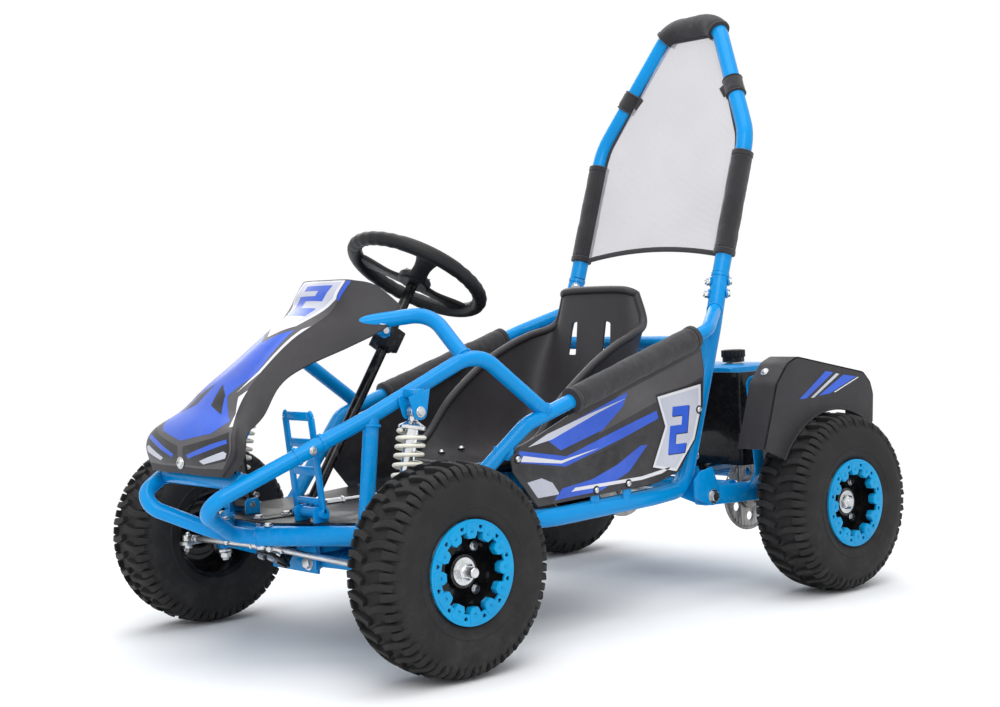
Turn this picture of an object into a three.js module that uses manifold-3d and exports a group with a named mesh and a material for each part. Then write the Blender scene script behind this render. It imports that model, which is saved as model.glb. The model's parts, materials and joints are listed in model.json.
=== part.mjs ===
// Off road go kart with a tube frame: a lower rail and an upper side tube on
// each side, a roll hoop with a net, sprung front arms and a sprung rear frame
// that carries the engine. Millimetres, +Z up. The kart points along -Y.
// Left is the driver's left, +X.
import * as THREE from "three";
import { mergeVertices } from "three/addons/utils/BufferGeometryUtils.js";
import Module from "manifold-3d";

const wasm = await Module();
wasm.setup();

// Overall sizes
const wheelbase = 905;
const frameHalfWidth = 266;
const frontWheelReach = 92;
const rearWheelReach = 107;
const frontTrack = 2 * (frameHalfWidth + frontWheelReach);
const rearTrack = 2 * (frameHalfWidth + rearWheelReach);
const hoopHeight = 1098;
const bodyHeight = 612;
const halfWheelbase = wheelbase / 2;

// Clearances
const weldGap = 0.35;
const slideGap = 0.4;
const boltGap = 0.5;
const overrun = 4;

// Tubes
const largeTubeRadius = 16;
const smallTubeRadius = 12.7;
const railBend = 50;
const uprightBend = 60;
const gentleBend = 150;
const noseBend = 34;
const kneeBend = 55;
const sleeveDepth = 38;
const largeTubeSides = 8;
const smallTubeSides = 7;
const bendStepAngle = 0.5;

// Fasteners
const boltRadius = 4;
const boltHeadLip = 3;
const boltHeadHeight = 5;
const nutHeight = 7;

// Wheels
const tyreDiameter = 330;
const tyreHalfWidth = 60;
const beadRadius = 79;
const rimHalfWidth = 53;
const rimBedRadius = 75;
const rimWall = 3;
const wheelHubRadius = 24;
const wheelHubReach = 34;
const rimDiscOffset = 12;
const rimDiscThickness = 5;
const frontAxleRadius = 8;
const rearAxleRadius = 12.5;
const axleNutRadius = 14;
const axleNutHeight = 11;
const wheelCentreHeight = tyreDiameter / 2;
const bodyRise = bodyHeight - wheelCentreHeight;

// Steering
const columnRake = 0.583;
const columnRadius = 9.5;
const columnLength = 543;
const steeringWheelDiameter = 266;
const steeringRimRadius = 14;
const steeringHubRadius = 30;
const steeringHubHeight = 22;
const pitmanLength = 34;
const pitmanHalfWidth = 22;
const pitmanThickness = 5;
const tieRodRadius = 5.5;
const tieRodEyeRadius = 10;

// Front suspension
const armPivotHalfSpan = 40;
const armPivotHeight = 150;
const armPivotLength = 70;
const armTubeRadius = 8.5;
const armBushRadius = 12;
const armPinRadius = 6;
const kingpinReach = 19;
const kingpinHalfSpan = frameHalfWidth + kingpinReach;
const kingpinHeight = 52;
const armFootMargin = 2.5;
const shockEyeLift = 20;
const kingpinTubeRadius = 11;
const kingpinRadius = 6;
const knucklePlateThickness = 6;
const steeringArmLength = 80;

// Shock absorbers
const shockBodyRadius = 11;
const shockRodRadius = 5;
const shockSeatRadius = 22.5;
const springSeatGap = 0.15;
const shockSeatThickness = 6;
const shockEyeRadius = 11;
const shockEyeWidth = 14;
const springWireRadius = 3;
const springRadius = 21.5;
const springCurls = 6;
const rearSpringCurls = 5;

// Rear frame
const swingPivotHeight = 188;
const swingPivotSpan = 240;
const beamWidth = 30;
const beamHeight = 34;
const sprocketRadius = 66;
const drumRadius = 21;
const chainThickness = 6;
const chainWidth = 7;
const chainOffset = 172;

// Sheet parts
const panThickness = 2.5;
const sidePanelThickness = 3;
const fairingThickness = 3.5;
const seatThickness = 4.5;
const guardThickness = 3;
const fenderThickness = 3.5;
const padRadius = 22.5;
const padSides = 14;

// Colours
const frameBlue = 0x1478c8;
const deepBlack = 0x151517;
const charcoal = 0x2c2d30;
const tyreBlack = 0x1d1d1f;
const ivory = 0xe9e3cd;
const steelGrey = 0xb9bcc0;
const meshGrey = 0x6f7073;

// Geometry helpers

// Shares and small reaches that several pieces use
const firstBendShare = 0.88;
const stubBoltExtra = 3;
const cheekRiseShare = 3.2;
const tabDropShare = 2.2;
const pitmanEdge = 3;
const pitmanShoulder = 6;
const pitmanTipReach = 8;
const cradleDropShare = 1.4;
const eyeRiseShare = 1.02;
const steeringArmWidthShare = 2.2;
const shockStemShare = 0.22;
const shockRodStartShare = 0.36;
const rearEarPlay = 1.4;
const postWidthShare = 0.7;
const calliperRiseShare = 0.42;
const calliperWidthShare = 5;
const beadInset = 4;
const tyreSectionShares = [[0.72, 1], [0.89, 0.9], [0.975, 0.6]];
const sprocketThickness = 4;
const hubWidth = 14;

const at = (x, y, z) => new THREE.Vector3(x, y, z);
const mirrored = (p) => at(-p.x, p.y, p.z);

// A place in the body, from shares of the frame's half width, half wheelbase
// and the body's height over the wheel centres
const spot = ([x, y, z]) =>
  at(x * frameHalfWidth, y * halfWheelbase, wheelCentreHeight + z * bodyRise);

function solidOf(geometry) {
  const plain = geometry.clone();
  plain.deleteAttribute("normal");
  plain.deleteAttribute("uv");
  const merged = mergeVertices(plain);
  const index = merged.index.array;
  const places = merged.attributes.position.array;
  const kept = [];
  let volume = 0;
  const a = new THREE.Vector3();
  const b = new THREE.Vector3();
  const c = new THREE.Vector3();
  for (let i = 0; i < index.length; i += 3) {
    const [p, q, r] = [index[i], index[i + 1], index[i + 2]];
    if (p === q || q === r || p === r) continue;
    a.fromArray(places, 3 * p);
    b.fromArray(places, 3 * q);
    c.fromArray(places, 3 * r);
    volume += a.dot(b.cross(c));
    kept.push(p, q, r);
  }
  const facesOut = volume > 0;
  const triVerts = new Uint32Array(kept.length);
  for (let i = 0; i < kept.length; i += 3) {
    triVerts[i] = kept[i];
    triVerts[i + 1] = facesOut ? kept[i + 1] : kept[i + 2];
    triVerts[i + 2] = facesOut ? kept[i + 2] : kept[i + 1];
  }
  const mesh = new wasm.Mesh({
    numProp: 3,
    vertProperties: new Float32Array(places),
    triVerts,
  });
  return new wasm.Manifold(mesh);
}

function geometryOf(solid) {
  const mesh = solid.getMesh();
  const geometry = new THREE.BufferGeometry();
  const places = new THREE.BufferAttribute(mesh.vertProperties, 3);
  geometry.setAttribute("position", places);
  geometry.setIndex(new THREE.BufferAttribute(mesh.triVerts, 1));
  geometry.computeVertexNormals();
  return geometry;
}

const asSolid = (form) =>
  form.isBufferGeometry ? solidOf(form) : form;

function join(first, ...others) {
  return others.reduce((sum, one) => sum.add(asSolid(one)), asSolid(first));
}

function cut(first, ...tools) {
  return tools.reduce((rest, one) => rest.subtract(asSolid(one)), asSolid(first));
}

// The same form on the other side of the kart
function otherSide(form) {
  const geometry = form.isBufferGeometry ? form.clone() : geometryOf(form);
  geometry.deleteAttribute("normal");
  return solidOf(geometry.applyMatrix4(new THREE.Matrix4().makeScale(-1, 1, 1)));
}

function rod(start, end, radius, sides = 8) {
  const run = end.clone().sub(start);
  const length = run.length();
  const geometry = new THREE.CylinderGeometry(radius, radius, length, sides);
  geometry.translate(0, length / 2, 0);
  const turn = new THREE.Quaternion();
  turn.setFromUnitVectors(at(0, 1, 0), run.normalize());
  geometry.applyQuaternion(turn);
  geometry.translate(start.x, start.y, start.z);
  return solidOf(geometry);
}

// A round hole's tool: its flats clear the radius, whatever turns inside
function drill(start, end, radius, sides = 6) {
  return rod(start, end, radius / Math.cos(Math.PI / sides), sides);
}

function block(centre, width, depth, height) {
  const geometry = new THREE.BoxGeometry(width, depth, height);
  geometry.translate(centre.x, centre.y, centre.z);
  return solidOf(geometry);
}

// A flat bar between two places: side is the way its width points
function bar(start, end, side, width, thickness) {
  const run = end.clone().sub(start);
  const length = run.length();
  const along = run.normalize();
  const normal = along.clone().cross(side).normalize();
  const across = normal.clone().cross(along);
  const geometry = new THREE.BoxGeometry(width, length, thickness);
  geometry.translate(0, length / 2, 0);
  const turn = new THREE.Matrix4().makeBasis(across, along, across.clone().cross(along));
  geometry.applyMatrix4(turn);
  geometry.translate(start.x, start.y, start.z);
  return solidOf(geometry);
}

// A flat sheet from an outline; right and up span its plane
function sheet(outline, origin, right, up, thickness) {
  const shape = new THREE.Shape(outline.map(([u, v]) => new THREE.Vector2(u, v)));
  const geometry = new THREE.ExtrudeGeometry(shape, {
    depth: thickness,
    bevelEnabled: false,
  });
  geometry.translate(0, 0, -thickness / 2);
  const normal = right.clone().cross(up);
  geometry.applyMatrix4(new THREE.Matrix4().makeBasis(right, up, normal));
  geometry.translate(origin.x, origin.y, origin.z);
  return solidOf(geometry);
}

const alongX = at(1, 0, 0);
const alongY = at(0, 1, 0);
const alongZ = at(0, 0, 1);

// A sheet standing along the kart, outline in (y, z), from inner x outwards
function sideSheet(outline, innerX, thickness) {
  const middle = at(innerX + thickness / 2, 0, 0);
  return sheet(outline, middle, alongY, alongZ, thickness);
}

// A turned form on the X axis from (radius, along) places
function turned(profile, segments) {
  const points = profile.map(([radius, along]) => new THREE.Vector2(radius, along));
  const onAxis = points[0].x === 0 && points[points.length - 1].x === 0;
  if (!onAxis) points.push(points[0].clone());
  const geometry = new THREE.LatheGeometry(points, segments);
  geometry.rotateZ(-Math.PI / 2);
  return solidOf(geometry);
}

// A bent tube's middle line: straight runs with arcs of the given radii
class BentPath extends THREE.Curve {
  constructor(corners, bends) {
    super();
    this.stops = [];
    const last = corners.length - 1;
    const way = (i) => corners[i + 1].clone().sub(corners[i]).normalize();
    this.stops.push({ point: corners[0], tangent: way(0) });
    for (let i = 1; i < last; i += 1) {
      const before = way(i - 1);
      const after = way(i);
      const turn = before.angleTo(after);
      const bend = bends[i - 1];
      const reach = bend * Math.tan(turn / 2);
      const begin = corners[i].clone().addScaledVector(before, -reach);
      const inward = after.clone().addScaledVector(before, -Math.cos(turn));
      inward.divideScalar(Math.sin(turn));
      const steps = Math.ceil(turn / bendStepAngle);
      for (let step = 0; step <= steps; step += 1) {
        const angle = (turn * step) / steps;
        const point = begin.clone();
        point.addScaledVector(before, bend * Math.sin(angle));
        point.addScaledVector(inward, bend * (1 - Math.cos(angle)));
        const tangent = before.clone().multiplyScalar(Math.cos(angle));
        tangent.addScaledVector(inward, Math.sin(angle));
        this.stops.push({ point, tangent });
      }
    }
    this.stops.push({ point: corners[last], tangent: way(last - 1) });
  }
  getUtoTmapping(u) {
    return u;
  }
  getPoint(t) {
    return this.stops[Math.round(t * (this.stops.length - 1))].point.clone();
  }
  getTangent(t) {
    return this.stops[Math.round(t * (this.stops.length - 1))].tangent.clone();
  }
}

function ringShape(radius, sides) {
  const points = [];
  for (let i = 0; i < sides; i += 1) {
    const angle = (2 * Math.PI * (i + 0.5)) / sides;
    points.push(new THREE.Vector2(radius * Math.cos(angle), radius * Math.sin(angle)));
  }
  return new THREE.Shape(points);
}

// A round bar or tube along a path, its radius measured at the flats' corners
function tube(path, radius, sides) {
  const geometry = new THREE.ExtrudeGeometry(ringShape(radius, sides), {
    steps: path.stops.length - 1,
    bevelEnabled: false,
    extrudePath: path,
  });
  return solidOf(geometry);
}

// A closed shell between a lofted surface and its copy pushed in by thickness
function shell(rows, thickness) {
  const tall = rows.length;
  const wide = rows[0].length;
  const step = (i, j) => rows[Math.min(Math.max(i, 0), tall - 1)][Math.min(Math.max(j, 0), wide - 1)];
  const outer = [];
  const inner = [];
  for (let i = 0; i < tall; i += 1) {
    for (let j = 0; j < wide; j += 1) {
      const across = step(i, j + 1).clone().sub(step(i, j - 1));
      const along = step(i + 1, j).clone().sub(step(i - 1, j));
      const normal = across.cross(along).normalize();
      outer.push(rows[i][j]);
      inner.push(rows[i][j].clone().addScaledVector(normal, thickness));
    }
  }
  const places = [...outer, ...inner].flatMap((p) => [p.x, p.y, p.z]);
  const index = [];
  const top = (i, j) => i * wide + j;
  const under = (i, j) => tall * wide + i * wide + j;
  const quad = (a, b, c, d) => index.push(a, b, c, a, c, d);
  for (let i = 0; i < tall - 1; i += 1) {
    for (let j = 0; j < wide - 1; j += 1) {
      quad(top(i, j), top(i, j + 1), top(i + 1, j + 1), top(i + 1, j));
      quad(under(i, j), under(i + 1, j), under(i + 1, j + 1), under(i, j + 1));
    }
    quad(top(i, 0), top(i + 1, 0), under(i + 1, 0), under(i, 0));
    const edge = wide - 1;
    quad(top(i, edge), under(i, edge), under(i + 1, edge), top(i + 1, edge));
  }
  for (let j = 0; j < wide - 1; j += 1) {
    quad(top(0, j), under(0, j), under(0, j + 1), top(0, j + 1));
    const end = tall - 1;
    quad(top(end, j), top(end, j + 1), under(end, j + 1), under(end, j));
  }
  const geometry = new THREE.BufferGeometry();
  geometry.setAttribute("position", new THREE.Float32BufferAttribute(places, 3));
  geometry.setIndex(index);
  return solidOf(geometry);
}

// A bolt with its head before the start and its nut past the end
const boltSides = 6;
function boltBetween(start, end, radius = boltRadius) {
  const run = end.clone().sub(start);
  const length = run.length();
  const profile = [
    [0, -boltHeadHeight],
    [radius + boltHeadLip, -boltHeadHeight],
    [radius + boltHeadLip, 0],
    [radius, 0],
    [radius, length],
    [radius + boltHeadLip, length],
    [radius + boltHeadLip, length + nutHeight],
    [0, length + nutHeight],
  ];
  const points = profile.map(([r, along]) => new THREE.Vector2(r, along));
  const geometry = new THREE.LatheGeometry(points, boltSides);
  geometry.applyQuaternion(
    new THREE.Quaternion().setFromUnitVectors(alongY, run.normalize()),
  );
  geometry.translate(start.x, start.y, start.z);
  return solidOf(geometry);
}

const materialOf = (colour, roughness, metalness) =>
  new THREE.MeshStandardMaterial({ color: colour, roughness, metalness });
const bluePaint = () => materialOf(frameBlue, 0.3, 0.3);
const blackPaint = () => materialOf(deepBlack, 0.35, 0.2);
const blackPlastic = () => materialOf(charcoal, 0.7, 0);
const blackRubber = () => materialOf(tyreBlack, 0.85, 0);
const ivoryPaint = () => materialOf(ivory, 0.4, 0);
const zincSteel = () => materialOf(steelGrey, 0.35, 0.9);
const greyMesh = () => materialOf(meshGrey, 0.9, 0);

const kart = new THREE.Group();

function add(name, form, material, parent = kart) {
  const geometry = form.isBufferGeometry ? form : geometryOf(form);
  const mesh = new THREE.Mesh(geometry, material);
  mesh.name = name;
  parent.add(mesh);
}

// A left piece and its mirror image on the right
function addPair(name, form, material) {
  add(name + "_left", form, material());
  add(name + "_right", otherSide(form), material());
}

// Frame tubes

// Lower rail: from the nose along the floor, up behind the seat to the stub
const lowerRailShares = [
  [0.18045, -1.31271, 0.09396],
  [0.75188, -1.0895, 0.09396],
  [0.80451, -0.66298, 0.08501],
  [0.98496, -0.33149, 0.07606],
  [0.92105, 0.24309, 0.08501],
  [0.86466, 0.45304, 0.09172],
  [0.76316, 0.73149, 0.72707],
  [0.7391, 0.81215, 0.96421],
];
const lowerRailPlaces = lowerRailShares.map(spot);
const lowerRailBends = [
  railBend,
  gentleBend,
  gentleBend,
  gentleBend,
  uprightBend,
  gentleBend,
];
const lowerRailPath = new BentPath(lowerRailPlaces, lowerRailBends);
const railEnd = lowerRailPlaces[0];
const railEndWay = lowerRailPlaces[1].clone().sub(railEnd).normalize();
const stubTop = lowerRailPlaces[7];
const stubWay = stubTop.clone().sub(lowerRailPlaces[6]).normalize();

// Side tube: out of the rail's nose end, round the front and back over the knee
const sideTubeShares = [
  [0.05263, -1.36133, 0.09396],
  [0.37594, -1.60884, 0.23043],
  [0.74436, -1.03867, 0.51007],
  [1, -0.66961, 0.72036],
  [0.98872, -0.34917, 0.47584],
];
const sideTubePlaces = [
  railEnd.clone().addScaledVector(railEndWay, sleeveDepth),
  ...sideTubeShares.map(spot),
];
const sideTubeBends = [noseBend * firstBendShare, noseBend, gentleBend, uprightBend];
const sideTubePath = new BentPath(sideTubePlaces, sideTubeBends);

// Armrest tube: foot on the rail, forward bend, straight rest, back to the stub
const armrestShares = [
  [0.78759, -0.8, 0.08792],
  [0.98872, -0.44199, 0.43624],
  [0.98872, 0.55691, 0.73445],
  [0.75338, 0.76464, 0.82327],
];
const armrestPlaces = armrestShares.map(spot);
const armrestPath = new BentPath(armrestPlaces, [kneeBend, uprightBend]);

// Nose tube: from the side tube's knee over the fairing's ridge to the front
const noseTubeShares = [
  [0.96992, -0.70276, 0.68904],
  [0.67669, -0.72044, 0.8613],
  [0.2406, -0.98564, 0.82327],
  [0.15789, -1.24199, 0.64877],
  [0.17293, -1.45193, 0.30649],
];
const noseTubePlaces = noseTubeShares.map(spot);
const noseTubePath = new BentPath(noseTubePlaces, [kneeBend, kneeBend, gentleBend]);

// Roll hoop: both legs lean back in one plane and meet in a straight top bar
const hoopLegTopShare = 0.5297;
const hoopTopHalfShare = 0.244;
const hoopRake = 0.334;
const hoopLegBend = 120;
const hoopPlugLength = 66;
const hoopPlugRadius = 12;
const hoopLevel = (share) => stubTop.z + (hoopHeight - stubTop.z) * share;
const hoopPlace = (x, z) => at(x, stubTop.y + hoopRake * (z - stubTop.z), z);
const hoopSeatGap = 1;
const hoopFoot = stubTop.clone().addScaledVector(stubWay, hoopSeatGap);
const hoopLegTop = hoopPlace(stubTop.x, hoopLevel(hoopLegTopShare));
const hoopTop = hoopPlace(frameHalfWidth * hoopTopHalfShare, hoopHeight);
const hoopPlaces = [
  hoopFoot,
  hoopLegTop,
  hoopTop,
  mirrored(hoopTop),
  mirrored(hoopLegTop),
  mirrored(hoopFoot),
];
const hoopBends = [hoopLegBend, uprightBend, uprightBend, hoopLegBend];
const hoopPath = new BentPath(hoopPlaces, hoopBends);

const fatRail = tube(lowerRailPath, largeTubeRadius + weldGap, largeTubeSides);
const fatArmrest = tube(armrestPath, smallTubeRadius + weldGap, smallTubeSides);
const fatSideTube = tube(sideTubePath, smallTubeRadius + weldGap, smallTubeSides);
const fatNoseTube = tube(noseTubePath, smallTubeRadius + weldGap, smallTubeSides);

// Two bolts clamp the hoop's plug in each stub
const stubBoltDepthShares = [0.25, 0.62];
const stubBoltReach = largeTubeRadius + stubBoltExtra;
const stubBoltWay = at(1, 1, 0).normalize();
function stubBolts() {
  return stubBoltDepthShares.map((share) => {
    const middle = stubTop.clone().addScaledVector(stubWay, -hoopPlugLength * share);
    const start = middle.clone().addScaledVector(stubBoltWay, stubBoltReach);
    const end = middle.clone().addScaledVector(stubBoltWay, -stubBoltReach);
    return { start, end };
  });
}

// Rear pivot bracket: two cheeks behind the rail's rear bend, open below
const swingPivotPlace = spot([0.90226, 0.56133, 0.05145]);
const swingPivot = at(swingPivotPlace.x, swingPivotPlace.y, swingPivotHeight);
const pivotSideGap = 0.5;
const pivotCheekGap = beamWidth + 2 * pivotSideGap;
const pivotCheekThickness = 4;
const pivotCheekRadius = 17;
const pivotBoltRadius = 6;
function pivotCheek(x) {
  const railBack = spot([0.86466, 0.45304, 0.09172]);
  const outline = [
    [railBack.y, railBack.z - largeTubeRadius],
    [swingPivot.y, swingPivot.z - pivotCheekRadius],
    [swingPivot.y + pivotCheekRadius, swingPivot.z],
    [swingPivot.y + pivotCheekRadius, swingPivot.z + pivotCheekRadius],
    [swingPivot.y, swingPivot.z + cheekRiseShare * pivotCheekRadius],
    [railBack.y, railBack.z + largeTubeRadius],
  ];
  return sideSheet(outline, x - pivotCheekThickness / 2, pivotCheekThickness);
}

// Tabs that the side panel rests on
const panelPlaneShare = 0.998;
const panelInner = frameHalfWidth * panelPlaneShare;
const panelTabThickness = 3;
const panelTabWidth = 20;
const panelTabShares = {
  lower: [[0.98496, -0.11271, 0.14989], [0.98496, 0.05967, 0.1566]],
  front: [0.98496, -0.53039, 0.32886],
  rear: [0.98496, 0.47956, 0.4094],
};
const panelTabX = panelInner - weldGap - panelTabThickness / 2;
function lowerTab(share) {
  const place = spot(share);
  const bottom = place.z - tabDropShare * panelTabWidth;
  const top = place.z + panelTabWidth / 2;
  const centre = at(panelTabX, place.y, (top + bottom) / 2);
  return block(centre, panelTabThickness, panelTabWidth, top - bottom);
}

function buildLowerRail() {
  const rail = tube(lowerRailPath, largeTubeRadius, largeTubeSides);
  const socketStart = railEnd.clone().addScaledVector(railEndWay, -overrun);
  const socketEnd = railEnd.clone().addScaledVector(railEndWay, sleeveDepth + overrun);
  const socket = drill(socketStart, socketEnd, smallTubeRadius + slideGap);
  const plugStart = stubTop.clone().addScaledVector(stubWay, overrun);
  const plugEnd = stubTop.clone().addScaledVector(stubWay, -hoopPlugLength - overrun);
  const bore = drill(plugStart, plugEnd, hoopPlugRadius + slideGap);
  const boltHoles = stubBolts().map(({ start, end }) =>
    drill(start, end, boltRadius + boltGap),
  );
  const cheeks = [-1, 1].map((side) =>
    pivotCheek(swingPivot.x + (side * (pivotCheekGap + pivotCheekThickness)) / 2),
  );
  const bolt = boltBetween(
    at(swingPivot.x + pivotCheekGap / 2 + pivotCheekThickness - weldGap, swingPivot.y, swingPivot.z),
    at(swingPivot.x - pivotCheekGap / 2 - pivotCheekThickness + weldGap, swingPivot.y, swingPivot.z),
    pivotBoltRadius,
  );
  const rearPlace = spot(panelTabShares.rear);
  const upright = spot([0.81391, 0.59227, 0.4094]);
  const rearTabEnd = at(panelTabX, rearPlace.y - panelTabWidth / 2, rearPlace.z);
  const rearTab = bar(upright, rearTabEnd, alongZ, panelTabWidth, panelTabThickness);
  const tabs = panelTabShares.lower.map(lowerTab);
  const panelSide = block(
    at(panelInner - weldGap + 2 * panelTabWidth, 0, rearPlace.z),
    4 * panelTabWidth,
    wheelbase,
    panelTabWidth * 2,
  );
  const tabbed = cut(join(rearTab, ...tabs), panelSide);
  const drilled = cut(rail, socket, bore, ...boltHoles);
  return join(drilled, ...cheeks, bolt, tabbed);
}

// Post between the lower rail and the side tube, and the shock's top bracket
const postShares = [[0.73684, -1.07624, 0.09396], [0.74812, -1.03425, 0.5123]];
const shockTop = spot([0.92481, -0.92597, 0.52125]);
const shockFootShares = [0.92481, -1.03646, -0.36913];
const legEndHeight = wheelCentreHeight - kingpinHeight / 2 + armTubeRadius + armFootMargin;
const shockFoot = spot(shockFootShares);
const legRunShare = (shockFoot.x - armPivotHalfSpan) / (kingpinHalfSpan - armPivotHalfSpan);
const legHeightAtShock = armPivotHeight + (legEndHeight - armPivotHeight) * legRunShare;
const shockBottom = at(shockFoot.x, shockFoot.y, legHeightAtShock + shockEyeLift);
const shockSideGap = 5.5;
const shockEarThickness = 3.5;
const shockEarLength = 42;
const shockEarRadius = 12;
const shockEarHalfGap = shockEyeWidth / 2 + shockSideGap;

function buildSideTube() {
  const loop = tube(sideTubePath, smallTubeRadius, smallTubeSides);
  const [postFoot, postTop] = postShares.map(spot);
  const post = cut(rod(postFoot, postTop, smallTubeRadius, smallTubeSides), fatRail);
  const above = shockTop.z + 3 * shockEarRadius;
  const cheekOutline = [
    [shockTop.y - shockEarLength / 2, above - shockEarRadius],
    [shockTop.y - shockEarRadius, shockTop.z - shockEarRadius / 2],
    [shockTop.y, shockTop.z - shockEarRadius],
    [shockTop.y + shockEarRadius, shockTop.z - shockEarRadius / 2],
    [shockTop.y + shockEarLength / 2, above],
  ];
  const cheeks = [-1, 1].map((side) => {
    const middle = shockTop.x + side * (shockEarHalfGap + shockEarThickness / 2);
    return sideSheet(cheekOutline, middle - shockEarThickness / 2, shockEarThickness);
  });
  const bridge = block(
    at(shockTop.x, shockTop.y, above - shockEarRadius / 2),
    2 * (shockEarHalfGap + shockEarThickness) - weldGap,
    shockEarLength / 2,
    shockEarRadius,
  );
  const reach = shockEarHalfGap + shockEarThickness - weldGap;
  const bolt = boltBetween(
    at(shockTop.x + reach, shockTop.y, shockTop.z),
    at(shockTop.x - reach, shockTop.y, shockTop.z),
  );
  return cut(join(loop, post, ...cheeks, bridge, bolt), fatArmrest);
}

// The nose frame joins both sides in front of the steering wheel
const bumperCrossShare = [0.4718, -1.45193, 0.30872];
const dashCrossShare = [0.41353, -0.87956, 0.84116];
const columnLugX = 27;
const columnLugThickness = 4;
const columnLugWidth = 22;
const clampBoltShare = [0.1015, -0.67403, 0.79866];

function buildNoseFrame() {
  const left = tube(noseTubePath, smallTubeRadius, smallTubeSides);
  const bumperEnd = spot(bumperCrossShare);
  const bumper = rod(bumperEnd, mirrored(bumperEnd), smallTubeRadius, smallTubeSides);
  const dashEnd = spot(dashCrossShare);
  const dash = rod(dashEnd, mirrored(dashEnd), smallTubeRadius, smallTubeSides);
  const clampBolt = spot(clampBoltShare);
  const lugs = [-1, 1].map((side) => {
    const start = at(side * columnLugX, dashEnd.y, dashEnd.z);
    const past = at(side * columnLugX, clampBolt.y + columnLugWidth / 2, clampBolt.z);
    return bar(start, past, alongZ, columnLugWidth, columnLugThickness);
  });
  const hole = drill(
    at(-2 * columnLugX, clampBolt.y, clampBolt.z),
    at(2 * columnLugX, clampBolt.y, clampBolt.z),
    boltRadius + boltGap,
  );
  const frame = join(left, otherSide(left), bumper, dash, ...lugs);
  return cut(frame, hole, fatSideTube, otherSide(fatSideTube));
}

function buildArmrestTube() {
  const rest = tube(armrestPath, smallTubeRadius, smallTubeSides);
  const place = spot(panelTabShares.front);
  const root = spot([0.91353, -0.57017, 0.34228]);
  const tabEnd = at(panelTabX, place.y + panelTabWidth, place.z);
  const tab = bar(root, tabEnd, alongZ, panelTabWidth, panelTabThickness);
  const panelSide = block(
    at(panelInner - weldGap + 2 * panelTabWidth, place.y, place.z),
    4 * panelTabWidth,
    4 * panelTabWidth,
    2 * panelTabWidth,
  );
  const tabbed = cut(tab, panelSide);
  return cut(join(rest, tabbed), fatRail);
}

const seatCrossShare = [0.77068, 0.70939, 0.67562];

function crossTube(share, radius) {
  const end = spot(share);
  const plain = rod(end, mirrored(end), radius, smallTubeSides);
  return cut(plain, fatRail, otherSide(fatRail));
}

function buildRollHoop() {
  const hoop = tube(hoopPath, largeTubeRadius, largeTubeSides);
  const plugTop = stubTop.clone().addScaledVector(stubWay, hoopPlugLength / 3);
  const plugEnd = stubTop.clone().addScaledVector(stubWay, -hoopPlugLength);
  const plug = rod(plugTop, plugEnd, hoopPlugRadius, smallTubeSides);
  const bolts = stubBolts().map(({ start, end }) => boltBetween(start, end));
  const foot = join(plug, ...bolts);
  return join(hoop, foot, otherSide(foot));
}

addPair("lower_rail", buildLowerRail(), bluePaint);
addPair("side_tube", buildSideTube(), bluePaint);
add("nose_frame", buildNoseFrame(), bluePaint());
addPair("armrest_tube", buildArmrestTube(), bluePaint);
add("roll_hoop", buildRollHoop(), bluePaint());


// Soft pads and net

const padShares = [[0.98872, -0.21657, 0.50358], [0.98872, 0.47293, 0.7094]];
const padBore = smallTubeRadius + slideGap;

function buildArmrestPad() {
  const [front, rear] = padShares.map(spot);
  const sleeve = rod(front, rear, padRadius, padSides);
  const fat = tube(armrestPath, padBore, smallTubeSides);
  return cut(sleeve, fat);
}

// Net: a mesh panel between the hoop's legs, hung by sleeves, straps and a pad
const netSleeveShares = [0.0682, 0.4619];
const netSleeveWall = 3.5;
const netStrapHeightShare = 0.7222;
const netStrapWidth = 34;
const netPadHalfShare = 0.33;
const netPadWall = 7;
const netThickness = 2.2;
const netColumns = 5;
const netLowRows = 3;
const netHighRows = 2;
const netBarShare = 0.24;
const netSleeveGap = 0.5;
const netBinding = 10;
const netEdgeGap = 1.1;
const netShoulderShare = 0.8753;
const netTopHalfShare = 0.128;
const netLegLean = 1.147;
const netKneeInset = 4.4;
const legX = (z) => {
  const low = hoopFoot;
  const mid = hoopLegTop;
  if (z <= mid.z) return low.x + ((mid.x - low.x) * (z - low.z)) / (mid.z - low.z);
  return mid.x + ((hoopTop.x - mid.x) * (z - mid.z)) / (hoopTop.z - mid.z);
};
const hoopUp = at(0, hoopRake, 1).normalize();

// A fat wrap along part of the hoop, bored out once the net is whole
function hoopWrap(path, wall) {
  return tube(path, largeTubeRadius + netSleeveGap + wall, largeTubeSides);
}

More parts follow.
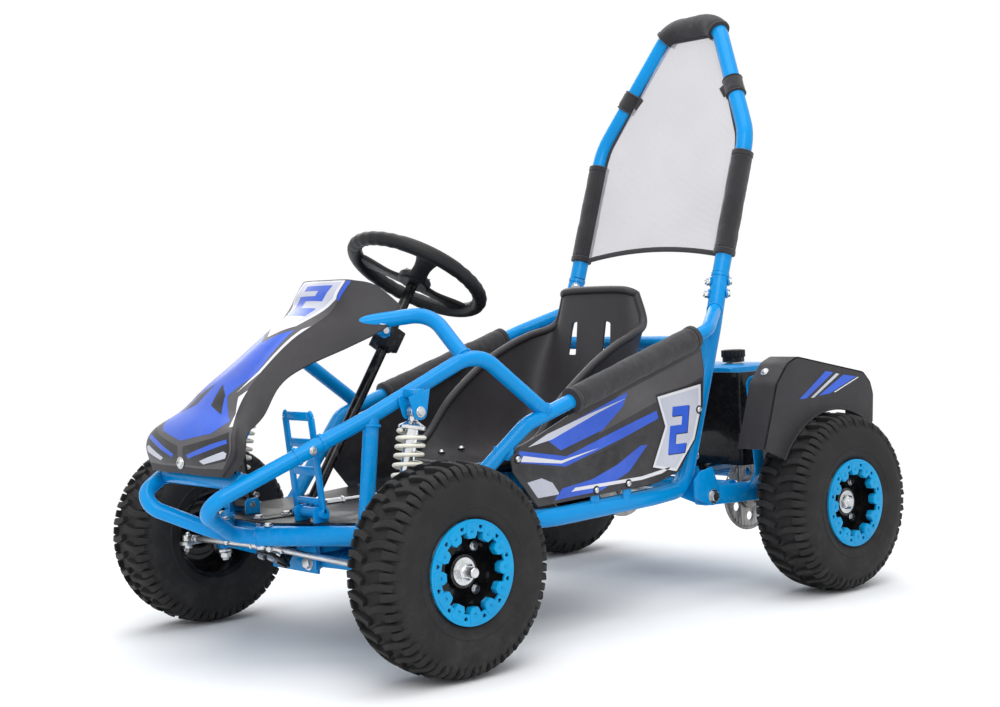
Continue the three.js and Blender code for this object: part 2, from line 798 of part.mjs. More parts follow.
function buildHoopNet() {
  const [lowShare, highShare] = netSleeveShares;
  const low = hoopLevel(lowShare);
  const high = hoopLevel(highShare);
  const legPlace = (z) => hoopPlace(legX(z), z);
  const sleeve = hoopWrap(new BentPath([legPlace(low), legPlace(high)], []), netSleeveWall);
  const strapZ = hoopLevel(netStrapHeightShare);
  const strapWay = hoopTop.clone().sub(hoopLegTop).normalize();
  const strapMiddle = legPlace(strapZ);
  const strap = hoopWrap(
    new BentPath(
      [
        strapMiddle.clone().addScaledVector(strapWay, -netStrapWidth / 2),
        strapMiddle.clone().addScaledVector(strapWay, netStrapWidth / 2),
      ],
      [],
    ),
    netSleeveWall,
  );
  const padEnd = hoopPlace(frameHalfWidth * netPadHalfShare, 0);
  const padZ = hoopTop.z - ((padEnd.x - hoopTop.x) * (hoopTop.z - hoopLegTop.z)) / (hoopLegTop.x - hoopTop.x);
  const padStart = hoopPlace(padEnd.x, padZ);
  const padPath = new BentPath(
    [padStart, hoopTop, mirrored(hoopTop), mirrored(padStart)],
    [uprightBend, uprightBend],
  );
  const pad = hoopWrap(padPath, netPadWall);

  // The panel's outline in its own plane: across, and up from the sleeves' foot
  const lift = 1 / hoopUp.z;
  const up = (z) => (z - low) * lift;
  const inset = largeTubeRadius + netEdgeGap;
  const openAt = (z) => {
    const lean = z > hoopLegTop.z ? netLegLean : 1;
    return legX(z) - lean * (largeTubeRadius + netBinding);
  };
  const topZ = hoopHeight - inset - netEdgeGap;
  const kneeZ = hoopLegTop.z;
  const levels = [];
  for (let row = 0; row < netLowRows; row += 1) {
    levels.push(low + ((kneeZ - low) * row) / netLowRows);
  }
  for (let row = 0; row <= netHighRows; row += 1) {
    levels.push(kneeZ + ((topZ - kneeZ) * row) / netHighRows);
  }
  const shoulderZ = hoopLevel(netShoulderShare);
  const side = [
    [legX(low) - inset, up(low)],
    [legX(high) - inset, up(high)],
    [legX(kneeZ) - inset - netKneeInset, up(kneeZ)],
    [legX(shoulderZ) - inset * netLegLean, up(shoulderZ)],
    [frameHalfWidth * netTopHalfShare, up(topZ)],
  ];
  const outline = [...side, ...side.map(([x, v]) => [-x, v]).reverse()];
  const holes = [];
  for (let row = 0; row < levels.length - 1; row += 1) {
    const bottom = levels[row];
    const top = levels[row + 1];
    const half = netBarShare / 2;
    for (let column = 0; column < netColumns; column += 1) {
      const corner = (c, rise) => {
        const across = -1 + (2 * c) / netColumns;
        const edge = openAt(bottom) + (openAt(top) - openAt(bottom)) * rise;
        return [edge * across, up(bottom + (top - bottom) * rise)];
      };
      const lowEdge = half;
      const highEdge = 1 - half;
      holes.push([
        corner(column + half, lowEdge),
        corner(column + 1 - half, lowEdge),
        corner(column + 1 - half, highEdge),
        corner(column + half, highEdge),
      ]);
    }
  }
  const origin = hoopPlace(0, low);
  const full = sheet(outline, origin, alongX, hoopUp, netThickness);
  const openings = holes.map((hole) =>
    sheet(hole, origin, alongX, hoopUp, netThickness + overrun),
  );
  const panel = cut(full, ...openings);
  const bore = tube(hoopPath, largeTubeRadius + netSleeveGap, largeTubeSides);
  const whole = join(panel, sleeve, otherSide(sleeve), strap, otherSide(strap), pad);
  return cut(whole, bore);
}

addPair("armrest_pad", buildArmrestPad(), blackRubber);
add("hoop_net", buildHoopNet(), greyMesh());

// Floor pan, seat, side panels and nose fairing

const panShares = [
  [0.19549, -1.26409, -0.36913],
  [0.73684, -1.05635, -0.36913],
  [0.79699, -0.66298, -0.36913],
  [0.96992, -0.33149, -0.36913],
  [0.91729, 0.24309, -0.36913],
];
const panTop = spot([0.75188, -1.0895, 0.09396]).z + largeTubeRadius + weldGap + panThickness;
const columnAxis = at(0, Math.sin(columnRake), Math.cos(columnRake));
const columnFoot = spot([0, -1.14807, -0.0481]);
const columnPlace = (distance) => columnFoot.clone().addScaledVector(columnAxis, distance);
const columnHoleGap = 5;

function buildFloorPan() {
  const side = panShares.map(spot).map((p) => [p.x, p.y]);
  const outline = [...side, ...side.map(([x, y]) => [-x, y]).reverse()];
  const middle = at(0, 0, panTop - panThickness / 2);
  const pan = sheet(outline, middle, alongX, alongY, panThickness);
  const columnHole = drill(
    columnPlace(0),
    columnPlace(columnLength / 2),
    columnRadius + columnHoleGap,
    10,
  );
  const post = rod(...postShares.map(spot), smallTubeRadius + weldGap, smallTubeSides);
  return cut(pan, columnHole, post, otherSide(post), fatArmrest, otherSide(fatArmrest));
}

// Seat: middle line and rim, front lip to the back's top
const seatLineShares = [
  [0, -0.34917, 0.24832],
  [0, -0.30939, 0.23043],
  [0, -0.1326, 0.20805],
  [0, 0.1326, 0.19016],
  [0, 0.29834, 0.22595],
  [0, 0.38011, 0.36913],
  [0, 0.44199, 0.63758],
  [0, 0.48619, 0.9217],
];
const seatRimShares = [
  [0.45113, -0.33149, 0.28412],
  [0.56391, -0.17901, 0.34676],
  [0.57143, -0.05304, 0.48098],
  [0.57143, 0.1326, 0.61521],
  [0.55639, 0.27624, 0.68904],
  [0.53383, 0.39337, 0.73154],
  [0.45113, 0.51271, 0.77629],
  [0.36842, 0.52597, 0.89709],
];
const seatAcrossShares = [
  [0.4, 0.02],
  [0.78, 0.16],
  [0.94, 0.52],
  [1, 1],
];
const seatSlotHalfWidth = 8;
const seatSlotHeight = 62;
const seatSlotSpreadShare = 0.173;
const seatRunnerWidth = 26;
const seatRunnerSpreadShare = 0.316;
const seatRunnerLength = 90;

function buildSeat() {
  const rows = seatLineShares.map((lineShare, i) => {
    const middle = spot(lineShare);
    const rim = spot(seatRimShares[i]);
    const half = seatAcrossShares.map(([across, lift]) =>
      at(
        rim.x * across,
        middle.y + (rim.y - middle.y) * lift,
        middle.z + (rim.z - middle.z) * lift,
      ),
    );
    return [...half.map(mirrored).reverse(), middle, ...half];
  });
  const bucket = shell(rows, -seatThickness);
  const backMiddle = spot([0, 0.45746, 0.70917]);
  const slots = [-1, 1].map((side) =>
    block(
      at(side * seatSlotSpreadShare * frameHalfWidth, backMiddle.y, backMiddle.z),
      2 * seatSlotHalfWidth,
      seatSlotHeight,
      seatSlotHeight,
    ),
  );
  const runnerFoot = panTop + weldGap;
  const runnerMiddle = spot([0, -0.12155, 0.21477]);
  const runnerHead = runnerMiddle.z;
  const runners = [-1, 1].map((side) =>
    block(
      at(
        side * seatRunnerSpreadShare * frameHalfWidth,
        runnerMiddle.y,
        (runnerFoot + runnerHead) / 2,
      ),
      seatRunnerWidth,
      seatRunnerLength,
      runnerHead - runnerFoot,
    ),
  );
  return cut(join(bucket, ...runners), ...slots);
}

// Side panel: fills the loop between the rail and the armrest tube
const sidePanelShares = [
  [0, -0.41105, 0.12528],
  [0, -0.0442, 0.13647],
  [0, 0.22099, 0.14541],
  [0, 0.34917, 0.18121],
  [0, 0.45083, 0.30201],
  [0, 0.49945, 0.42729],
  [0, 0.51271, 0.57942],
  [0, 0.49945, 0.65996],
  [0, 0.26519, 0.5906],
  [0, -0.21657, 0.44519],
  [0, -0.38895, 0.38702],
  [0, -0.48619, 0.35794],
  [0, -0.53481, 0.31544],
  [0, -0.52597, 0.26622],
];

function buildSidePanel() {
  const outline = sidePanelShares.map(spot).map((p) => [p.y, p.z]);
  return sideSheet(outline, panelInner, sidePanelThickness);
}

// Nose fairing: sections from its top rear edge down to its front lip, each
// from the middle line over the face's edge to the side wall's free edge
const fairingShares = [
  [
    [0, -0.90166, 1], [0.16917, -0.89282, 1], [0.27293, -0.88398, 0.99553],
    [0.34962, -0.81768, 0.97539], [0.42105, -0.74033, 0.91051],
  ],
  [
    [0, -0.94586, 0.95526], [0.15038, -0.94144, 0.95302], [0.24812, -0.9326, 0.94183],
    [0.33083, -0.87293, 0.89709], [0.42857, -0.80884, 0.83221],
  ],
  [
    [0, -0.9989, 0.89709], [0.13158, -0.99227, 0.89262], [0.22406, -0.98343, 0.87472],
    [0.30075, -0.95912, 0.8255], [0.36842, -0.93702, 0.7651],
  ],
  [
    [0, -1.13149, 0.81655], [0.09398, -1.12707, 0.81208], [0.16541, -1.11823, 0.78971],
    [0.22556, -1.12044, 0.74273], [0.2782, -1.12707, 0.68904],
  ],
  [
    [0, -1.26409, 0.7226], [0.10526, -1.25967, 0.71588], [0.19098, -1.25083, 0.69351],
    [0.24436, -1.23757, 0.66443], [0.29323, -1.22873, 0.63087],
  ],
  [
    [0, -1.37017, 0.64206], [0.13534, -1.36575, 0.63535], [0.24812, -1.3547, 0.61298],
    [0.31579, -1.34365, 0.57494], [0.36842, -1.33039, 0.5302],
  ],
  [
    [0, -1.44751, 0.566], [0.16917, -1.44088, 0.55928], [0.31203, -1.4232, 0.54362],
    [0.39098, -1.42762, 0.51678], [0.45865, -1.43646, 0.47651],
  ],
  [
    [0, -1.52044, 0.49217], [0.22556, -1.5116, 0.48993], [0.43985, -1.49392, 0.48098],
    [0.47368, -1.47624, 0.45414], [0.49624, -1.45856, 0.41834],
  ],
  [
    [0, -1.54254, 0.41387], [0.24436, -1.53812, 0.41387], [0.4812, -1.51602, 0.41834],
    [0.49248, -1.49392, 0.40045], [0.49624, -1.47624, 0.38031],
  ],
  [
    [0, -1.53591, 0.33781], [0.18797, -1.5337, 0.33557], [0.37594, -1.52486, 0.33557],
    [0.3985, -1.51381, 0.33333], [0.42105, -1.50276, 0.3311],
  ],
];

function buildNoseFairing() {
  const rows = fairingShares.map((section) => {
    const half = section.map(spot);
    return [...half.slice(1).map(mirrored).reverse(), ...half];
  });
  const skin = shell(rows, -fairingThickness);
  const clear = tube(noseTubePath, smallTubeRadius + 2 * slideGap, smallTubeSides);
  const bumperEnd = spot(bumperCrossShare);
  const bumper = rod(bumperEnd, mirrored(bumperEnd), smallTubeRadius + slideGap, smallTubeSides);
  const dashEnd = spot(dashCrossShare);
  const dash = rod(dashEnd, mirrored(dashEnd), smallTubeRadius + slideGap, smallTubeSides);
  const side = tube(sideTubePath, smallTubeRadius + 2 * slideGap, smallTubeSides);
  return cut(skin, clear, otherSide(clear), bumper, dash, side, otherSide(side));
}

add("seat", buildSeat(), blackPlastic());
addPair("side_panel", buildSidePanel(), blackPlastic);
add("nose_fairing", buildNoseFairing(), blackPlastic());

// Steering

const clampLength = 40;
const clampDepth = 30;
const clampWidth = 2 * columnLugX - columnLugThickness - 1;

// Clamp round the column, bolted between the lugs of the nose frame
function buildColumnClamp() {
  const bolt = spot(clampBoltShare);
  const axisAt = columnPlace(bolt.clone().sub(columnFoot).dot(columnAxis));
  const boltMiddle = at(0, bolt.y, bolt.z);
  const forward = boltMiddle.clone().sub(axisAt).normalize();
  const back = axisAt.clone().addScaledVector(forward, -columnRadius - clampDepth / 4);
  const front = boltMiddle.clone().addScaledVector(forward, boltRadius + boltHeadLip);
  const body = bar(back, front, alongX, clampWidth, clampLength);
  const reach = columnLugX + columnLugThickness / 2 + weldGap;
  const through = boltBetween(at(reach, bolt.y, bolt.z), at(-reach, bolt.y, bolt.z));
  const bore = drill(columnPlace(0), columnPlace(columnLength + clampLength), columnRadius + slideGap);
  return cut(join(body, through), bore);
}

function perpendicularTo(axis, towards) {
  const side = towards.clone().addScaledVector(axis, -towards.dot(axis));
  return side.normalize();
}

const columnForward = perpendicularTo(columnAxis, at(0, -1, 0));

function buildSteeringColumn() {
  const shaft = rod(columnPlace(0), columnPlace(columnLength), columnRadius, 12);
  const outline = [
    [-columnRadius, -columnRadius],
    [columnRadius, -columnRadius],
    [pitmanHalfWidth + pitmanEdge, pitmanLength - pitmanShoulder],
    [pitmanHalfWidth + pitmanEdge, pitmanLength + pitmanTipReach],
    [-pitmanHalfWidth - pitmanEdge, pitmanLength + pitmanTipReach],
    [-pitmanHalfWidth - pitmanEdge, pitmanLength - pitmanShoulder],
  ];
  const plate = sheet(
    outline,
    columnPlace(pitmanThickness / 2),
    alongX,
    columnForward,
    pitmanThickness,
  );
  return join(shaft, plate);
}

function buildSteeringWheel() {
  const centre = columnPlace(columnLength);
  const outerRadius = steeringWheelDiameter / 2;
  const rimPath = outerRadius - steeringRimRadius;
  const rim = new THREE.TorusGeometry(rimPath, steeringRimRadius, 6, 18);
  const tilt = new THREE.Quaternion().setFromUnitVectors(alongZ, columnAxis);
  rim.applyQuaternion(tilt);
  const rimPlace = columnPlace(columnLength + steeringHubHeight);
  rim.translate(rimPlace.x, rimPlace.y, rimPlace.z);
  const hubStart = centre.clone().addScaledVector(columnAxis, weldGap);
  const hubEnd = columnPlace(columnLength + steeringHubHeight);
  const hub = rod(hubStart, hubEnd, steeringHubRadius, 10);
  const spokes = [0, 1, 2].map((i) => {
    const angle = Math.PI / 2 + (2 * Math.PI * i) / 3;
    const way = alongX.clone().multiplyScalar(Math.cos(angle));
    way.addScaledVector(columnForward, -Math.sin(angle));
    const start = columnPlace(columnLength + steeringHubHeight / 2);
    const end = rimPlace.clone().addScaledVector(way, rimPath);
    const side = columnAxis.clone().cross(way);
    return bar(start, end, side, steeringHubRadius, pitmanThickness);
  });
  return join(rim, hub, ...spokes);
}

// Foot bracket: a strap from the nose down to a bush round the column
const footStrapShares = [[0, -1.25083, 0.14206], [0, -1.09834, 0.14765]];
const footStrapWidth = 34;
const footStrapThickness = 4;
const footBushDistance = 108;
const footBushLength = 22;
const footBushWall = 6;

function buildColumnFoot() {
  const strapZ = panTop + weldGap + footStrapThickness / 2;
  const [front, rear] = footStrapShares.map(spot);
  front.z = strapZ;
  rear.z = strapZ;
  const flat = bar(front, rear, alongX, footStrapWidth, footStrapThickness);
  const bushStart = columnPlace(footBushDistance - footBushLength / 2);
  const bushEnd = columnPlace(footBushDistance + footBushLength / 2);
  const bush = rod(bushStart, bushEnd, columnRadius + footBushWall, 12);
  const rise = bar(rear, columnPlace(footBushDistance), alongX, footStrapWidth, footStrapThickness);
  const bore = drill(columnPlace(0), columnPlace(columnLength + clampLength), columnRadius + slideGap);
  const belowPan = block(
    at(0, rear.y, panTop - footStrapWidth),
    4 * footStrapWidth,
    6 * footStrapWidth,
    2 * footStrapWidth + 2 * weldGap,
  );
  return cut(join(flat, rise, bush), bore, belowPan);
}

add("column_clamp", buildColumnClamp(), blackPaint());
add("steering_column", buildSteeringColumn(), blackPaint());
add("steering_wheel", buildSteeringWheel(), blackRubber());
add("column_foot_bracket", buildColumnFoot(), blackPaint());

// Front suspension

const axleY = -halfWheelbase;
const armPivotY = axleY;
const cradleFrontShare = [0.6015, -1.14917, 0.09396];
const cradleRearShare = [0.77068, -0.90166, 0.08725];
const cradleBarX = 66;
const cradleBarThickness = 6;
const cradlePlateThickness = 5;
const cradlePlateGap = 0.5;

// Cradle: two cross tubes with a box below them that carries the arm pins
function buildFrontCradle() {
  const cross = [cradleFrontShare, cradleRearShare].map((share) => {
    const end = spot(share);
    return rod(end, mirrored(end), smallTubeRadius, smallTubeSides);
  });
  const frontY = spot(cradleFrontShare).y;
  const rearY = spot(cradleRearShare).y;
  const tubeZ = spot(cradleRearShare).z;
  const bottom = armPivotHeight - cradleDropShare * armBushRadius;
  const bars = [-1, 1].map((side) =>
    block(
      at(side * cradleBarX, (frontY + rearY) / 2, tubeZ - smallTubeRadius),
      cradleBarThickness,
      rearY - frontY,
      2 * smallTubeRadius,
    ),
  );
  const plateReach = armPivotLength / 2 + cradlePlateGap + cradlePlateThickness / 2;
  const plates = [-1, 1].map((side) =>
    block(
      at(0, armPivotY + side * plateReach, (bottom + tubeZ) / 2),
      2 * cradleBarX,
      cradlePlateThickness,
      tubeZ - bottom,
    ),
  );
  const pinReach = plateReach + cradlePlateThickness / 2 - weldGap;
  const pins = [-1, 1].map((side) =>
    boltBetween(
      at(side * armPivotHalfSpan, armPivotY - pinReach, armPivotHeight),
      at(side * armPivotHalfSpan, armPivotY + pinReach, armPivotHeight),
      armPinRadius,
    ),
  );
  const column = rod(
    columnPlace(-columnLength / 8),
    columnPlace(columnLength / 2),
    columnRadius + columnHoleGap,
    8,
  );
  const cradle = join(...cross, ...bars, ...plates, ...pins);
  const pan = block(
    at(0, armPivotY, panTop + frameHalfWidth / 2 - panThickness - weldGap),
    2 * frameHalfWidth,
    wheelbase,
    frameHalfWidth,
  );
  return cut(cradle, fatRail, otherSide(fatRail), column, pan);
}

// Lower arm: a pivot tube, two legs and a kingpin tube at the wheel
const armLegSpread = 27;
function buildFrontArm() {
  const pivot = (y) => at(armPivotHalfSpan, y, armPivotHeight);
  const halfLength = armPivotLength / 2;
  const bush = rod(
    pivot(armPivotY - halfLength),
    pivot(armPivotY + halfLength),
    armBushRadius,
    10,
  );
  const kingpin = at(kingpinHalfSpan, axleY, wheelCentreHeight);
  const kingpinFoot = at(kingpin.x, kingpin.y, kingpin.z - kingpinHeight / 2);
  const kingpinHead = at(kingpin.x, kingpin.y, kingpin.z + kingpinHeight / 2);
  const post = rod(kingpinFoot, kingpinHead, kingpinTubeRadius, 10);
  const legEnd = at(kingpin.x, kingpin.y, legEndHeight);
  const legs = [-1, 1].map((side) =>
    rod(pivot(armPivotY + side * armLegSpread), legEnd, armTubeRadius, smallTubeSides),
  );
  const eyeOutline = [
    [shockBottom.y - shockEarRadius, legHeightAtShock],
    [shockBottom.y + shockEarRadius, legHeightAtShock],
    [shockBottom.y + shockEarRadius, shockBottom.z],
    [shockBottom.y, shockBottom.z + shockEarRadius],
    [shockBottom.y - shockEarRadius, shockBottom.z],
  ];
  const cheeks = [-1, 1].map((side) => {
    const middle = shockBottom.x + side * (shockEarHalfGap + shockEarThickness / 2);
    return sideSheet(eyeOutline, middle - shockEarThickness / 2, shockEarThickness);
  });
  const reach = shockEarHalfGap + shockEarThickness - weldGap;
  const bolt = boltBetween(
    at(shockBottom.x + reach, shockBottom.y, shockBottom.z),
    at(shockBottom.x - reach, shockBottom.y, shockBottom.z),
  );
  const pinBore = drill(
    pivot(armPivotY - halfLength - overrun),
    pivot(armPivotY + halfLength + overrun),
    armPinRadius + slideGap,
  );
  const kingpinBore = drill(
    at(kingpin.x, kingpin.y, kingpinFoot.z - overrun),
    at(kingpin.x, kingpin.y, kingpinHead.z + overrun),
    kingpinRadius + slideGap,
  );
  const eyeSpace = block(
    at(shockBottom.x, shockBottom.y, shockBottom.z + shockEarRadius * eyeRiseShare),
    2 * shockEarHalfGap,
    3 * shockEarRadius,
    2 * shockEarRadius,
  );
  const arm = join(bush, post, ...legs, ...cheeks);
  return join(cut(arm, pinBore, kingpinBore, eyeSpace), bolt);
}

// Knuckle: a fork on the kingpin, the stub axle and the steering arm
const forkReach = 19;
const forkHalfWidth = 13;
const forkInnerReach = 9;
const forkNoseHalf = 3.5;
const forkShoulder = 2.5;
const knuckleGap = 1.2;
const steeringBallInset = 9;
const steeringBallX = kingpinHalfSpan - steeringBallInset;
const ballHeight = 159;
const steeringArmThickness = 7;
function buildKnuckle() {
  const kingpin = at(kingpinHalfSpan, axleY, wheelCentreHeight);
  const forkTop = kingpinHeight / 2 + knuckleGap + knucklePlateThickness;
  const forkOutline = [
    [forkReach, -forkHalfWidth],
    [forkReach, forkHalfWidth],
    [-forkShoulder, forkHalfWidth],
    [-forkInnerReach, forkNoseHalf],
    [-forkInnerReach, -forkNoseHalf],
    [-forkShoulder, -forkHalfWidth],
  ];
  const plates = [-1, 1].map((side) =>
    sheet(
      forkOutline,
      at(kingpin.x, kingpin.y, kingpin.z + side * (forkTop - knucklePlateThickness / 2)),
      alongX,
      alongY,
      knucklePlateThickness,
    ),
  );
  const backX = kingpin.x + forkReach - knucklePlateThickness / 2;
  const back = block(
    at(backX, kingpin.y, kingpin.z),
    knucklePlateThickness,
    2 * forkHalfWidth,
    2 * forkTop,
  );
  const pin = boltBetween(
    at(kingpin.x, kingpin.y, kingpin.z + forkTop - weldGap),
    at(kingpin.x, kingpin.y, kingpin.z - forkTop + weldGap),
    kingpinRadius,
  );
  const wheelX = frontTrack / 2;
  const stubEnd = wheelX + wheelHubReach + slideGap;
  const stub = rod(
    at(backX, kingpin.y, kingpin.z),
    at(stubEnd + axleNutHeight, kingpin.y, kingpin.z),
    frontAxleRadius,
    10,
  );
  const nut = rod(
    at(stubEnd, kingpin.y, kingpin.z),
    at(stubEnd + axleNutHeight - weldGap, kingpin.y, kingpin.z),
    axleNutRadius,
    6,
  );
  const armY = kingpin.y - steeringArmLength;
  const armStart = at(
    kingpin.x + forkReach - knucklePlateThickness / 2,
    kingpin.y - kingpinTubeRadius - 4 * boltGap,
    ballHeight,
  );
  const arm = bar(
    armStart,
    at(steeringBallX, armY - tieRodEyeRadius, ballHeight),
    alongX,
    steeringArmWidthShare * tieRodEyeRadius,
    steeringArmThickness,
  );
  const armTop = ballHeight + steeringArmThickness / 2;
  const stud = rod(
    at(steeringBallX, armY, ballHeight),
    at(steeringBallX, armY, armTop + 3 * tieRodRadius),
    boltRadius,
    8,
  );
  return join(...plates, back, pin, stub, nut, arm, stud);
}

// Tie rod: from an eye on the steering arm's stud to one over the pitman plate
const tieRodInnerX = 14;
const pitmanTip = columnPlace(pitmanThickness).addScaledVector(columnForward, pitmanLength);
const tieRodInnerLift = 14.5;
function buildTieRod() {
  const armY = axleY - steeringArmLength;
  const armTop = ballHeight + steeringArmThickness / 2;
  const outerZ = armTop + tieRodRadius + 2 * slideGap;
  const outer = at(steeringBallX, armY, outerZ);
  const inner = at(tieRodInnerX, pitmanTip.y, pitmanTip.z + tieRodInnerLift);
  const shaft = rod(outer, inner, tieRodRadius, 8);
  const eye = rod(
    at(outer.x, outer.y, outerZ - tieRodRadius),
    at(outer.x, outer.y, outerZ + tieRodRadius),
    tieRodEyeRadius,
    10,
  );
  const innerEye = rod(
    at(inner.x, inner.y, inner.z - tieRodRadius),
    at(inner.x, inner.y, inner.z + tieRodRadius),
    tieRodEyeRadius,
    10,
  );
  const bore = drill(
    at(outer.x, outer.y, outerZ - 2 * tieRodRadius),
    at(outer.x, outer.y, outerZ + 2 * tieRodRadius),
    boltRadius + slideGap,
  );
  return cut(join(shaft, eye, innerEye), bore);
}

add("front_cradle", buildFrontCradle(), bluePaint());
addPair("front_arm", buildFrontArm(), bluePaint);
addPair("knuckle", buildKnuckle(), zincSteel);
addPair("tie_rod", buildTieRod(), zincSteel);

// Shock absorbers: measured down from the top eye

const shockNeckShare = 0.7;
const lowerEyeRadius = 8.5;
const lowerEyePlay = 1;
const shockBodyShare = 0.6;
const shockSpringStartShare = 0.12;
const shockSpringEndShare = 0.86;
const shockSides = 8;
const curlSteps = 8;
const wireSides = 5;

class HelixPath extends THREE.Curve {
  constructor(start, axis, side, radius, length, curls) {
    super();
    this.stops = [];
    const other = axis.clone().cross(side);
    const steps = Math.round(curls * curlSteps);
    for (let i = 0; i <= steps; i += 1) {
      const angle = (2 * Math.PI * i) / curlSteps;
      const around = side.clone().multiplyScalar(Math.cos(angle));
      around.addScaledVector(other, Math.sin(angle));
      const point = start.clone().addScaledVector(axis, (length * i) / steps);
      point.addScaledVector(around, radius);
      const tangent = other.clone().multiplyScalar(Math.cos(angle));
      tangent.addScaledVector(side, -Math.sin(angle));
      tangent.multiplyScalar((radius * 2 * Math.PI) / curlSteps);
      tangent.addScaledVector(axis, length / steps);
      this.stops.push({ point, tangent: tangent.normalize() });
    }
  }
  getUtoTmapping(u) {
    return u;
  }
  getPoint(t) {
    return this.stops[Math.round(t * (this.stops.length - 1))].point.clone();
  }
  getTangent(t) {
    return this.stops[Math.round(t * (this.stops.length - 1))].tangent.clone();
  }
}

function shockPlaces(top, bottom) {
  const axis = bottom.clone().sub(top).normalize();
  const length = bottom.distanceTo(top);
  const place = (distance) => top.clone().addScaledVector(axis, distance);
  return { axis, length, place };
}

function eyeAcross(centre, radius, width, bore) {
  const half = alongX.clone().multiplyScalar(width / 2);
  const far = alongX.clone().multiplyScalar(width / 2 + overrun);
  const eye = rod(centre.clone().sub(half), centre.clone().add(half), radius, 10);
  const hole = drill(centre.clone().sub(far), centre.clone().add(far), bore);
  return { eye, hole };
}

function buildShockBody(top, bottom) {
  const { length, place } = shockPlaces(top, bottom);
  const { eye, hole } = eyeAcross(top, shockEyeRadius, shockEyeWidth, boltRadius + slideGap);
  const neck = rod(
    top,
    place(length * shockSpringStartShare),
    shockBodyRadius * shockNeckShare,
    shockSides,
  );
  const seatStart = length * shockSpringStartShare - shockSeatThickness;
  const seat = rod(place(seatStart), place(seatStart + shockSeatThickness), shockSeatRadius, 12);
  const bodyEnd = length * shockBodyShare;
  const body = rod(place(seatStart), place(bodyEnd), shockBodyRadius, shockSides);
  const bore = drill(
    place(length * shockStemShare),
    place(bodyEnd + overrun),
    shockRodRadius + slideGap,
  );
  return cut(join(eye, neck, seat, body), bore, hole);
}

function buildShockRod(top, bottom) {
  const { length, place } = shockPlaces(top, bottom);
  const bore = boltRadius + lowerEyePlay;
  const { eye, hole } = eyeAcross(bottom, lowerEyeRadius, shockEyeWidth, bore);
  const shaft = rod(place(length * shockRodStartShare), place(length), shockRodRadius, 8);
  const seatStart = length * shockSpringEndShare;
  const seat = rod(place(seatStart), place(seatStart + shockSeatThickness), shockSeatRadius, 12);
  const clevis = rod(place(seatStart), place(length - lowerEyeRadius / 2), shockEyeWidth / 2, 8);
  return cut(join(shaft, seat, clevis, eye), hole);
}

// Least gap between curls of a spring, wire surface to wire surface
function leastGap(path) {
  const points = path.stops.map((stop) => stop.point);
  let least = Infinity;
  for (let i = 0; i < points.length; i += 1) {
    for (let j = i + curlSteps / 2; j < points.length; j += 1) {
      least = Math.min(least, points[i].distanceTo(points[j]));
    }
  }
  return least - 2 * springWireRadius;
}

function buildSpring(name, top, bottom, curls) {
  const { axis, length, place } = shockPlaces(top, bottom);
  const start = length * shockSpringStartShare + springWireRadius + springSeatGap;
  const end = length * shockSpringEndShare - springWireRadius - springSeatGap;
  const side = axis.clone().cross(alongX).normalize();
  const path = new HelixPath(place(start), axis, side, springRadius, end - start, curls);
  console.log(name, "least gap between curls", leastGap(path).toFixed(2));
  return tube(path, springWireRadius, wireSides);
}

addPair("shock_body", buildShockBody(shockTop, shockBottom), zincSteel);
addPair("shock_rod", buildShockRod(shockTop, shockBottom), zincSteel);
addPair("shock_spring", buildSpring("front spring", shockTop, shockBottom, springCurls), ivoryPaint);

// Rear frame, sprung from the seat cross tube

const swingAxisY = swingPivot.y;
const rearAxleY = halfWheelbase;
const beamOverhang = 98;
const frontCrossOffset = 92;
const rearCrossInset = 12;
const beamRearY = rearAxleY + beamOverhang;
const swingCrossY = [swingAxisY + frontCrossOffset, beamRearY - rearCrossInset];
const frontCrossLift = 4;
const rearCrossLift = 30;
const swingCrossHeights = [
  swingPivotHeight + frontCrossLift,
  wheelCentreHeight + rearCrossLift,
];
const enginePlateTop = 212;
const enginePlateThickness = 4;
const enginePlateHalfWidth = 122;
const axleCarrierRadius = 27;
const axleCarrierWidth = 26;
const rearShockTop = spot([0, 0.77127, 0.6264]);
const rearShockBottom = spot([0, 0.8, 0.14094]);
const rearEarHalfGap = shockEyeWidth / 2 + rearEarPlay;
const calliperX = -chainOffset;
const discRadius = 70;
const discThickness = 4;
const stayWidth = 24;
const stayThickness = 4;
const fenderInnerReach = 59;
const fenderOuterReach = 122;
const fenderInnerX = frameHalfWidth + fenderInnerReach;
const fenderOuterX = frameHalfWidth + fenderOuterReach;
const stayShares = [
  [0.93233, 0.8221, 0.04251], [1.13158, 0.74696, 0.13647], [1.1391, 0.70276, 0.5302],
  [1.30451, 0.69613, 0.5481],
];
const stayLandingShare = 0.35;
const fenderSlopeShares = [[0, 0.64088, 0.51454], [0, 0.7116, 0.59284]];

const fenderSlope = spot(fenderSlopeShares[1]).sub(spot(fenderSlopeShares[0])).normalize();
const fenderNormal = alongX.clone().cross(fenderSlope).normalize();

function stayPlaces() {
  const places = stayShares.map(spot);
  const landing = places[places.length - 1];
  landing.x = fenderInnerX + (fenderOuterX - fenderInnerX) * stayLandingShare;
  return places;
}

// The screw that holds the fender's front to its stay
function fenderScrewEnds() {
  const seat = stayPlaces()[3];
  const edge = spot(fenderSlopeShares[0]);
  const depth = edge.clone().sub(seat).dot(fenderNormal);
  const head = seat.clone().addScaledVector(fenderNormal, depth + weldGap);
  const tail = seat.clone().addScaledVector(fenderNormal, -stayThickness / 2 + weldGap);
  return { head, tail };
}

function fenderScrew() {
  const { head, tail } = fenderScrewEnds();
  return boltBetween(head, tail);
}

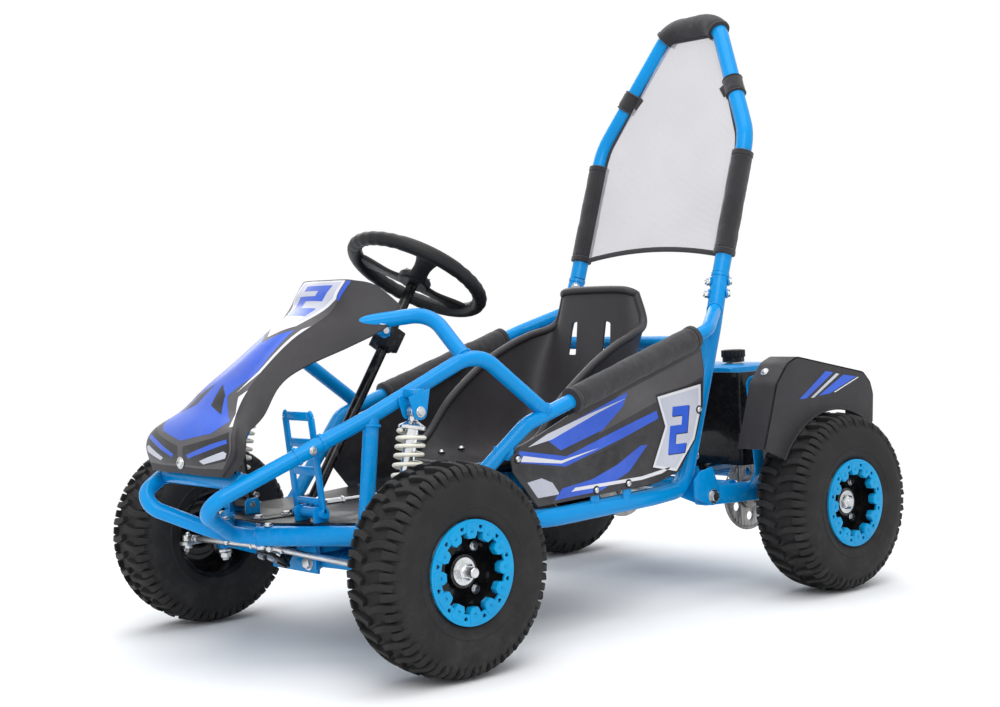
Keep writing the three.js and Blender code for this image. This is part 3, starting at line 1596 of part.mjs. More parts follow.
function buildSwingFrame() {
  const beamX = swingPivot.x;
  const carrier = at(beamX, rearAxleY, wheelCentreHeight);
  const beamZ = (swingPivotHeight + wheelCentreHeight) / 2;
  const beam = bar(
    at(beamX, swingAxisY, swingPivotHeight),
    at(beamX, beamRearY, beamZ),
    alongX,
    beamWidth,
    beamHeight,
  );
  const noseRound = rod(
    at(beamX - beamWidth / 2, swingAxisY, swingPivotHeight),
    at(beamX + beamWidth / 2, swingAxisY, swingPivotHeight),
    beamHeight / 2,
    12,
  );
  const hub = rod(
    at(beamX - axleCarrierWidth / 2, carrier.y, carrier.z),
    at(beamX + axleCarrierWidth / 2, carrier.y, carrier.z),
    axleCarrierRadius,
    12,
  );
  const places = stayPlaces();
  const legs = [
    bar(places[0], places[1], alongY, stayWidth, stayThickness),
    bar(places[1], places[2], alongY, stayWidth, stayThickness),
    bar(places[2], places[3], fenderSlope, stayWidth, stayThickness),
    fenderScrew(),
  ];
  const tow = [0, 1].map((i) => {
    const end = at(beamX, swingCrossY[i], swingCrossHeights[i]);
    return rod(end, mirrored(end), smallTubeRadius, smallTubeSides);
  });
  const plateFront = swingCrossY[0] - smallTubeRadius / 2;
  const plateRear = swingCrossY[1] + smallTubeRadius;
  const plate = block(
    at(0, (plateFront + plateRear) / 2, enginePlateTop - enginePlateThickness / 2),
    2 * enginePlateHalfWidth,
    plateRear - plateFront,
    enginePlateThickness,
  );
  const posts = [0, 1].flatMap((i) =>
    [-1, 1].map((side) => {
      const bottom = swingCrossHeights[i];
      const top = enginePlateTop - enginePlateThickness / 2;
      return block(
        at(side * (enginePlateHalfWidth - beamWidth), swingCrossY[i], (bottom + top) / 2),
        beamWidth,
        2 * smallTubeRadius * postWidthShare,
        top - bottom,
      );
    }),
  );
  const ears = [-1, 1].map((side) => {
    const middle = side * (rearEarHalfGap + shockEarThickness / 2);
    const outline = [
      [swingCrossY[0] - smallTubeRadius / 2, swingCrossHeights[0]],
      [swingCrossY[0] + smallTubeRadius / 2, enginePlateTop - enginePlateThickness],
      [rearShockBottom.y + shockEarRadius, rearShockBottom.z],
      [rearShockBottom.y, rearShockBottom.z + shockEarRadius],
      [rearShockBottom.y - shockEarRadius, rearShockBottom.z],
    ];
    return sideSheet(outline, middle - shockEarThickness / 2, shockEarThickness);
  });
  const earReach = rearEarHalfGap + shockEarThickness - weldGap;
  const earBolt = boltBetween(
    at(earReach, rearShockBottom.y, rearShockBottom.z),
    at(-earReach, rearShockBottom.y, rearShockBottom.z),
  );
  const pivotBore = drill(
    at(beamX - beamWidth, swingAxisY, swingPivotHeight),
    at(beamX + beamWidth, swingAxisY, swingPivotHeight),
    pivotBoltRadius + slideGap,
  );
  const axleBore = drill(
    at(beamX - beamWidth, carrier.y, carrier.z),
    at(beamX + beamWidth, carrier.y, carrier.z),
    rearAxleRadius + slideGap,
  );
  const leftSide = cut(join(beam, noseRound, hub, ...legs), pivotBore, axleBore);
  const shockSlot = block(
    at(0, rearShockBottom.y, enginePlateTop + shockEarRadius),
    2 * rearEarHalfGap,
    4 * shockEarRadius,
    3 * shockEarRadius,
  );
  const drilled = cut(
    join(...tow, plate, ...posts, ...ears),
    pivotBore,
    otherSide(pivotBore),
    shockSlot,
  );
  const bracket = block(
    at(calliperX, swingCrossY[1] - smallTubeRadius, wheelCentreHeight + discRadius * calliperRiseShare),
    discThickness * calliperWidthShare,
    smallTubeRadius * 2,
    smallTubeRadius * 2,
  );
  const discSpace = drill(
    at(calliperX - discThickness, carrier.y, carrier.z),
    at(calliperX + discThickness, carrier.y, carrier.z),
    discRadius + boltGap,
    16,
  );
  const chainSpace = drill(
    at(chainOffset - chainWidth, carrier.y, carrier.z),
    at(chainOffset + chainWidth, carrier.y, carrier.z),
    sprocketRadius + 2 * chainThickness,
    16,
  );
  const middleWork = cut(join(drilled, bracket), discSpace, chainSpace);
  return join(leftSide, otherSide(leftSide), middleWork, earBolt);
}

// Rear axle with its end nuts
function buildRearAxle() {
  const reach = rearTrack / 2 + wheelHubReach + slideGap;
  const end = reach + axleNutHeight;
  const axle = turned(
    [
      [0, -end],
      [frontAxleRadius, -end],
      [frontAxleRadius, -reach + slideGap * 2],
      [rearAxleRadius, -reach + slideGap * 2],
      [rearAxleRadius, reach - slideGap * 2],
      [frontAxleRadius, reach - slideGap * 2],
      [frontAxleRadius, end],
      [0, end],
    ],
    12,
  );
  const nuts = [-1, 1].map((side) =>
    rod(
      at(side * (reach + weldGap), 0, 0),
      at(side * (end - weldGap), 0, 0),
      axleNutRadius,
      6,
    ),
  );
  return join(axle, ...nuts);
}

// Wheels: outboard is +X in a wheel's own frame

function tyreProfile() {
  const walls = tyreSectionShares;
  const crown = tyreDiameter / 2;
  return [
    [beadRadius, -rimHalfWidth + beadInset],
    ...walls.map(([rise, reach]) => [crown * rise, -tyreHalfWidth * reach]),
    [crown, 0],
    ...walls.map(([rise, reach]) => [crown * rise, tyreHalfWidth * reach]).reverse(),
    [beadRadius, rimHalfWidth - beadInset],
  ];
}

const wheelSegments = 16;

function buildTyre() {
  return turned(tyreProfile(), wheelSegments);
}

const rimLip = 1;
function rimProfile(bore) {
  const flange = beadRadius - slideGap;
  const disc = rimDiscOffset + rimDiscThickness;
  return [
    [flange, -rimHalfWidth + rimLip],
    [flange, rimHalfWidth - rimLip],
    [flange - rimWall, rimHalfWidth + rimLip],
    [rimBedRadius, disc],
    [wheelHubRadius, disc],
    [wheelHubRadius, wheelHubReach],
    [bore, wheelHubReach],
    [bore, -wheelHubReach],
    [wheelHubRadius, -wheelHubReach],
    [wheelHubRadius, rimDiscOffset],
    [rimBedRadius, rimDiscOffset],
    [rimBedRadius, -rimHalfWidth + rimLip],
  ];
}

function buildRim(bore) {
  return turned(rimProfile(bore), wheelSegments);
}

function wheelGroup(x, y) {
  const group = new THREE.Group();
  group.position.set(x, y, wheelCentreHeight);
  if (x < 0) group.rotation.z = Math.PI;
  kart.add(group);
  return group;
}

for (const [side, sign] of [["left", 1], ["right", -1]]) {
  const front = wheelGroup((sign * frontTrack) / 2, -halfWheelbase);
  add("front_tyre_" + side, buildTyre(), blackRubber(), front);
  add("front_rim_" + side, buildRim(frontAxleRadius + 2 * slideGap), blackPaint(), front);
  const rear = wheelGroup((sign * rearTrack) / 2, halfWheelbase);
  add("rear_tyre_" + side, buildTyre(), blackRubber(), rear);
  add("rear_rim_" + side, buildRim(rearAxleRadius + 2 * slideGap), blackPaint(), rear);
}

// Chain drive: drum on the engine's shaft, sprocket on the axle

const crankBack = 40;
const crankRise = 76;
const crankPlace = at(chainOffset, rearAxleY + crankBack, enginePlateTop + crankRise);
const sprocketPlace = at(chainOffset, rearAxleY, wheelCentreHeight);
const chainGap = 0.5;

function wheelOnShaft(centre, radius, width, bore, sides) {
  const half = at(width / 2, 0, 0);
  const far = at(width, 0, 0);
  const disc = rod(centre.clone().sub(half), centre.clone().add(half), radius, sides);
  const hole = drill(centre.clone().sub(far), centre.clone().add(far), bore);
  return cut(disc, hole);
}

// The outline of a band round two circles, in (y, z)
function bandOutline(extra) {
  const run = crankPlace.clone().sub(sprocketPlace);
  const distance = Math.hypot(run.y, run.z);
  const heading = Math.atan2(run.z, run.y);
  const spread = Math.acos((sprocketRadius - drumRadius) / distance);
  const points = [];
  const steps = 10;
  const turns = 6;
  const lower = (sprocketRadius + extra) / Math.cos((Math.PI - spread) / steps);
  const upper = (drumRadius + extra) / Math.cos(spread / turns);
  for (let i = 0; i <= steps; i += 1) {
    const angle = heading + spread + ((2 * Math.PI - 2 * spread) * i) / steps;
    points.push([
      sprocketPlace.y + lower * Math.cos(angle),
      sprocketPlace.z + lower * Math.sin(angle),
    ]);
  }
  for (let i = 0; i <= turns; i += 1) {
    const angle = heading - spread + (2 * spread * i) / turns;
    points.push([
      crankPlace.y + upper * Math.cos(angle),
      crankPlace.z + upper * Math.sin(angle),
    ]);
  }
  return points;
}

function buildChain() {
  const outer = sideSheet(bandOutline(chainThickness), chainOffset - chainWidth / 2, chainWidth);
  const inner = sideSheet(bandOutline(chainGap), chainOffset - chainWidth, 2 * chainWidth);
  return cut(outer, inner);
}

function buildSprocket() {
  const plate = wheelOnShaft(
    sprocketPlace,
    sprocketRadius,
    sprocketThickness,
    rearAxleRadius + slideGap,
    20,
  );
  const hub = wheelOnShaft(sprocketPlace, axleCarrierRadius, hubWidth, rearAxleRadius + slideGap, 12);
  return join(plate, hub);
}

function buildBrakeDisc() {
  const place = at(calliperX, rearAxleY, wheelCentreHeight);
  const plate = wheelOnShaft(place, discRadius, discThickness, rearAxleRadius + slideGap, 20);
  const hub = wheelOnShaft(place, axleCarrierRadius, hubWidth, rearAxleRadius + slideGap, 12);
  return join(plate, hub);
}

// Fuel tank's sizes and place
const tankWidth = 218;
const tankDepth = 150;
const tankHeight = 82;
const neckRadius = 16.5;
const neckHeight = 12;
const capRadius = 24;
const capHeight = 16;
const tankStand = 22.65;
const crankcaseHeight = 98;
const engineBaseGap = weldGap;
const crankcaseBottom = enginePlateTop + engineBaseGap;
const crankcaseTop = crankcaseBottom + crankcaseHeight;
const tankMiddle = spot([0.18797, 1.1116, -0.36913]);
tankMiddle.z = crankcaseTop + tankStand + tankHeight / 2;
const neckPlace = spot([0.37594, 1.11602, -0.36913]);
const tankBottom = tankMiddle.z - tankHeight / 2;
const tankRestGap = 6;
const cylinderSideShare = -0.125;
const cylinderBackShare = -0.2;
const cylinderDepthShare = 0.7;
const restSideShare = 0.42;
const restBackShare = 0.2;
const restDepthShare = 0.5;
const fanRadiusShare = 0.58;
const silencerBackShare = 0.66;
const silencerRiseShare = 0.8;
const silencerRadiusShare = 0.27;
const drumWidthShare = 2.6;
const coverSetShare = 2.4;
const coverRadiusShare = 1.9;
const coverWidthShare = 2.2;
const guardFootShare = 0.7;
const neckSinkShare = 0.7;
const cylinderRootShare = 0.456;
const restRootShare = 0.98;
const tankRestWidth = 14;

// Engine: crankcase, finned cylinder, fan housing and silencer on one base
const crankcaseWidth = 130;
const crankcaseDepth = 120;
const cylinderWidth = 96;
const crankShaftRadius = 9.5;

function buildEngine() {
  const bottom = crankcaseBottom;
  const middleY = crankPlace.y;
  const cylinderBottom = bottom + crankcaseHeight * cylinderRootShare;
  const cylinderTop = tankBottom - tankRestGap;
  const restBottom = bottom + crankcaseHeight * restRootShare;
  const restTop = tankBottom - weldGap;
  const silencerZ = bottom + crankcaseHeight * silencerRiseShare;
  const crankcase = block(
    at(0, middleY, bottom + crankcaseHeight / 2),
    crankcaseWidth,
    crankcaseDepth,
    crankcaseHeight,
  );
  const cylinder = block(
    at(
      crankcaseWidth * cylinderSideShare,
      middleY + crankcaseDepth * cylinderBackShare,
      (cylinderBottom + cylinderTop) / 2,
    ),
    cylinderWidth,
    cylinderWidth * cylinderDepthShare,
    cylinderTop - cylinderBottom,
  );
  const rests = [-1, 1].map((side) =>
    block(
      at(
        side * crankcaseWidth * restSideShare,
        middleY + crankcaseDepth * restBackShare,
        (restBottom + restTop) / 2,
      ),
      tankRestWidth,
      crankcaseDepth * restDepthShare,
      restTop - restBottom,
    ),
  );
  const fan = rod(
    at(-crankcaseWidth / 2, middleY, crankPlace.z),
    at(-crankcaseWidth / 2 - cylinderWidth / 2, middleY, crankPlace.z),
    crankcaseDepth * fanRadiusShare,
    14,
  );
  const silencer = rod(
    at(-crankcaseWidth / 2, middleY + crankcaseDepth * silencerBackShare, silencerZ),
    at(crankcaseWidth / 2, middleY + crankcaseDepth * silencerBackShare, silencerZ),
    crankcaseHeight * silencerRadiusShare,
    12,
  );
  const shaft = rod(
    at(0, crankPlace.y, crankPlace.z),
    at(chainOffset + chainWidth * 2, crankPlace.y, crankPlace.z),
    crankShaftRadius,
    10,
  );
  return join(crankcase, cylinder, ...rests, fan, silencer, shaft);
}

function buildClutchDrum() {
  const drum = wheelOnShaft(
    crankPlace,
    drumRadius,
    chainWidth * drumWidthShare,
    crankShaftRadius + slideGap,
    16,
  );
  const inboard = at(chainOffset - chainWidth * coverSetShare, crankPlace.y, crankPlace.z);
  const cover = wheelOnShaft(
    inboard,
    drumRadius * coverRadiusShare,
    chainWidth * coverWidthShare,
    crankShaftRadius + slideGap,
    16,
  );
  return join(drum, cover);
}

// Guard: one folded sheet in front of and beside the engine
const guardHalfWidth = 205;
const guardFrontY = 402;
const guardDepth = 150;
const guardBottom = 226;
const guardTop = 405;

function buildEngineGuard() {
  const height = guardTop - guardBottom;
  const outer = block(
    at(0, guardFrontY + guardDepth / 2, (guardTop + guardBottom) / 2),
    2 * guardHalfWidth,
    guardDepth,
    height,
  );
  const inner = block(
    at(0, guardFrontY + guardThickness + guardDepth / 2, (guardTop + guardBottom) / 2),
    2 * (guardHalfWidth - guardThickness),
    guardDepth,
    height + overrun,
  );
  const footZ = (guardBottom + enginePlateTop + weldGap) / 2 + guardThickness;
  const brackets = [-1, 1].map((side) =>
    block(
      at(side * enginePlateHalfWidth * guardFootShare, guardFrontY + guardThickness / 2, footZ),
      beamWidth,
      guardThickness,
      guardBottom - enginePlateTop - weldGap + 2 * guardThickness,
    ),
  );
  return join(cut(outer, inner), ...brackets);
}

// Fuel tank on the engine's top, with its filler neck
function buildFuelTank() {
  const body = block(tankMiddle, tankWidth, tankDepth, tankHeight);
  const neckTop = tankMiddle.z + tankHeight / 2 + neckHeight;
  const neck = rod(
    at(neckPlace.x, neckPlace.y, tankMiddle.z),
    at(neckPlace.x, neckPlace.y, neckTop),
    neckRadius,
    12,
  );
  return join(body, neck);
}

function buildFuelCap() {
  const neckTop = tankMiddle.z + tankHeight / 2 + neckHeight;
  const outer = rod(
    at(neckPlace.x, neckPlace.y, neckTop - neckHeight * neckSinkShare),
    at(neckPlace.x, neckPlace.y, neckTop + capHeight),
    capRadius,
    14,
  );
  const bore = drill(
    at(neckPlace.x, neckPlace.y, neckTop - neckHeight),
    at(neckPlace.x, neckPlace.y, neckTop + weldGap),
    neckRadius + slideGap,
  );
  return cut(outer, bore);
}

// Fender: a bent strip over the wheel with an outer skirt, outline in (y, z)
const fenderTopShares = [
  [0, 0.55249, 0.25727],
  [0, 0.59227, 0.36913],
  [0, 0.64088, 0.51454],
  [0, 0.7116, 0.59284],
  [0, 0.77348, 0.61521],
  [0, 1.2, 0.52573],
  [0, 1.2442, 0.48098],
  [0, 1.26188, 0.42953],
  [0, 1.25304, 0.31096],
];
const fenderArchRadius = 184;
const fenderArchSteps = 7;

function buildFender() {
  const top = fenderTopShares.map(spot).map((p) => [p.y, p.z]);
  const centre = [rearAxleY, wheelCentreHeight];
  const startAngle = Math.atan2(top[8][1] - centre[1], top[8][0] - centre[0]);
  const endAngle = Math.atan2(top[0][1] - centre[1], top[0][0] - centre[0]);
  const arch = [];
  for (let i = 1; i < fenderArchSteps; i += 1) {
    const angle = startAngle + ((endAngle - startAngle) * i) / fenderArchSteps;
    arch.push([
      centre[0] + fenderArchRadius * Math.cos(angle),
      centre[1] + fenderArchRadius * Math.sin(angle),
    ]);
  }
  const skirt = sideSheet([...top, ...arch], fenderOuterX - fenderThickness, fenderThickness);
  const inner = top.map(([y, z], i) => {
    const before = top[Math.max(i - 1, 0)];
    const after = top[Math.min(i + 1, top.length - 1)];
    const way = new THREE.Vector2(after[0] - before[0], after[1] - before[1]).normalize();
    return [y + way.y * fenderThickness, z - way.x * fenderThickness];
  });
  const band = sideSheet([...top, ...inner.reverse()], fenderInnerX, fenderOuterX - fenderInnerX);
  const { head, tail } = fenderScrewEnds();
  const hole = drill(head.clone().lerp(tail, -1), tail, boltRadius + boltGap);
  return cut(join(band, skirt), hole);
}

function buildRearShock() {
  return {
    body: buildShockBody(rearShockTop, rearShockBottom),
    rod: buildShockRod(rearShockTop, rearShockBottom),
    spring: buildSpring("rear spring", rearShockTop, rearShockBottom, rearSpringCurls),
  };
}

// Top ears of the rear shock, welded to the seat cross tube
function buildRearShockMount() {
  const crossPlace = spot(seatCrossShare);
  const ears = [-1, 1].map((side) => {
    const middle = side * (rearEarHalfGap + shockEarThickness / 2);
    const outline = [
      [crossPlace.y, crossPlace.z - smallTubeRadius / 2],
      [rearShockTop.y, rearShockTop.z - shockEarRadius],
      [rearShockTop.y + shockEarRadius, rearShockTop.z],
      [rearShockTop.y, rearShockTop.z + shockEarRadius],
      [crossPlace.y, crossPlace.z + smallTubeRadius / 2],
    ];
    return sideSheet(outline, middle - shockEarThickness / 2, shockEarThickness);
  });
  const reach = rearEarHalfGap + shockEarThickness - weldGap;
  const bolt = boltBetween(
    at(reach, rearShockTop.y, rearShockTop.z),
    at(-reach, rearShockTop.y, rearShockTop.z),
  );
  return join(...ears, bolt);
}

const seatCross = crossTube(seatCrossShare, smallTubeRadius);
add("seat_cross_tube", join(seatCross, buildRearShockMount()), bluePaint());
add("rear_swing_frame", buildSwingFrame(), bluePaint());
const axleGeometry = geometryOf(buildRearAxle());
axleGeometry.translate(0, rearAxleY, wheelCentreHeight);
add("rear_axle", axleGeometry, zincSteel());
add("engine", buildEngine(), blackPaint());
add("clutch_drum", buildClutchDrum(), zincSteel());
add("chain", buildChain(), zincSteel());
add("sprocket", buildSprocket(), zincSteel());
add("brake_disc", buildBrakeDisc(), zincSteel());
add("engine_guard", buildEngineGuard(), blackPaint());
add("fuel_tank", buildFuelTank(), bluePaint());
add("fuel_cap", buildFuelCap(), blackPlastic());
addPair("fender", buildFender(), blackPlastic);
const rearShock = buildRearShock();
add("rear_shock_body", rearShock.body, zincSteel());
add("rear_shock_rod", rearShock.rod, zincSteel());
add("rear_shock_spring", rearShock.spring, ivoryPaint());

// Pedals

const brakePivot = spot([0.37594, -1.1558, 0.17002]);
const brakeTop = spot([0.37594, -1.18895, 0.49888]);
const pedalWidth = 46;
const pedalThickness = 5;
const pedalBarWidth = 9;
const pedalPinRadius = 5;
const pedalSleeveWall = 3.5;

// A ladder pedal: two rails, four rungs and a pivot sleeve
function buildBrakePedal() {
  const rails = [-1, 1].map((side) => {
    const shift = at((side * (pedalWidth - pedalBarWidth)) / 2, 0, 0);
    return bar(
      brakePivot.clone().add(shift),
      brakeTop.clone().add(shift),
      alongX,
      pedalBarWidth,
      pedalThickness,
    );
  });
  const rungShares = [0.12, 0.42, 0.7, 0.97];
  const rungs = rungShares.map((share) => {
    const middle = brakePivot.clone().lerp(brakeTop, share);
    return block(middle, pedalWidth - pedalBarWidth, pedalThickness, pedalBarWidth);
  });
  const half = at(pedalWidth / 2, 0, 0);
  const sleeve = rod(
    brakePivot.clone().sub(half),
    brakePivot.clone().add(half),
    pedalPinRadius + pedalSleeveWall,
    10,
  );
  const far = at(pedalWidth, 0, 0);
  const bore = drill(
    brakePivot.clone().sub(far),
    brakePivot.clone().add(far),
    pedalPinRadius + slideGap,
  );
  return cut(join(...rails, ...rungs, sleeve), bore);
}

// Brake rod: from the pedal's back pin through a guide on the floor pan
const brakeRodRadius = 3.5;
const brakeRodEyeRadius = 10;
const brakeRodEyeWidth = 9;
const brakePinRadius = 3;
const brakePinPlay = 3.4;
const brakeLugThickness = 4;
const brakeLugGap = 1.5;
const brakePinPlace = spot([0.37594, -1.11823, 0.19911]);
const brakeRodEnd = spot([0.37594, -0.28287, 0.19911]);
const brakeGuidePlace = spot([0.37594, -0.38011, 0.19911]);
const brakeGuideWidth = 22;
const brakeGuideThickness = 6;

function buildBrakeLugs() {
  const lugX = brakeRodEyeWidth / 2 + brakeLugGap + brakeLugThickness / 2;
  const start = brakePivot.y - pedalThickness / 2;
  const end = brakePinPlace.y + 2 * brakePinRadius;
  const lugs = [-1, 1].map((side) =>
    block(
      at(brakePinPlace.x + side * lugX, (start + end) / 2, brakePinPlace.z),
      brakeLugThickness,
      end - start,
      4 * brakePinRadius,
    ),
  );
  const half = at(lugX + brakeLugThickness / 2 - weldGap, 0, 0);
  const pin = rod(
    brakePinPlace.clone().sub(half),
    brakePinPlace.clone().add(half),
    brakePinRadius,
    8,
  );
  return join(...lugs, pin);
}

function buildBrakeRod() {
  const half = at(brakeRodEyeWidth / 2, 0, 0);
  const far = at(brakeRodEyeWidth, 0, 0);
  const eye = rod(
    brakePinPlace.clone().sub(half),
    brakePinPlace.clone().add(half),
    brakeRodEyeRadius,
    10,
  );
  const hole = drill(
    brakePinPlace.clone().sub(far),
    brakePinPlace.clone().add(far),
    brakePinRadius + brakePinPlay,
  );
  const shaftStart = at(
    brakePinPlace.x,
    brakePinPlace.y + (brakePinRadius + brakePinPlay + brakeRodEyeRadius) / 2,
    brakePinPlace.z,
  );
  return cut(join(eye, rod(shaftStart, brakeRodEnd, brakeRodRadius, 8)), hole);
}

function buildBrakeGuide() {
  const foot = panTop - panThickness / 2;
  const top = brakeGuidePlace.z + brakeGuideWidth / 2;
  const plate = block(
    at(brakeGuidePlace.x, brakeGuidePlace.y, (foot + top) / 2),
    brakeGuideWidth,
    brakeGuideThickness,
    top - foot,
  );
  const bore = drill(
    at(brakeGuidePlace.x, brakeGuidePlace.y - brakeGuideWidth, brakeGuidePlace.z),
    at(brakeGuidePlace.x, brakeGuidePlace.y + brakeGuideWidth, brakeGuidePlace.z),
    brakeRodRadius + slideGap,
  );
  return cut(plate, bore);
}

function buildThrottlePedal() {
  return otherSide(buildBrakePedal());
}

// Pivot stands for both pedals, welded to the floor pan
const standThickness = 4;
const standGap = 1;
const standHalfDepth = 14;

function buildPedalStand() {
  const foot = panTop - panThickness / 2;
  const outerX = brakePivot.x + pedalWidth / 2 + standGap;
  const innerX = brakePivot.x - pedalWidth / 2 - standGap;
  const cheek = (x) =>
    block(
      at(x, brakePivot.y, (foot + brakePivot.z + standHalfDepth * 0.8) / 2),
      standThickness,
      2 * standHalfDepth,
      brakePivot.z + standHalfDepth * 0.8 - foot,
    );
  const cheeks = [
    cheek(outerX + standThickness / 2),
    cheek(innerX - standThickness / 2),
  ];
  const reach = pedalWidth / 2 + standGap + standThickness + 1;
  const pin = rod(
    at(brakePivot.x - reach, brakePivot.y, brakePivot.z),
    at(brakePivot.x + reach, brakePivot.y, brakePivot.z),
    pedalPinRadius,
    8,
  );
  return join(...cheeks, pin);
}

const stand = buildPedalStand();
add(
  "floor_pan",
  join(buildFloorPan(), stand, otherSide(stand), buildBrakeGuide()),
  blackPaint(),
);
add("brake_pedal", join(buildBrakePedal(), buildBrakeLugs()), bluePaint());
add("brake_rod", buildBrakeRod(), zincSteel());
add("throttle_pedal", buildThrottlePedal(), blackPaint());

const extent = new THREE.Box3().setFromObject(kart);
kart.position.set(
  -(extent.min.x + extent.max.x) / 2,
  -(extent.min.y + extent.max.y) / 2,
  -extent.min.z,
);

export default kart;
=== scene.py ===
"""Looks of the off road go kart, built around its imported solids.

Tables are in millimetres, measured from the middle of the wheelbase on the
ground: +X is the driver's left, -Y is forward, +Z is up.
"""

import json
import math

import bmesh
import bpy
from mathutils import Matrix, Vector, noise


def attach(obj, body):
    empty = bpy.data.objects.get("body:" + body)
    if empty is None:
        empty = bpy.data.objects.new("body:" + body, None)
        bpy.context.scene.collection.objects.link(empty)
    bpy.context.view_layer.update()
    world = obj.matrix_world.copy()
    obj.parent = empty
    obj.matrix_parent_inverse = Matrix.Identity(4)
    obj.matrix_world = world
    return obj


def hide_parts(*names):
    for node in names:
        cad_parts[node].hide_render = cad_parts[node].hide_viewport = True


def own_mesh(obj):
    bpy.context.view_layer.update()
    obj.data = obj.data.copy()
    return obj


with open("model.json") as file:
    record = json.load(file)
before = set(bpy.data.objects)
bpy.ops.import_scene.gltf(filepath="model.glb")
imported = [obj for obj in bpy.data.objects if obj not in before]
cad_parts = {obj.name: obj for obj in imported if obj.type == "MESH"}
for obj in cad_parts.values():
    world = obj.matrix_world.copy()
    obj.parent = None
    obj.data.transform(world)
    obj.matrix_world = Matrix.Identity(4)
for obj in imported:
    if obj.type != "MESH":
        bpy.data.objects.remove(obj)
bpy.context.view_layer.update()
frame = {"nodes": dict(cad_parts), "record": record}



def at(x, y, z):
    return Vector((x, y, z))


# The solids' frame starts this far ahead of the wheelbase's middle
BOX_SHIFT = at(0, 50.36, 0)
X_WAY = at(1, 0, 0)
Y_WAY = at(0, 1, 0)
Z_WAY = at(0, 0, 1)
BOTH_SIDES = (("left", 1), ("right", -1))
# Radii of the frame's two tubes
LARGE_TUBE = 16.0
SMALL_TUBE = 12.7


def on_side(place, side):
    """The same place for side 1, its mirror image on the right for side -1."""
    return at(side * place.x, place.y, place.z)


def spots(table, side=1):
    return [on_side(Vector(place), side) for place in table]


# ---------------------------------------------------------------- mesh forms


def way_at(line, i):
    """The way that a line runs at one of its places."""
    return (line[min(i + 1, len(line) - 1)] - line[max(i - 1, 0)]).normalized()


def bent_line(corners, bends, step=0.09):
    """A bent tube's middle line: straight runs joined by arcs."""
    line = [corners[0].copy()]
    for before, corner, after, bend in zip(corners, corners[1:], corners[2:], bends):
        way_in = (corner - before).normalized()
        way_out = (after - corner).normalized()
        turn = way_in.angle(way_out)
        begin = corner - way_in * bend * math.tan(turn / 2)
        inward = (way_out - way_in * math.cos(turn)) / math.sin(turn)
        count = max(2, math.ceil(turn / step))
        for i in range(count + 1):
            angle = turn * i / count
            line.append(begin + way_in * bend * math.sin(angle) + inward * bend * (1 - math.cos(angle)))
    line.append(corners[-1].copy())
    return line


def ring_of(mesh, centre, normal, other, radius, sides):
    ring = []
    for i in range(sides):
        angle = 2 * math.pi * i / sides
        place = centre + normal * radius * math.cos(angle) + other * radius * math.sin(angle)
        ring.append(mesh.verts.new(place))
    return ring


def bridge(mesh, first, second, paint=0):
    count = len(first)
    for i in range(count):
        j = (i + 1) % count
        face = mesh.faces.new((first[i], first[j], second[j], second[i]))
        face.material_index = paint


def skin(part, rings):
    """Faces over a row of rings and on both ends."""
    for first, second in zip(rings, rings[1:]):
        bridge(part, first, second)
    part.faces.new(rings[0][::-1])
    part.faces.new(rings[-1])
    bmesh.ops.recalc_face_normals(part, faces=part.faces)


def add_tube(mesh, line, radius, sides=20, closed=False, paint=0):
    """A round tube along a line; radius is a number or one for each place."""
    radii = radius if isinstance(radius, list) else [radius] * len(line)
    normal = None
    rings = []
    for i, place in enumerate(line):
        ahead = line[(i + 1) % len(line)] if closed or i < len(line) - 1 else place
        behind = line[i - 1] if closed or i > 0 else place
        way = (ahead - behind).normalized()
        if normal is None:
            normal = way.orthogonal().normalized()
        normal = (normal - way * normal.dot(way)).normalized()
        rings.append(ring_of(mesh, place, normal, way.cross(normal), radii[i], sides))
    for first, second in zip(rings, rings[1:]):
        bridge(mesh, first, second, paint)
    if closed:
        ends = range(sides)
        first, last = rings[0], rings[-1]
        offset = min(ends, key=lambda k: (last[0].co - first[k].co).length)
        bridge(mesh, last, [first[(i + offset) % sides] for i in ends], paint)
    else:
        mesh.faces.new(list(reversed(rings[0]))).material_index = paint
        mesh.faces.new(rings[-1]).material_index = paint


def add_cross_tube(mesh, half, y, z, sides=24):
    """A straight tube from side to side."""
    add_tube(mesh, spots([(-half, y, z), (0, y, z), (half, y, z)]), SMALL_TUBE, sides)


def add_turned(mesh, origin, axis, profile, steps=32, paint=0):
    """A turned form from (radius, along) pairs; it closes on itself off the axis."""
    axis = axis.normalized()
    normal = axis.orthogonal().normalized()
    other = axis.cross(normal)
    on_axis = profile[0][0] == 0 and profile[-1][0] == 0
    rings = []
    for radius, along in profile:
        centre = origin + axis * along
        if radius == 0:
            rings.append([mesh.verts.new(centre)])
        else:
            rings.append(ring_of(mesh, centre, normal, other, radius, steps))
    pairs = list(zip(rings, rings[1:]))
    if not on_axis:
        pairs.append((rings[-1], rings[0]))
    for first, second in pairs:
        for i in range(steps):
            j = (i + 1) % steps
            corners = (first[i % len(first)], first[j % len(first)], second[j % len(second)],
                second[i % len(second)])
            unique = list(dict.fromkeys(corners))
            if len(unique) > 2:
                mesh.faces.new(unique).material_index = paint


def collar(bore, radius, low, high, soft):
    """A bored round profile with both outer rims cut back."""
    return [(bore, low), (radius - soft, low), (radius, low + soft), (radius, high - soft),
        (radius - soft, high), (bore, high)]


def band(inner, outer, low, high):
    return [(inner, low), (outer, low), (outer, high), (inner, high)]


def add_rod(mesh, start, end, radius, sides=20, soften=0.6, paint=0):
    """A plain round bar with softened ends."""
    length = (end - start).length
    soft = min(soften, radius / 2, length / 4)
    profile = [(0, 0), (radius - soft, 0), (radius, soft), (radius, length - soft), (radius - soft, length),
        (0, length)]
    add_turned(mesh, start, end - start, profile, sides, paint)


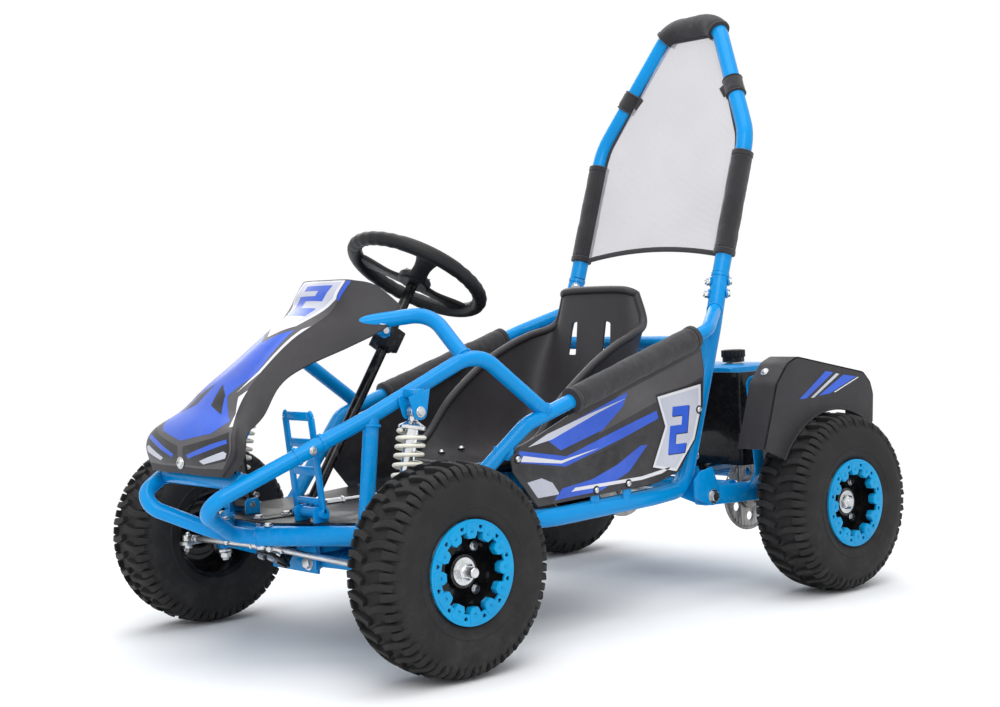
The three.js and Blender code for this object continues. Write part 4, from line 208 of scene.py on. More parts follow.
def add_plate(mesh, outline, origin, right, up, thickness, soften=0.5, paint=0):
    """A flat sheet from an outline, its sharp rims softened."""
    normal = right.cross(up).normalized()
    part = bmesh.new()
    low = [part.verts.new(origin + right * u + up * v - normal * thickness / 2) for u, v in outline]
    face = part.faces.new(low)
    grown = bmesh.ops.extrude_face_region(part, geom=[face])["geom"]
    moved = [v for v in grown if isinstance(v, bmesh.types.BMVert)]
    bmesh.ops.translate(part, vec=normal * thickness, verts=moved)
    bmesh.ops.recalc_face_normals(part, faces=part.faces)
    soften_rims(part, soften)
    bmesh.ops.triangulate(part, faces=[f for f in part.faces if len(f.verts) > 4])
    pour(mesh, part, paint)


def soften_rims(part, amount):
    if amount <= 0:
        return
    sharp = [e for e in part.edges if len(e.link_faces) == 2 and e.calc_face_angle(0) > 0.6]
    bmesh.ops.bevel(part, geom=sharp, offset=amount, segments=2, profile=0.5, affect="EDGES",
        clamp_overlap=True)


def pour(mesh, part, paint=0):
    """Adds all of one mesh to another."""
    twins = {v: mesh.verts.new(v.co) for v in part.verts}
    for face in part.faces:
        copy = mesh.faces.new([twins[v] for v in face.verts])
        copy.material_index = paint
    part.free()


def add_block(mesh, centre, size, soften=0.8, turn=None, paint=0):
    """A rounded block; turn is a rotation matrix or None."""
    part = bmesh.new()
    bmesh.ops.create_cube(part, size=1)
    bmesh.ops.scale(part, vec=Vector(size), verts=part.verts)
    soften_rims(part, soften)
    place = Matrix.Translation(centre)
    if turn is not None:
        place = place @ turn.to_4x4()
    bmesh.ops.transform(part, matrix=place, verts=part.verts)
    pour(mesh, part, paint)


def facing(along, across):
    """A turn whose X is across, Y is along and Z stands on both."""
    along = along.normalized()
    side = (across - along * across.dot(along)).normalized()
    return Matrix((side, along, side.cross(along))).transposed()


def add_bar(mesh, start, end, across, width, thickness, soften=0.8):
    middle = (start + end) / 2
    length = (end - start).length
    turn = facing(end - start, across)
    add_block(mesh, middle, (width, length, thickness), soften, turn)


def add_bolt(mesh, start, end, radius=4, paint=0):
    """A hexagon bolt: flanged head before the start, nut and thread past the end."""
    way = (end - start).normalized()
    lip = radius * 1.72
    add_rod(mesh, start - way * 1.2, start, lip * 1.28, 24, 0.3, paint)
    add_rod(mesh, end, end + way * 1.2, lip * 1.28, 24, 0.3, paint)
    add_turned(mesh, start - way * 1.2, -way, [(0, 0), (lip, 0), (lip, radius * 0.85), (lip * 0.86, radius),
        (0, radius * 0.92)], 6, paint)
    add_turned(mesh, end + way * 1.2, way, [(0, 0), (lip, 0), (lip, radius * 1.25),
        (radius * 1.1, radius * 1.55), (radius, radius * 2.1), (0, radius * 2.1)], 6, paint)
    add_rod(mesh, start, end + way * radius * 2.2, radius * 0.92, 16, 0.4, paint)


def add_pin(mesh, middle, way, reach, radius, paint=1):
    """A bolt to both sides of its middle."""
    add_bolt(mesh, middle + way * reach, middle - way * reach, radius, paint)


def add_weld(mesh, centre, axis, radius, bead=2.6, turns=30):
    """A ring of small overlapping ripples where one tube meets another."""
    normal = axis.orthogonal().normalized()
    other = axis.normalized().cross(normal)
    line = []
    radii = []
    for i in range(turns * 2):
        angle = math.pi * i / turns
        line.append(centre + normal * math.cos(angle) * radius + other * math.sin(angle) * radius)
        radii.append(bead * (1.0 if i % 2 else 0.78))
    add_tube(mesh, line, radii, 8, closed=True)


# ------------------------------------------------------------- scene objects


CREASE = 0.62


def shade(data):
    """Smooth faces, with creases where the surface turns sharply."""
    mesh = bmesh.new()
    mesh.from_mesh(data)
    for face in mesh.faces:
        face.smooth = True
    for edge in mesh.edges:
        edge.smooth = len(edge.link_faces) != 2 or edge.calc_face_angle(0) < CREASE
    mesh.to_mesh(data)
    mesh.free()


def linked(data, name="form"):
    """A new object of the scene for the given data."""
    thing = bpy.data.objects.new(name, data)
    bpy.context.scene.collection.objects.link(thing)
    return thing


def new_object(name, mesh, paints):
    """An object in metres, in the solids' frame, from a mesh in millimetres."""
    bmesh.ops.remove_doubles(mesh, verts=mesh.verts, dist=0.0001)
    data = bpy.data.meshes.new(name)
    for vert in mesh.verts:
        vert.co = (vert.co + BOX_SHIFT) / 1000
    mesh.to_mesh(data)
    mesh.free()
    for paint in paints:
        data.materials.append(paint)
    shade(data)
    return linked(data, name)


def finished(name, mesh, paints, body, node_name=None):
    """A piece that rides on a body and replaces a solid: the one of its own name, or node_name."""
    return settle(new_object(name, mesh, paints), body, node_name or name)


def settle(thing, body, node_name):
    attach(thing, body)
    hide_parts(node_name)
    return thing


def evaluated_mesh(thing):
    """An object's mesh with its modifiers at work."""
    bpy.context.view_layer.update()
    graph = bpy.context.evaluated_depsgraph_get()
    return bpy.data.meshes.new_from_object(thing.evaluated_get(graph))


def evaluated_form(holder):
    """The evaluated mesh as a bmesh; its holder goes."""
    data = evaluated_mesh(holder)
    part = bmesh.new()
    part.from_mesh(data)
    bpy.data.meshes.remove(data)
    bpy.data.objects.remove(holder)
    return part


def flat_cut(outline, holes, thickness, bevel):
    """A flat sheet with holes, in the XY plane, millimetres, as a bmesh."""
    curve = bpy.data.curves.new("outline", "CURVE")
    curve.dimensions = "2D"
    curve.fill_mode = "BOTH"
    curve.extrude = thickness / 2 - bevel
    curve.bevel_depth = bevel
    curve.bevel_resolution = 1
    for loop in [outline, *holes]:
        spline = curve.splines.new("POLY")
        spline.points.add(len(loop) - 1)
        spline.use_cyclic_u = True
        for point, (x, y) in zip(spline.points, loop):
            point.co = (x, y, 0, 1)
    part = evaluated_form(linked(curve))
    bmesh.ops.remove_doubles(part, verts=part.verts, dist=0.001)
    return part


def disc_part(outline, holes, thickness, place, bevel=0.5):
    """A flat disc in the wheels' plane, cut with holes."""
    part = flat_cut(outline, holes, thickness, bevel)
    turn = Matrix.Translation(place) @ Matrix.Rotation(math.pi / 2, 4, "Y")
    bmesh.ops.transform(part, matrix=turn, verts=part.verts)
    return part


def polar(radius, angle, centre=(0, 0)):
    return centre[0] + radius * math.cos(angle), centre[1] + radius * math.sin(angle)


def circle(radius, count, centre=(0, 0)):
    return [polar(radius, 2 * math.pi * i / count, centre) for i in range(count)]


def add_strap(mesh, line, across, width, thickness, soften=0.6):
    """A flat strip bent along a line, its width kept along one way."""
    part = bmesh.new()
    rings = []
    for i, place in enumerate(line):
        way = way_at(line, i)
        side = (across - way * across.dot(way)).normalized()
        over = side.cross(way)
        corners = ((-1, -1), (1, -1), (1, 1), (-1, 1))
        rings.append([part.verts.new(place + side * a * width / 2 + over * b * thickness / 2)
            for a, b in corners])
    skin(part, rings)
    soften_rims(part, soften)
    pour(mesh, part)


# ----------------------------------------------------------------- materials


def wire(tree, made, **inputs):
    """Sets a node's inputs; each is a value or the socket that feeds it."""
    for name, value in inputs.items():
        feed(tree, made.inputs[name.replace("_", " ")], value)
    return made


def node(tree, kind, **inputs):
    return wire(tree, tree.nodes.new(kind), **inputs)


def feed(tree, socket, value):
    if isinstance(value, bpy.types.NodeSocket):
        tree.links.new(value, socket)
    elif isinstance(value, tuple) and len(value) == 3 and len(socket.default_value) == 4:
        socket.default_value = (*value, 1)
    else:
        socket.default_value = value


def object_place(tree):
    return tree.nodes.new("ShaderNodeTexCoord").outputs["Object"]


def maths(tree, operation, *values, clamp=False):
    made = tree.nodes.new("ShaderNodeMath")
    made.operation = operation
    made.use_clamp = clamp
    for socket, value in zip(made.inputs, values):
        feed(tree, socket, value)
    return made.outputs[0]


def times(tree, *values, clamp=False):
    return maths(tree, "MULTIPLY", *values, clamp=clamp)


def plus(tree, *values):
    return maths(tree, "ADD", *values)


def mixed(tree, factor, first, second):
    """A colour between two others."""
    made = tree.nodes.new("ShaderNodeMix")
    made.data_type = "RGBA"
    feed(tree, made.inputs["Factor"], factor)
    colours = [socket for socket in made.inputs if socket.type == "RGBA"]
    feed(tree, colours[0], first)
    feed(tree, colours[1], second)
    return next(socket for socket in made.outputs if socket.type == "RGBA")


def between(tree, value, low, high):
    """Nought below low, one above high."""
    made = node(tree, "ShaderNodeMapRange", Value=value, From_Min=low, From_Max=high)
    made.interpolation_type = "SMOOTHSTEP"
    return made.outputs["Result"]


def new_group(name, inputs, outputs):
    """A shader node group with named number inputs and outputs."""
    tree = bpy.data.node_groups.new(name, "ShaderNodeTree")
    for label, start in inputs.items():
        socket = tree.interface.new_socket(label, in_out="INPUT", socket_type="NodeSocketFloat")
        socket.default_value = start
    for label in outputs:
        tree.interface.new_socket(label, in_out="OUTPUT", socket_type="NodeSocketFloat")
    return tree, tree.nodes.new("NodeGroupInput").outputs, tree.nodes.new("NodeGroupOutput").inputs


def make_ripple_group():
    """Slow patches and fine grain, for roughness, colour and bump."""
    tree, given, put = new_group("Patches and grain",
        {"Patch Scale": 14, "Grain Scale": 900, "Grain Share": 0.5}, ["Patches", "Height"])
    place = object_place(tree)
    slow = node(tree, "ShaderNodeTexNoise", Vector=place, Scale=given["Patch Scale"], Detail=3.0)
    fine = node(tree, "ShaderNodeTexNoise", Vector=place, Scale=given["Grain Scale"], Detail=2.0)
    feed(tree, put["Patches"], between(tree, slow.outputs["Fac"], 0.3, 0.7))
    grain = times(tree, fine.outputs["Fac"], given["Grain Share"])
    rest = maths(tree, "SUBTRACT", 1.0, given["Grain Share"])
    slow_part = times(tree, slow.outputs["Fac"], rest)
    feed(tree, put["Height"], plus(tree, grain, slow_part))
    return tree


def make_dust_group():
    """Dust that gathers low down and on faces that look up."""
    tree, given, put = new_group("Settled dust", {"Amount": 0.3, "Low": 0.0, "High": 0.5}, ["Mask"])
    place = object_place(tree)
    height = node(tree, "ShaderNodeSeparateXYZ", Vector=place).outputs["Z"]
    normal = tree.nodes.new("ShaderNodeNewGeometry").outputs["Normal"]
    facing_up = node(tree, "ShaderNodeSeparateXYZ", Vector=normal).outputs["Z"]
    low = node(tree, "ShaderNodeMapRange", Value=height, From_Min=given["High"], From_Max=given["Low"])
    up = between(tree, facing_up, 0.1, 1.0)
    speck = node(tree, "ShaderNodeTexNoise", Vector=place, Scale=35.0, Detail=6.0, Roughness=0.7)
    worn = between(tree, speck.outputs["Fac"], 0.42, 0.72)
    both = plus(tree, low.outputs["Result"], times(tree, up, 0.5))
    mask = times(tree, times(tree, both, worn), given["Amount"], clamp=True)
    feed(tree, put["Mask"], mask)
    return tree


def make_wear_group():
    """Rubbed edges and short scratches."""
    tree, given, put = new_group("Rubbed edges", {"Amount": 0.3, "Scale": 60}, ["Mask"])
    place = object_place(tree)
    point = tree.nodes.new("ShaderNodeNewGeometry").outputs["Pointiness"]
    edge = between(tree, point, 0.53, 0.62)
    broken = node(tree, "ShaderNodeTexNoise", Vector=place, Scale=given["Scale"], Detail=5.0)
    gaps = between(tree, broken.outputs["Fac"], 0.5, 0.66)
    mask = times(tree, times(tree, edge, gaps), given["Amount"], clamp=True)
    feed(tree, put["Mask"], mask)
    return tree


ripple_group = make_ripple_group()
dust_group = make_dust_group()
wear_group = make_wear_group()


def use(tree, group, **inputs):
    made = tree.nodes.new("ShaderNodeGroup")
    made.node_tree = group
    return wire(tree, made, **inputs).outputs


def bump(tree, height, strength, distance):
    return node(tree, "ShaderNodeBump", Height=height, Strength=strength,
        Distance=distance).outputs["Normal"]


def new_material(name, **settings):
    material = bpy.data.materials.new(name)
    material.use_nodes = True
    tree = material.node_tree
    return material, tree, wire(tree, tree.nodes["Principled BSDF"], **settings)


def dusted(tree, colours, mask):
    return mixed(tree, mask, colours, (0.30, 0.27, 0.23))


def paint_finish(name, colour, deep, roughness, coat, dust):
    """Sprayed paint: slow colour patches, orange peel, thin dust, rubbed edges."""
    material, tree, surface = new_material(name, Coat_Weight=coat, Coat_Roughness=0.06,
        Specular_IOR_Level=0.1)
    ripple = use(tree, ripple_group, Patch_Scale=9.0, Grain_Scale=420.0, Grain_Share=0.35)
    colours = mixed(tree, ripple["Patches"], colour, deep)
    wear = use(tree, wear_group, Amount=0.2, Scale=80.0)["Mask"]
    colours = mixed(tree, wear, colours, tuple(0.5 * c + 0.25 for c in colour))
    dusty = use(tree, dust_group, Amount=dust, Low=0.05, High=0.45)["Mask"]
    rough = plus(tree, roughness, times(tree, ripple["Patches"], 0.06))
    rough = plus(tree, rough, times(tree, dusty, 0.35))
    wire(tree, surface, Base_Color=dusted(tree, colours, dusty), Roughness=rough,
        Normal=bump(tree, ripple["Height"], 0.05, 0.002))
    return material


def moulded_finish(name, colour, pale, roughness, grain_scale=1500.0, depth=0.25, dust=0.2):
    """Moulded plastic or rubber with a fine leather-like grain."""
    material, tree, surface = new_material(name, Specular_IOR_Level=0.26)
    place = object_place(tree)
    ripple = use(tree, ripple_group, Patch_Scale=11.0, Grain_Scale=grain_scale, Grain_Share=0.7)
    cells = node(tree, "ShaderNodeTexVoronoi", Vector=place, Scale=grain_scale * 0.5)
    colours = mixed(tree, ripple["Patches"], colour, pale)
    wear = use(tree, wear_group, Amount=0.4, Scale=50.0)["Mask"]
    colours = mixed(tree, wear, colours, tuple(min(1, c * 2.2 + 0.02) for c in pale))
    dusty = use(tree, dust_group, Amount=dust, Low=0.05, High=0.6)["Mask"]
    rough = plus(tree, roughness, times(tree, ripple["Patches"], 0.08))
    height = plus(tree, ripple["Height"], times(tree, cells.outputs["Distance"], 0.6))
    wire(tree, surface, Base_Color=dusted(tree, colours, dusty), Roughness=rough,
        Normal=bump(tree, height, depth, 0.0012))
    return material


def metal_finish(name, colour, dark, roughness, grain=900.0, brushed=True):
    """Plated or bare steel: streaks, stains and a little dust."""
    material, tree, surface = new_material(name, Metallic=1.0)
    place = object_place(tree)
    stretch = node(tree, "ShaderNodeMapping", Vector=place, Scale=(1, 18, 18) if brushed else (1, 1, 1))
    streak = node(tree, "ShaderNodeTexNoise", Vector=stretch.outputs["Vector"], Scale=grain * 0.06,
        Detail=4.0)
    ripple = use(tree, ripple_group, Patch_Scale=30.0, Grain_Scale=grain, Grain_Share=0.5)
    stain = times(tree, ripple["Patches"], between(tree, streak.outputs["Fac"], 0.35, 0.65))
    colours = mixed(tree, stain, colour, dark)
    dusty = use(tree, dust_group, Amount=0.12, Low=0.05, High=0.4)["Mask"]
    rough = plus(tree, roughness, times(tree, streak.outputs["Fac"], 0.16))
    rough = plus(tree, rough, times(tree, dusty, 0.4))
    wire(tree, surface, Base_Color=dusted(tree, colours, dusty), Roughness=rough,
        Normal=bump(tree, streak.outputs["Fac"], 0.12, 0.0006))
    return material


def tyre_finish():
    """Black tyre rubber: slow patches, a fine grain, and dust low down and on faces that look up."""
    material, tree, surface = new_material("tyre_rubber", Specular_IOR_Level=0.16)
    ripple = use(tree, ripple_group, Patch_Scale=22.0, Grain_Scale=1100.0, Grain_Share=0.6)
    colours = mixed(tree, ripple["Patches"], (0.016, 0.0155, 0.016), (0.024, 0.023, 0.0235))
    dusty = use(tree, dust_group, Amount=0.12, Low=0.0, High=0.30)["Mask"]
    rough = plus(tree, 0.58, times(tree, ripple["Patches"], 0.16))
    wire(tree, surface, Base_Color=mixed(tree, dusty, colours, (0.16, 0.15, 0.13)), Roughness=rough,
        Normal=bump(tree, ripple["Height"], 0.3, 0.001))
    return material


frame_blue = paint_finish("frame_blue", (0.0, 0.262, 0.640), (0.0, 0.235, 0.590), 0.24, 0.2, dust=0.02)
ring_azure = paint_finish("ring_azure", (0.001, 0.300, 0.600), (0.001, 0.255, 0.540), 0.34, 0.2, dust=0.04)
gloss_black = paint_finish("gloss_black", (0.005, 0.005, 0.006), (0.008, 0.008, 0.009), 0.18, 0.35,
    dust=0.04)
satin_black = paint_finish("satin_black", (0.012, 0.012, 0.013), (0.018, 0.018, 0.020), 0.38, 0.1,
    dust=0.05)
spring_ivory = paint_finish("spring_ivory", (0.82, 0.80, 0.70), (0.76, 0.73, 0.62), 0.30, 0.3, dust=0.12)
charcoal_plastic = moulded_finish("charcoal_plastic", (0.029, 0.027, 0.029), (0.034, 0.031, 0.034), 0.48,
    depth=0.16, dust=0.05)
seat_plastic = moulded_finish("seat_plastic", (0.036, 0.033, 0.036), (0.042, 0.039, 0.042), 0.42, 900.0,
    0.18, dust=0.05)
foam_black = moulded_finish("foam_black", (0.010, 0.010, 0.011), (0.014, 0.014, 0.016), 0.62, 2200.0, 0.3,
    dust=0.05)
grip_black = moulded_finish("grip_black", (0.010, 0.010, 0.011), (0.013, 0.013, 0.014), 0.44, 1300.0, 0.2,
    dust=0.03)
cast_black = moulded_finish("cast_black", (0.012, 0.012, 0.013), (0.022, 0.022, 0.024), 0.45, 700.0, 0.4)
bright_zinc = metal_finish("bright_zinc", (0.66, 0.67, 0.68), (0.42, 0.42, 0.42), 0.20)
cap_chrome = metal_finish("cap_chrome", (0.80, 0.81, 0.82), (0.60, 0.60, 0.61), 0.08, brushed=False)
raw_steel = metal_finish("raw_steel", (0.42, 0.41, 0.40), (0.20, 0.18, 0.16), 0.34)
cast_alloy = metal_finish("cast_alloy", (0.50, 0.51, 0.52), (0.30, 0.30, 0.31), 0.42, 1400.0, brushed=False)
tyre_rubber = tyre_finish()
BLUE_AND_ZINC = [frame_blue, bright_zinc]


# --------------------------------------------------------------- frame tubes

SLEEVE_DEPTH = 38.0
HOOP_PLUG = 66.0

LOWER_RAIL = [
    (48, -594, 207), (200, -493, 207), (214, -300, 203), (262, -150, 199), (245, 110, 203), (230, 205, 206),
    (203, 331, 490), (196.6, 367.5, 596),
]
LOWER_RAIL_BENDS = [50, 150, 150, 150, 60, 150]
SIDE_TUBE = [(14, -616, 207), (100, -728, 268), (198, -470, 393), (266, -303, 487), (263, -158, 377.7)]
SIDE_TUBE_BENDS = [30, 34, 150, 60]
ARMREST_TUBE = [(209.5, -362, 204.3), (263, -200, 360), (263, 252, 493.3), (200.4, 346, 533)]
NOSE_TUBE = [(258, -318, 473), (180, -326, 550), (64, -446, 533), (42, -562, 455), (46, -657, 302)]
STUB_FOOT, STUB_TOP = spots(LOWER_RAIL[-2:])
STUB_WAY = (STUB_TOP - STUB_FOOT).normalized()
HOOP_LEAN = 0.334
HOOP_HEIGHT = 1098.0


def hoop_place(x, z):
    return at(x, STUB_TOP.y + HOOP_LEAN * (z - STUB_TOP.z), z)


HOOP_KNEE = hoop_place(STUB_TOP.x, HOOP_HEIGHT * 0.785)
HOOP_TOP = hoop_place(64.904, HOOP_HEIGHT)
SHOCK_TOP = at(246, -419, 398)
SHOCK_BOTTOM = at(246, -469, 170)
SWING_PIVOT = at(240, 254, 188)
# The pedals' pins and the brake rod's eye: x, then y and z
PEDAL_X = 100
PEDAL_PIN = (-523, 241)
ROD_PIN = (-506, 254)
KINGPIN = at(285, -452.5, 165)
STEERING_BALL = at(276, -532.5, 159)
REAR_SHOCK_TOP = at(0, 349, 445)
REAR_SHOCK_BOTTOM = at(0, 362, 228)
# The side panels' inner faces
PANEL_INNER = 265.5


def stub_bolt_ends(share, side):
    middle = STUB_TOP - STUB_WAY * HOOP_PLUG * share
    way = at(1, 1, 0).normalized()
    return on_side(middle + way * 18, side), on_side(middle - way * 18, side)


def make_lower_rail(name, side):
    mesh = bmesh.new()
    corners = spots(LOWER_RAIL, side)
    line = bent_line(corners, LOWER_RAIL_BENDS)
    add_tube(mesh, line, LARGE_TUBE, 28)
    mouth = corners[0]
    way = (corners[1] - mouth).normalized()
    add_turned(mesh, mouth - way * 0.6, way, [(13.2, 0), (LARGE_TUBE - 1, 0), (LARGE_TUBE + 0.8, 1.2),
        (LARGE_TUBE + 0.8, 5), (13.2, 5)], 28)
    pinch = mouth + way * 20
    add_pin(mesh, pinch, Z_WAY, LARGE_TUBE + 0.5, 3.4)
    for share in (0.25, 0.62):
        start, end = stub_bolt_ends(share, side)
        way_out = (start - end).normalized()
        for place, out in ((start, way_out), (end, -way_out)):
            add_rod(mesh, place - out * 3, place, 9.5, 24, 0.6)
    top = corners[-1]
    up = (corners[-1] - corners[-2]).normalized()
    add_turned(mesh, top - up * 7, up, [(12.6, 0), (17.2, 0), (17.2, 6), (16.2, 7), (12.6, 7)], 28)
    pivot = on_side(SWING_PIVOT, side)
    cheek = [(205, 190), (254, 171), (265, 178), (271, 188), (271, 205), (254, 242.4), (222, 236),
        (205, 222)]
    for shift in (-17.5, 17.5):
        add_plate(mesh, cheek, at(pivot.x + shift, 0, 0), Y_WAY, Z_WAY, 4, 0.7)
    out = X_WAY * side
    add_pin(mesh, pivot, out, 19.8, 6)
    for y, z in ((-51, 232), (27, 235)):
        add_plate(mesh, [(y - 10, z - 32), (y + 10, z - 32), (y + 10, z + 10), (y - 10, z + 10)],
            at(side * (PANEL_INNER - 2), 0, 0), Y_WAY, Z_WAY, 3, 0.6)
    rear_tab = at(side * 264, 217, 348)
    add_bar(mesh, at(side * 216, 268, 348), rear_tab + at(0, -8, 0), Z_WAY, 20, 3)
    add_weld(mesh, at(side * 222, 262, 348), at(1, -1, 0), 8, 2.0, 16)
    finished(name, mesh, BLUE_AND_ZINC, "frame")


def make_side_tube(name, side):
    mesh = bmesh.new()
    corners = spots(LOWER_RAIL, side)
    way = (corners[1] - corners[0]).normalized()
    start = corners[0] + way * SLEEVE_DEPTH
    line = bent_line([start, *spots(SIDE_TUBE, side)], SIDE_TUBE_BENDS)
    add_tube(mesh, line, SMALL_TUBE, 24)
    foot, head = spots([(196, -487, 220), (199, -468, 394)], side)
    add_tube(mesh, [foot, foot.lerp(head, 0.5), head], SMALL_TUBE, 24)
    add_weld(mesh, foot + at(0, 0, 4), head - foot, SMALL_TUBE + 0.6, 2.6)
    add_weld(mesh, head - (head - foot).normalized() * 15, head - foot, SMALL_TUBE + 0.8, 2.4)
    x, y, z = SHOCK_TOP
    cheek = [(y - 21, z + 24), (y - 12, z - 6), (y - 8, z - 11), (y, z - 13), (y + 8, z - 11),
        (y + 12, z - 6), (y + 21, z + 36)]
    for shift in (-14.25, 14.25):
        add_plate(mesh, cheek, at(side * (x + shift), 0, 0), Y_WAY, Z_WAY, 3.5, 0.8)
    add_block(mesh, at(side * x, y, z + 30), (31, 21, 12), 1.2)
    out = X_WAY * side
    add_pin(mesh, on_side(SHOCK_TOP, side), out, 16, 4)
    end = line[-1]
    way_on = (line[-1] - line[-2]).normalized()
    add_weld(mesh, end - way_on * 3, way_on, SMALL_TUBE + 0.4, 2.6)
    join_place = at(side * 154, -584, 338)
    run = (spots(SIDE_TUBE, side)[2] - spots(SIDE_TUBE, side)[1]).normalized()
    for offset in (0, 46):
        place = join_place + run * offset
        add_turned(mesh, place, run, band(12, SMALL_TUBE + 2.2, 0, 5), 24)
    middle = join_place + run * 22
    add_pin(mesh, middle, out, 14, 3.2)
    finished(name, mesh, BLUE_AND_ZINC, "frame")


def make_nose_frame():
    mesh = bmesh.new()
    for side in (1, -1):
        corners = spots(NOSE_TUBE, side)
        add_tube(mesh, bent_line(corners, [55, 55, 150]), SMALL_TUBE, 24)
        way = (corners[1] - corners[0]).normalized()
        add_weld(mesh, corners[0] + way * 11, way, SMALL_TUBE + 0.5, 2.6)
        add_weld(mesh, corners[-1] + at(0, 3, 12), corners[-2] - corners[-1], SMALL_TUBE + 0.5, 2.4)
        lug_start = at(side * 27, -398, 541)
        lug_end = at(side * 27, -294, 522)
        add_bar(mesh, lug_start, lug_end, Z_WAY, 22, 4)
        add_weld(mesh, at(side * 30, -398, 541), X_WAY, SMALL_TUBE + 0.3, 2.0)
        cross_end = at(side * 118, -657, 303)
        add_weld(mesh, cross_end, X_WAY, SMALL_TUBE + 0.4, 2.4)
    for x, y, z in ((125.5, -657, 303), (110, -398, 541)):
        add_cross_tube(mesh, x, y, z)
    finished("nose_frame", mesh, BLUE_AND_ZINC, "frame")


def make_armrest_tube(name, side):
    mesh = bmesh.new()
    corners = spots(ARMREST_TUBE, side)
    line = bent_line(corners, [55, 60])
    add_tube(mesh, line, SMALL_TUBE, 24)
    foot_way = (corners[1] - corners[0]).normalized()
    add_weld(mesh, corners[0] + foot_way * 16, foot_way, SMALL_TUBE + 0.5, 2.6)
    end_way = (corners[-1] - corners[-2]).normalized()
    add_weld(mesh, corners[-1] - end_way * 15, end_way, SMALL_TUBE + 0.5, 2.6)
    add_bar(mesh, at(side * 243, -258, 318), at(side * 263.5, -232, 312), Z_WAY, 20, 3)
    add_weld(mesh, at(side * 246, -256, 317), at(1, 1, 0), 7, 1.8, 14)
    finished(name, mesh, BLUE_AND_ZINC, "frame")


def make_roll_hoop():
    mesh = bmesh.new()
    foot = STUB_TOP + STUB_WAY
    left = [foot, HOOP_KNEE, HOOP_TOP]
    corners = left + [on_side(place, -1) for place in reversed(left)]
    add_tube(mesh, bent_line(corners, [120, 60, 60, 120]), LARGE_TUBE, 32)
    for side in (1, -1):
        plug_end, plug_top = STUB_TOP - STUB_WAY * HOOP_PLUG, STUB_TOP + STUB_WAY * 22
        add_rod(mesh, on_side(plug_end, side), on_side(plug_top, side), 12, 24)
        for share in (0.25, 0.62):
            start, end = stub_bolt_ends(share, side)
            add_bolt(mesh, start + (start - end).normalized() * 0.6, end, 4, paint=1)
    finished("roll_hoop", mesh, BLUE_AND_ZINC, "frame")


def make_seat_cross_tube():
    mesh = bmesh.new()
    add_cross_tube(mesh, 195, 321, 467)
    for side in (1, -1):
        add_weld(mesh, at(side * 190, 321, 467), X_WAY, SMALL_TUBE + 0.6, 2.6)
        ear = [(318, 458), (349, 433), (357, 437), (361, 445), (357, 453), (349, 457), (322, 476)]
        add_plate(mesh, ear, at(side * 10.15, 0, 0), Y_WAY, Z_WAY, 3.5, 0.6)
    add_pin(mesh, REAR_SHOCK_TOP, X_WAY, 11.6, 4)
    finished("seat_cross_tube", mesh, BLUE_AND_ZINC, "frame")


def make_floor_pan():
    mesh = bmesh.new()
    side = [(52, -572), (196, -478), (212, -300), (258, -150), (244, 110)]
    edge = side + [(-x, y) for x, y in reversed(side)]
    well = [(9 * math.cos(a * math.pi / 8) * 1.7, -473.5 + 15 * math.sin(a * math.pi / 8) * 1.3)
        for a in range(16)]
    sheet = flat_cut(edge, [well], 2.5, 0.4)
    bmesh.ops.translate(sheet, vec=at(0, 0, 224.6), verts=sheet.verts)
    pour(mesh, sheet)
    for hand in (1, -1):
        for x in (74, 126):
            add_plate(mesh, [(-537, 226), (-509, 226), (-509, 246), (-515, 252.2), (-531, 252.2),
                (-537, 246)], at(hand * x, 0, 0), Y_WAY, Z_WAY, 4, 0.8, paint=2)
        add_rod(mesh, at(hand * 71, *PEDAL_PIN), at(hand * 129, *PEDAL_PIN), 5, 20, paint=1)
        for x, y in ((190, -440), (198, -320), (236, -180), (238, -40), (232, 70)):
            add_rod(mesh, at(hand * x, y, 225.4), at(hand * x, y, 228.2), 7, 24, 1.0, paint=1)
    guide = [(89, 226), (111, 226), (111, 258), (105, 265), (95, 265), (89, 258)]
    add_plate(mesh, guide, at(0, -172, 0), X_WAY, Z_WAY, 6, 0.8, paint=2)
    finished("floor_pan", mesh, [satin_black, bright_zinc, frame_blue], "frame")


for hand_name, hand in BOTH_SIDES:
    make_lower_rail("lower_rail_" + hand_name, hand)
    make_side_tube("side_tube_" + hand_name, hand)
    make_armrest_tube("armrest_tube_" + hand_name, hand)
make_nose_frame()
make_roll_hoop()
make_seat_cross_tube()
make_floor_pan()


# ------------------------------------------------------- repeats and wheels


def add_sockets(tree, way, **kinds):
    for label, kind in kinds.items():
        tree.interface.new_socket(label.replace("_", " "), in_out=way, socket_type="NodeSocket" + kind)


def new_repeat_tree():
    """Geometry nodes: copies of a form turned round the X axis."""
    tree = bpy.data.node_groups.new("Repeat round an axle", "GeometryNodeTree")
    add_sockets(tree, "INPUT", Form="Geometry", Count="Int", Start_Angle="Float", Finish="Material")
    given = tree.nodes.new("NodeGroupInput").outputs
    points = node(tree, "GeometryNodePoints", Count=given["Count"])
    index = tree.nodes.new("GeometryNodeInputIndex").outputs[0]
    step = maths(tree, "DIVIDE", 2 * math.pi, given["Count"])
    euler = node(tree, "ShaderNodeCombineXYZ",
        X=maths(tree, "MULTIPLY_ADD", index, step, given["Start Angle"]))
    turn = tree.nodes.new("FunctionNodeEulerToRotation")
    feed(tree, turn.inputs[0], euler.outputs[0])
    end_with_copies(tree, points.outputs[0], given["Form"], turn.outputs[0], given["Finish"])
    return tree


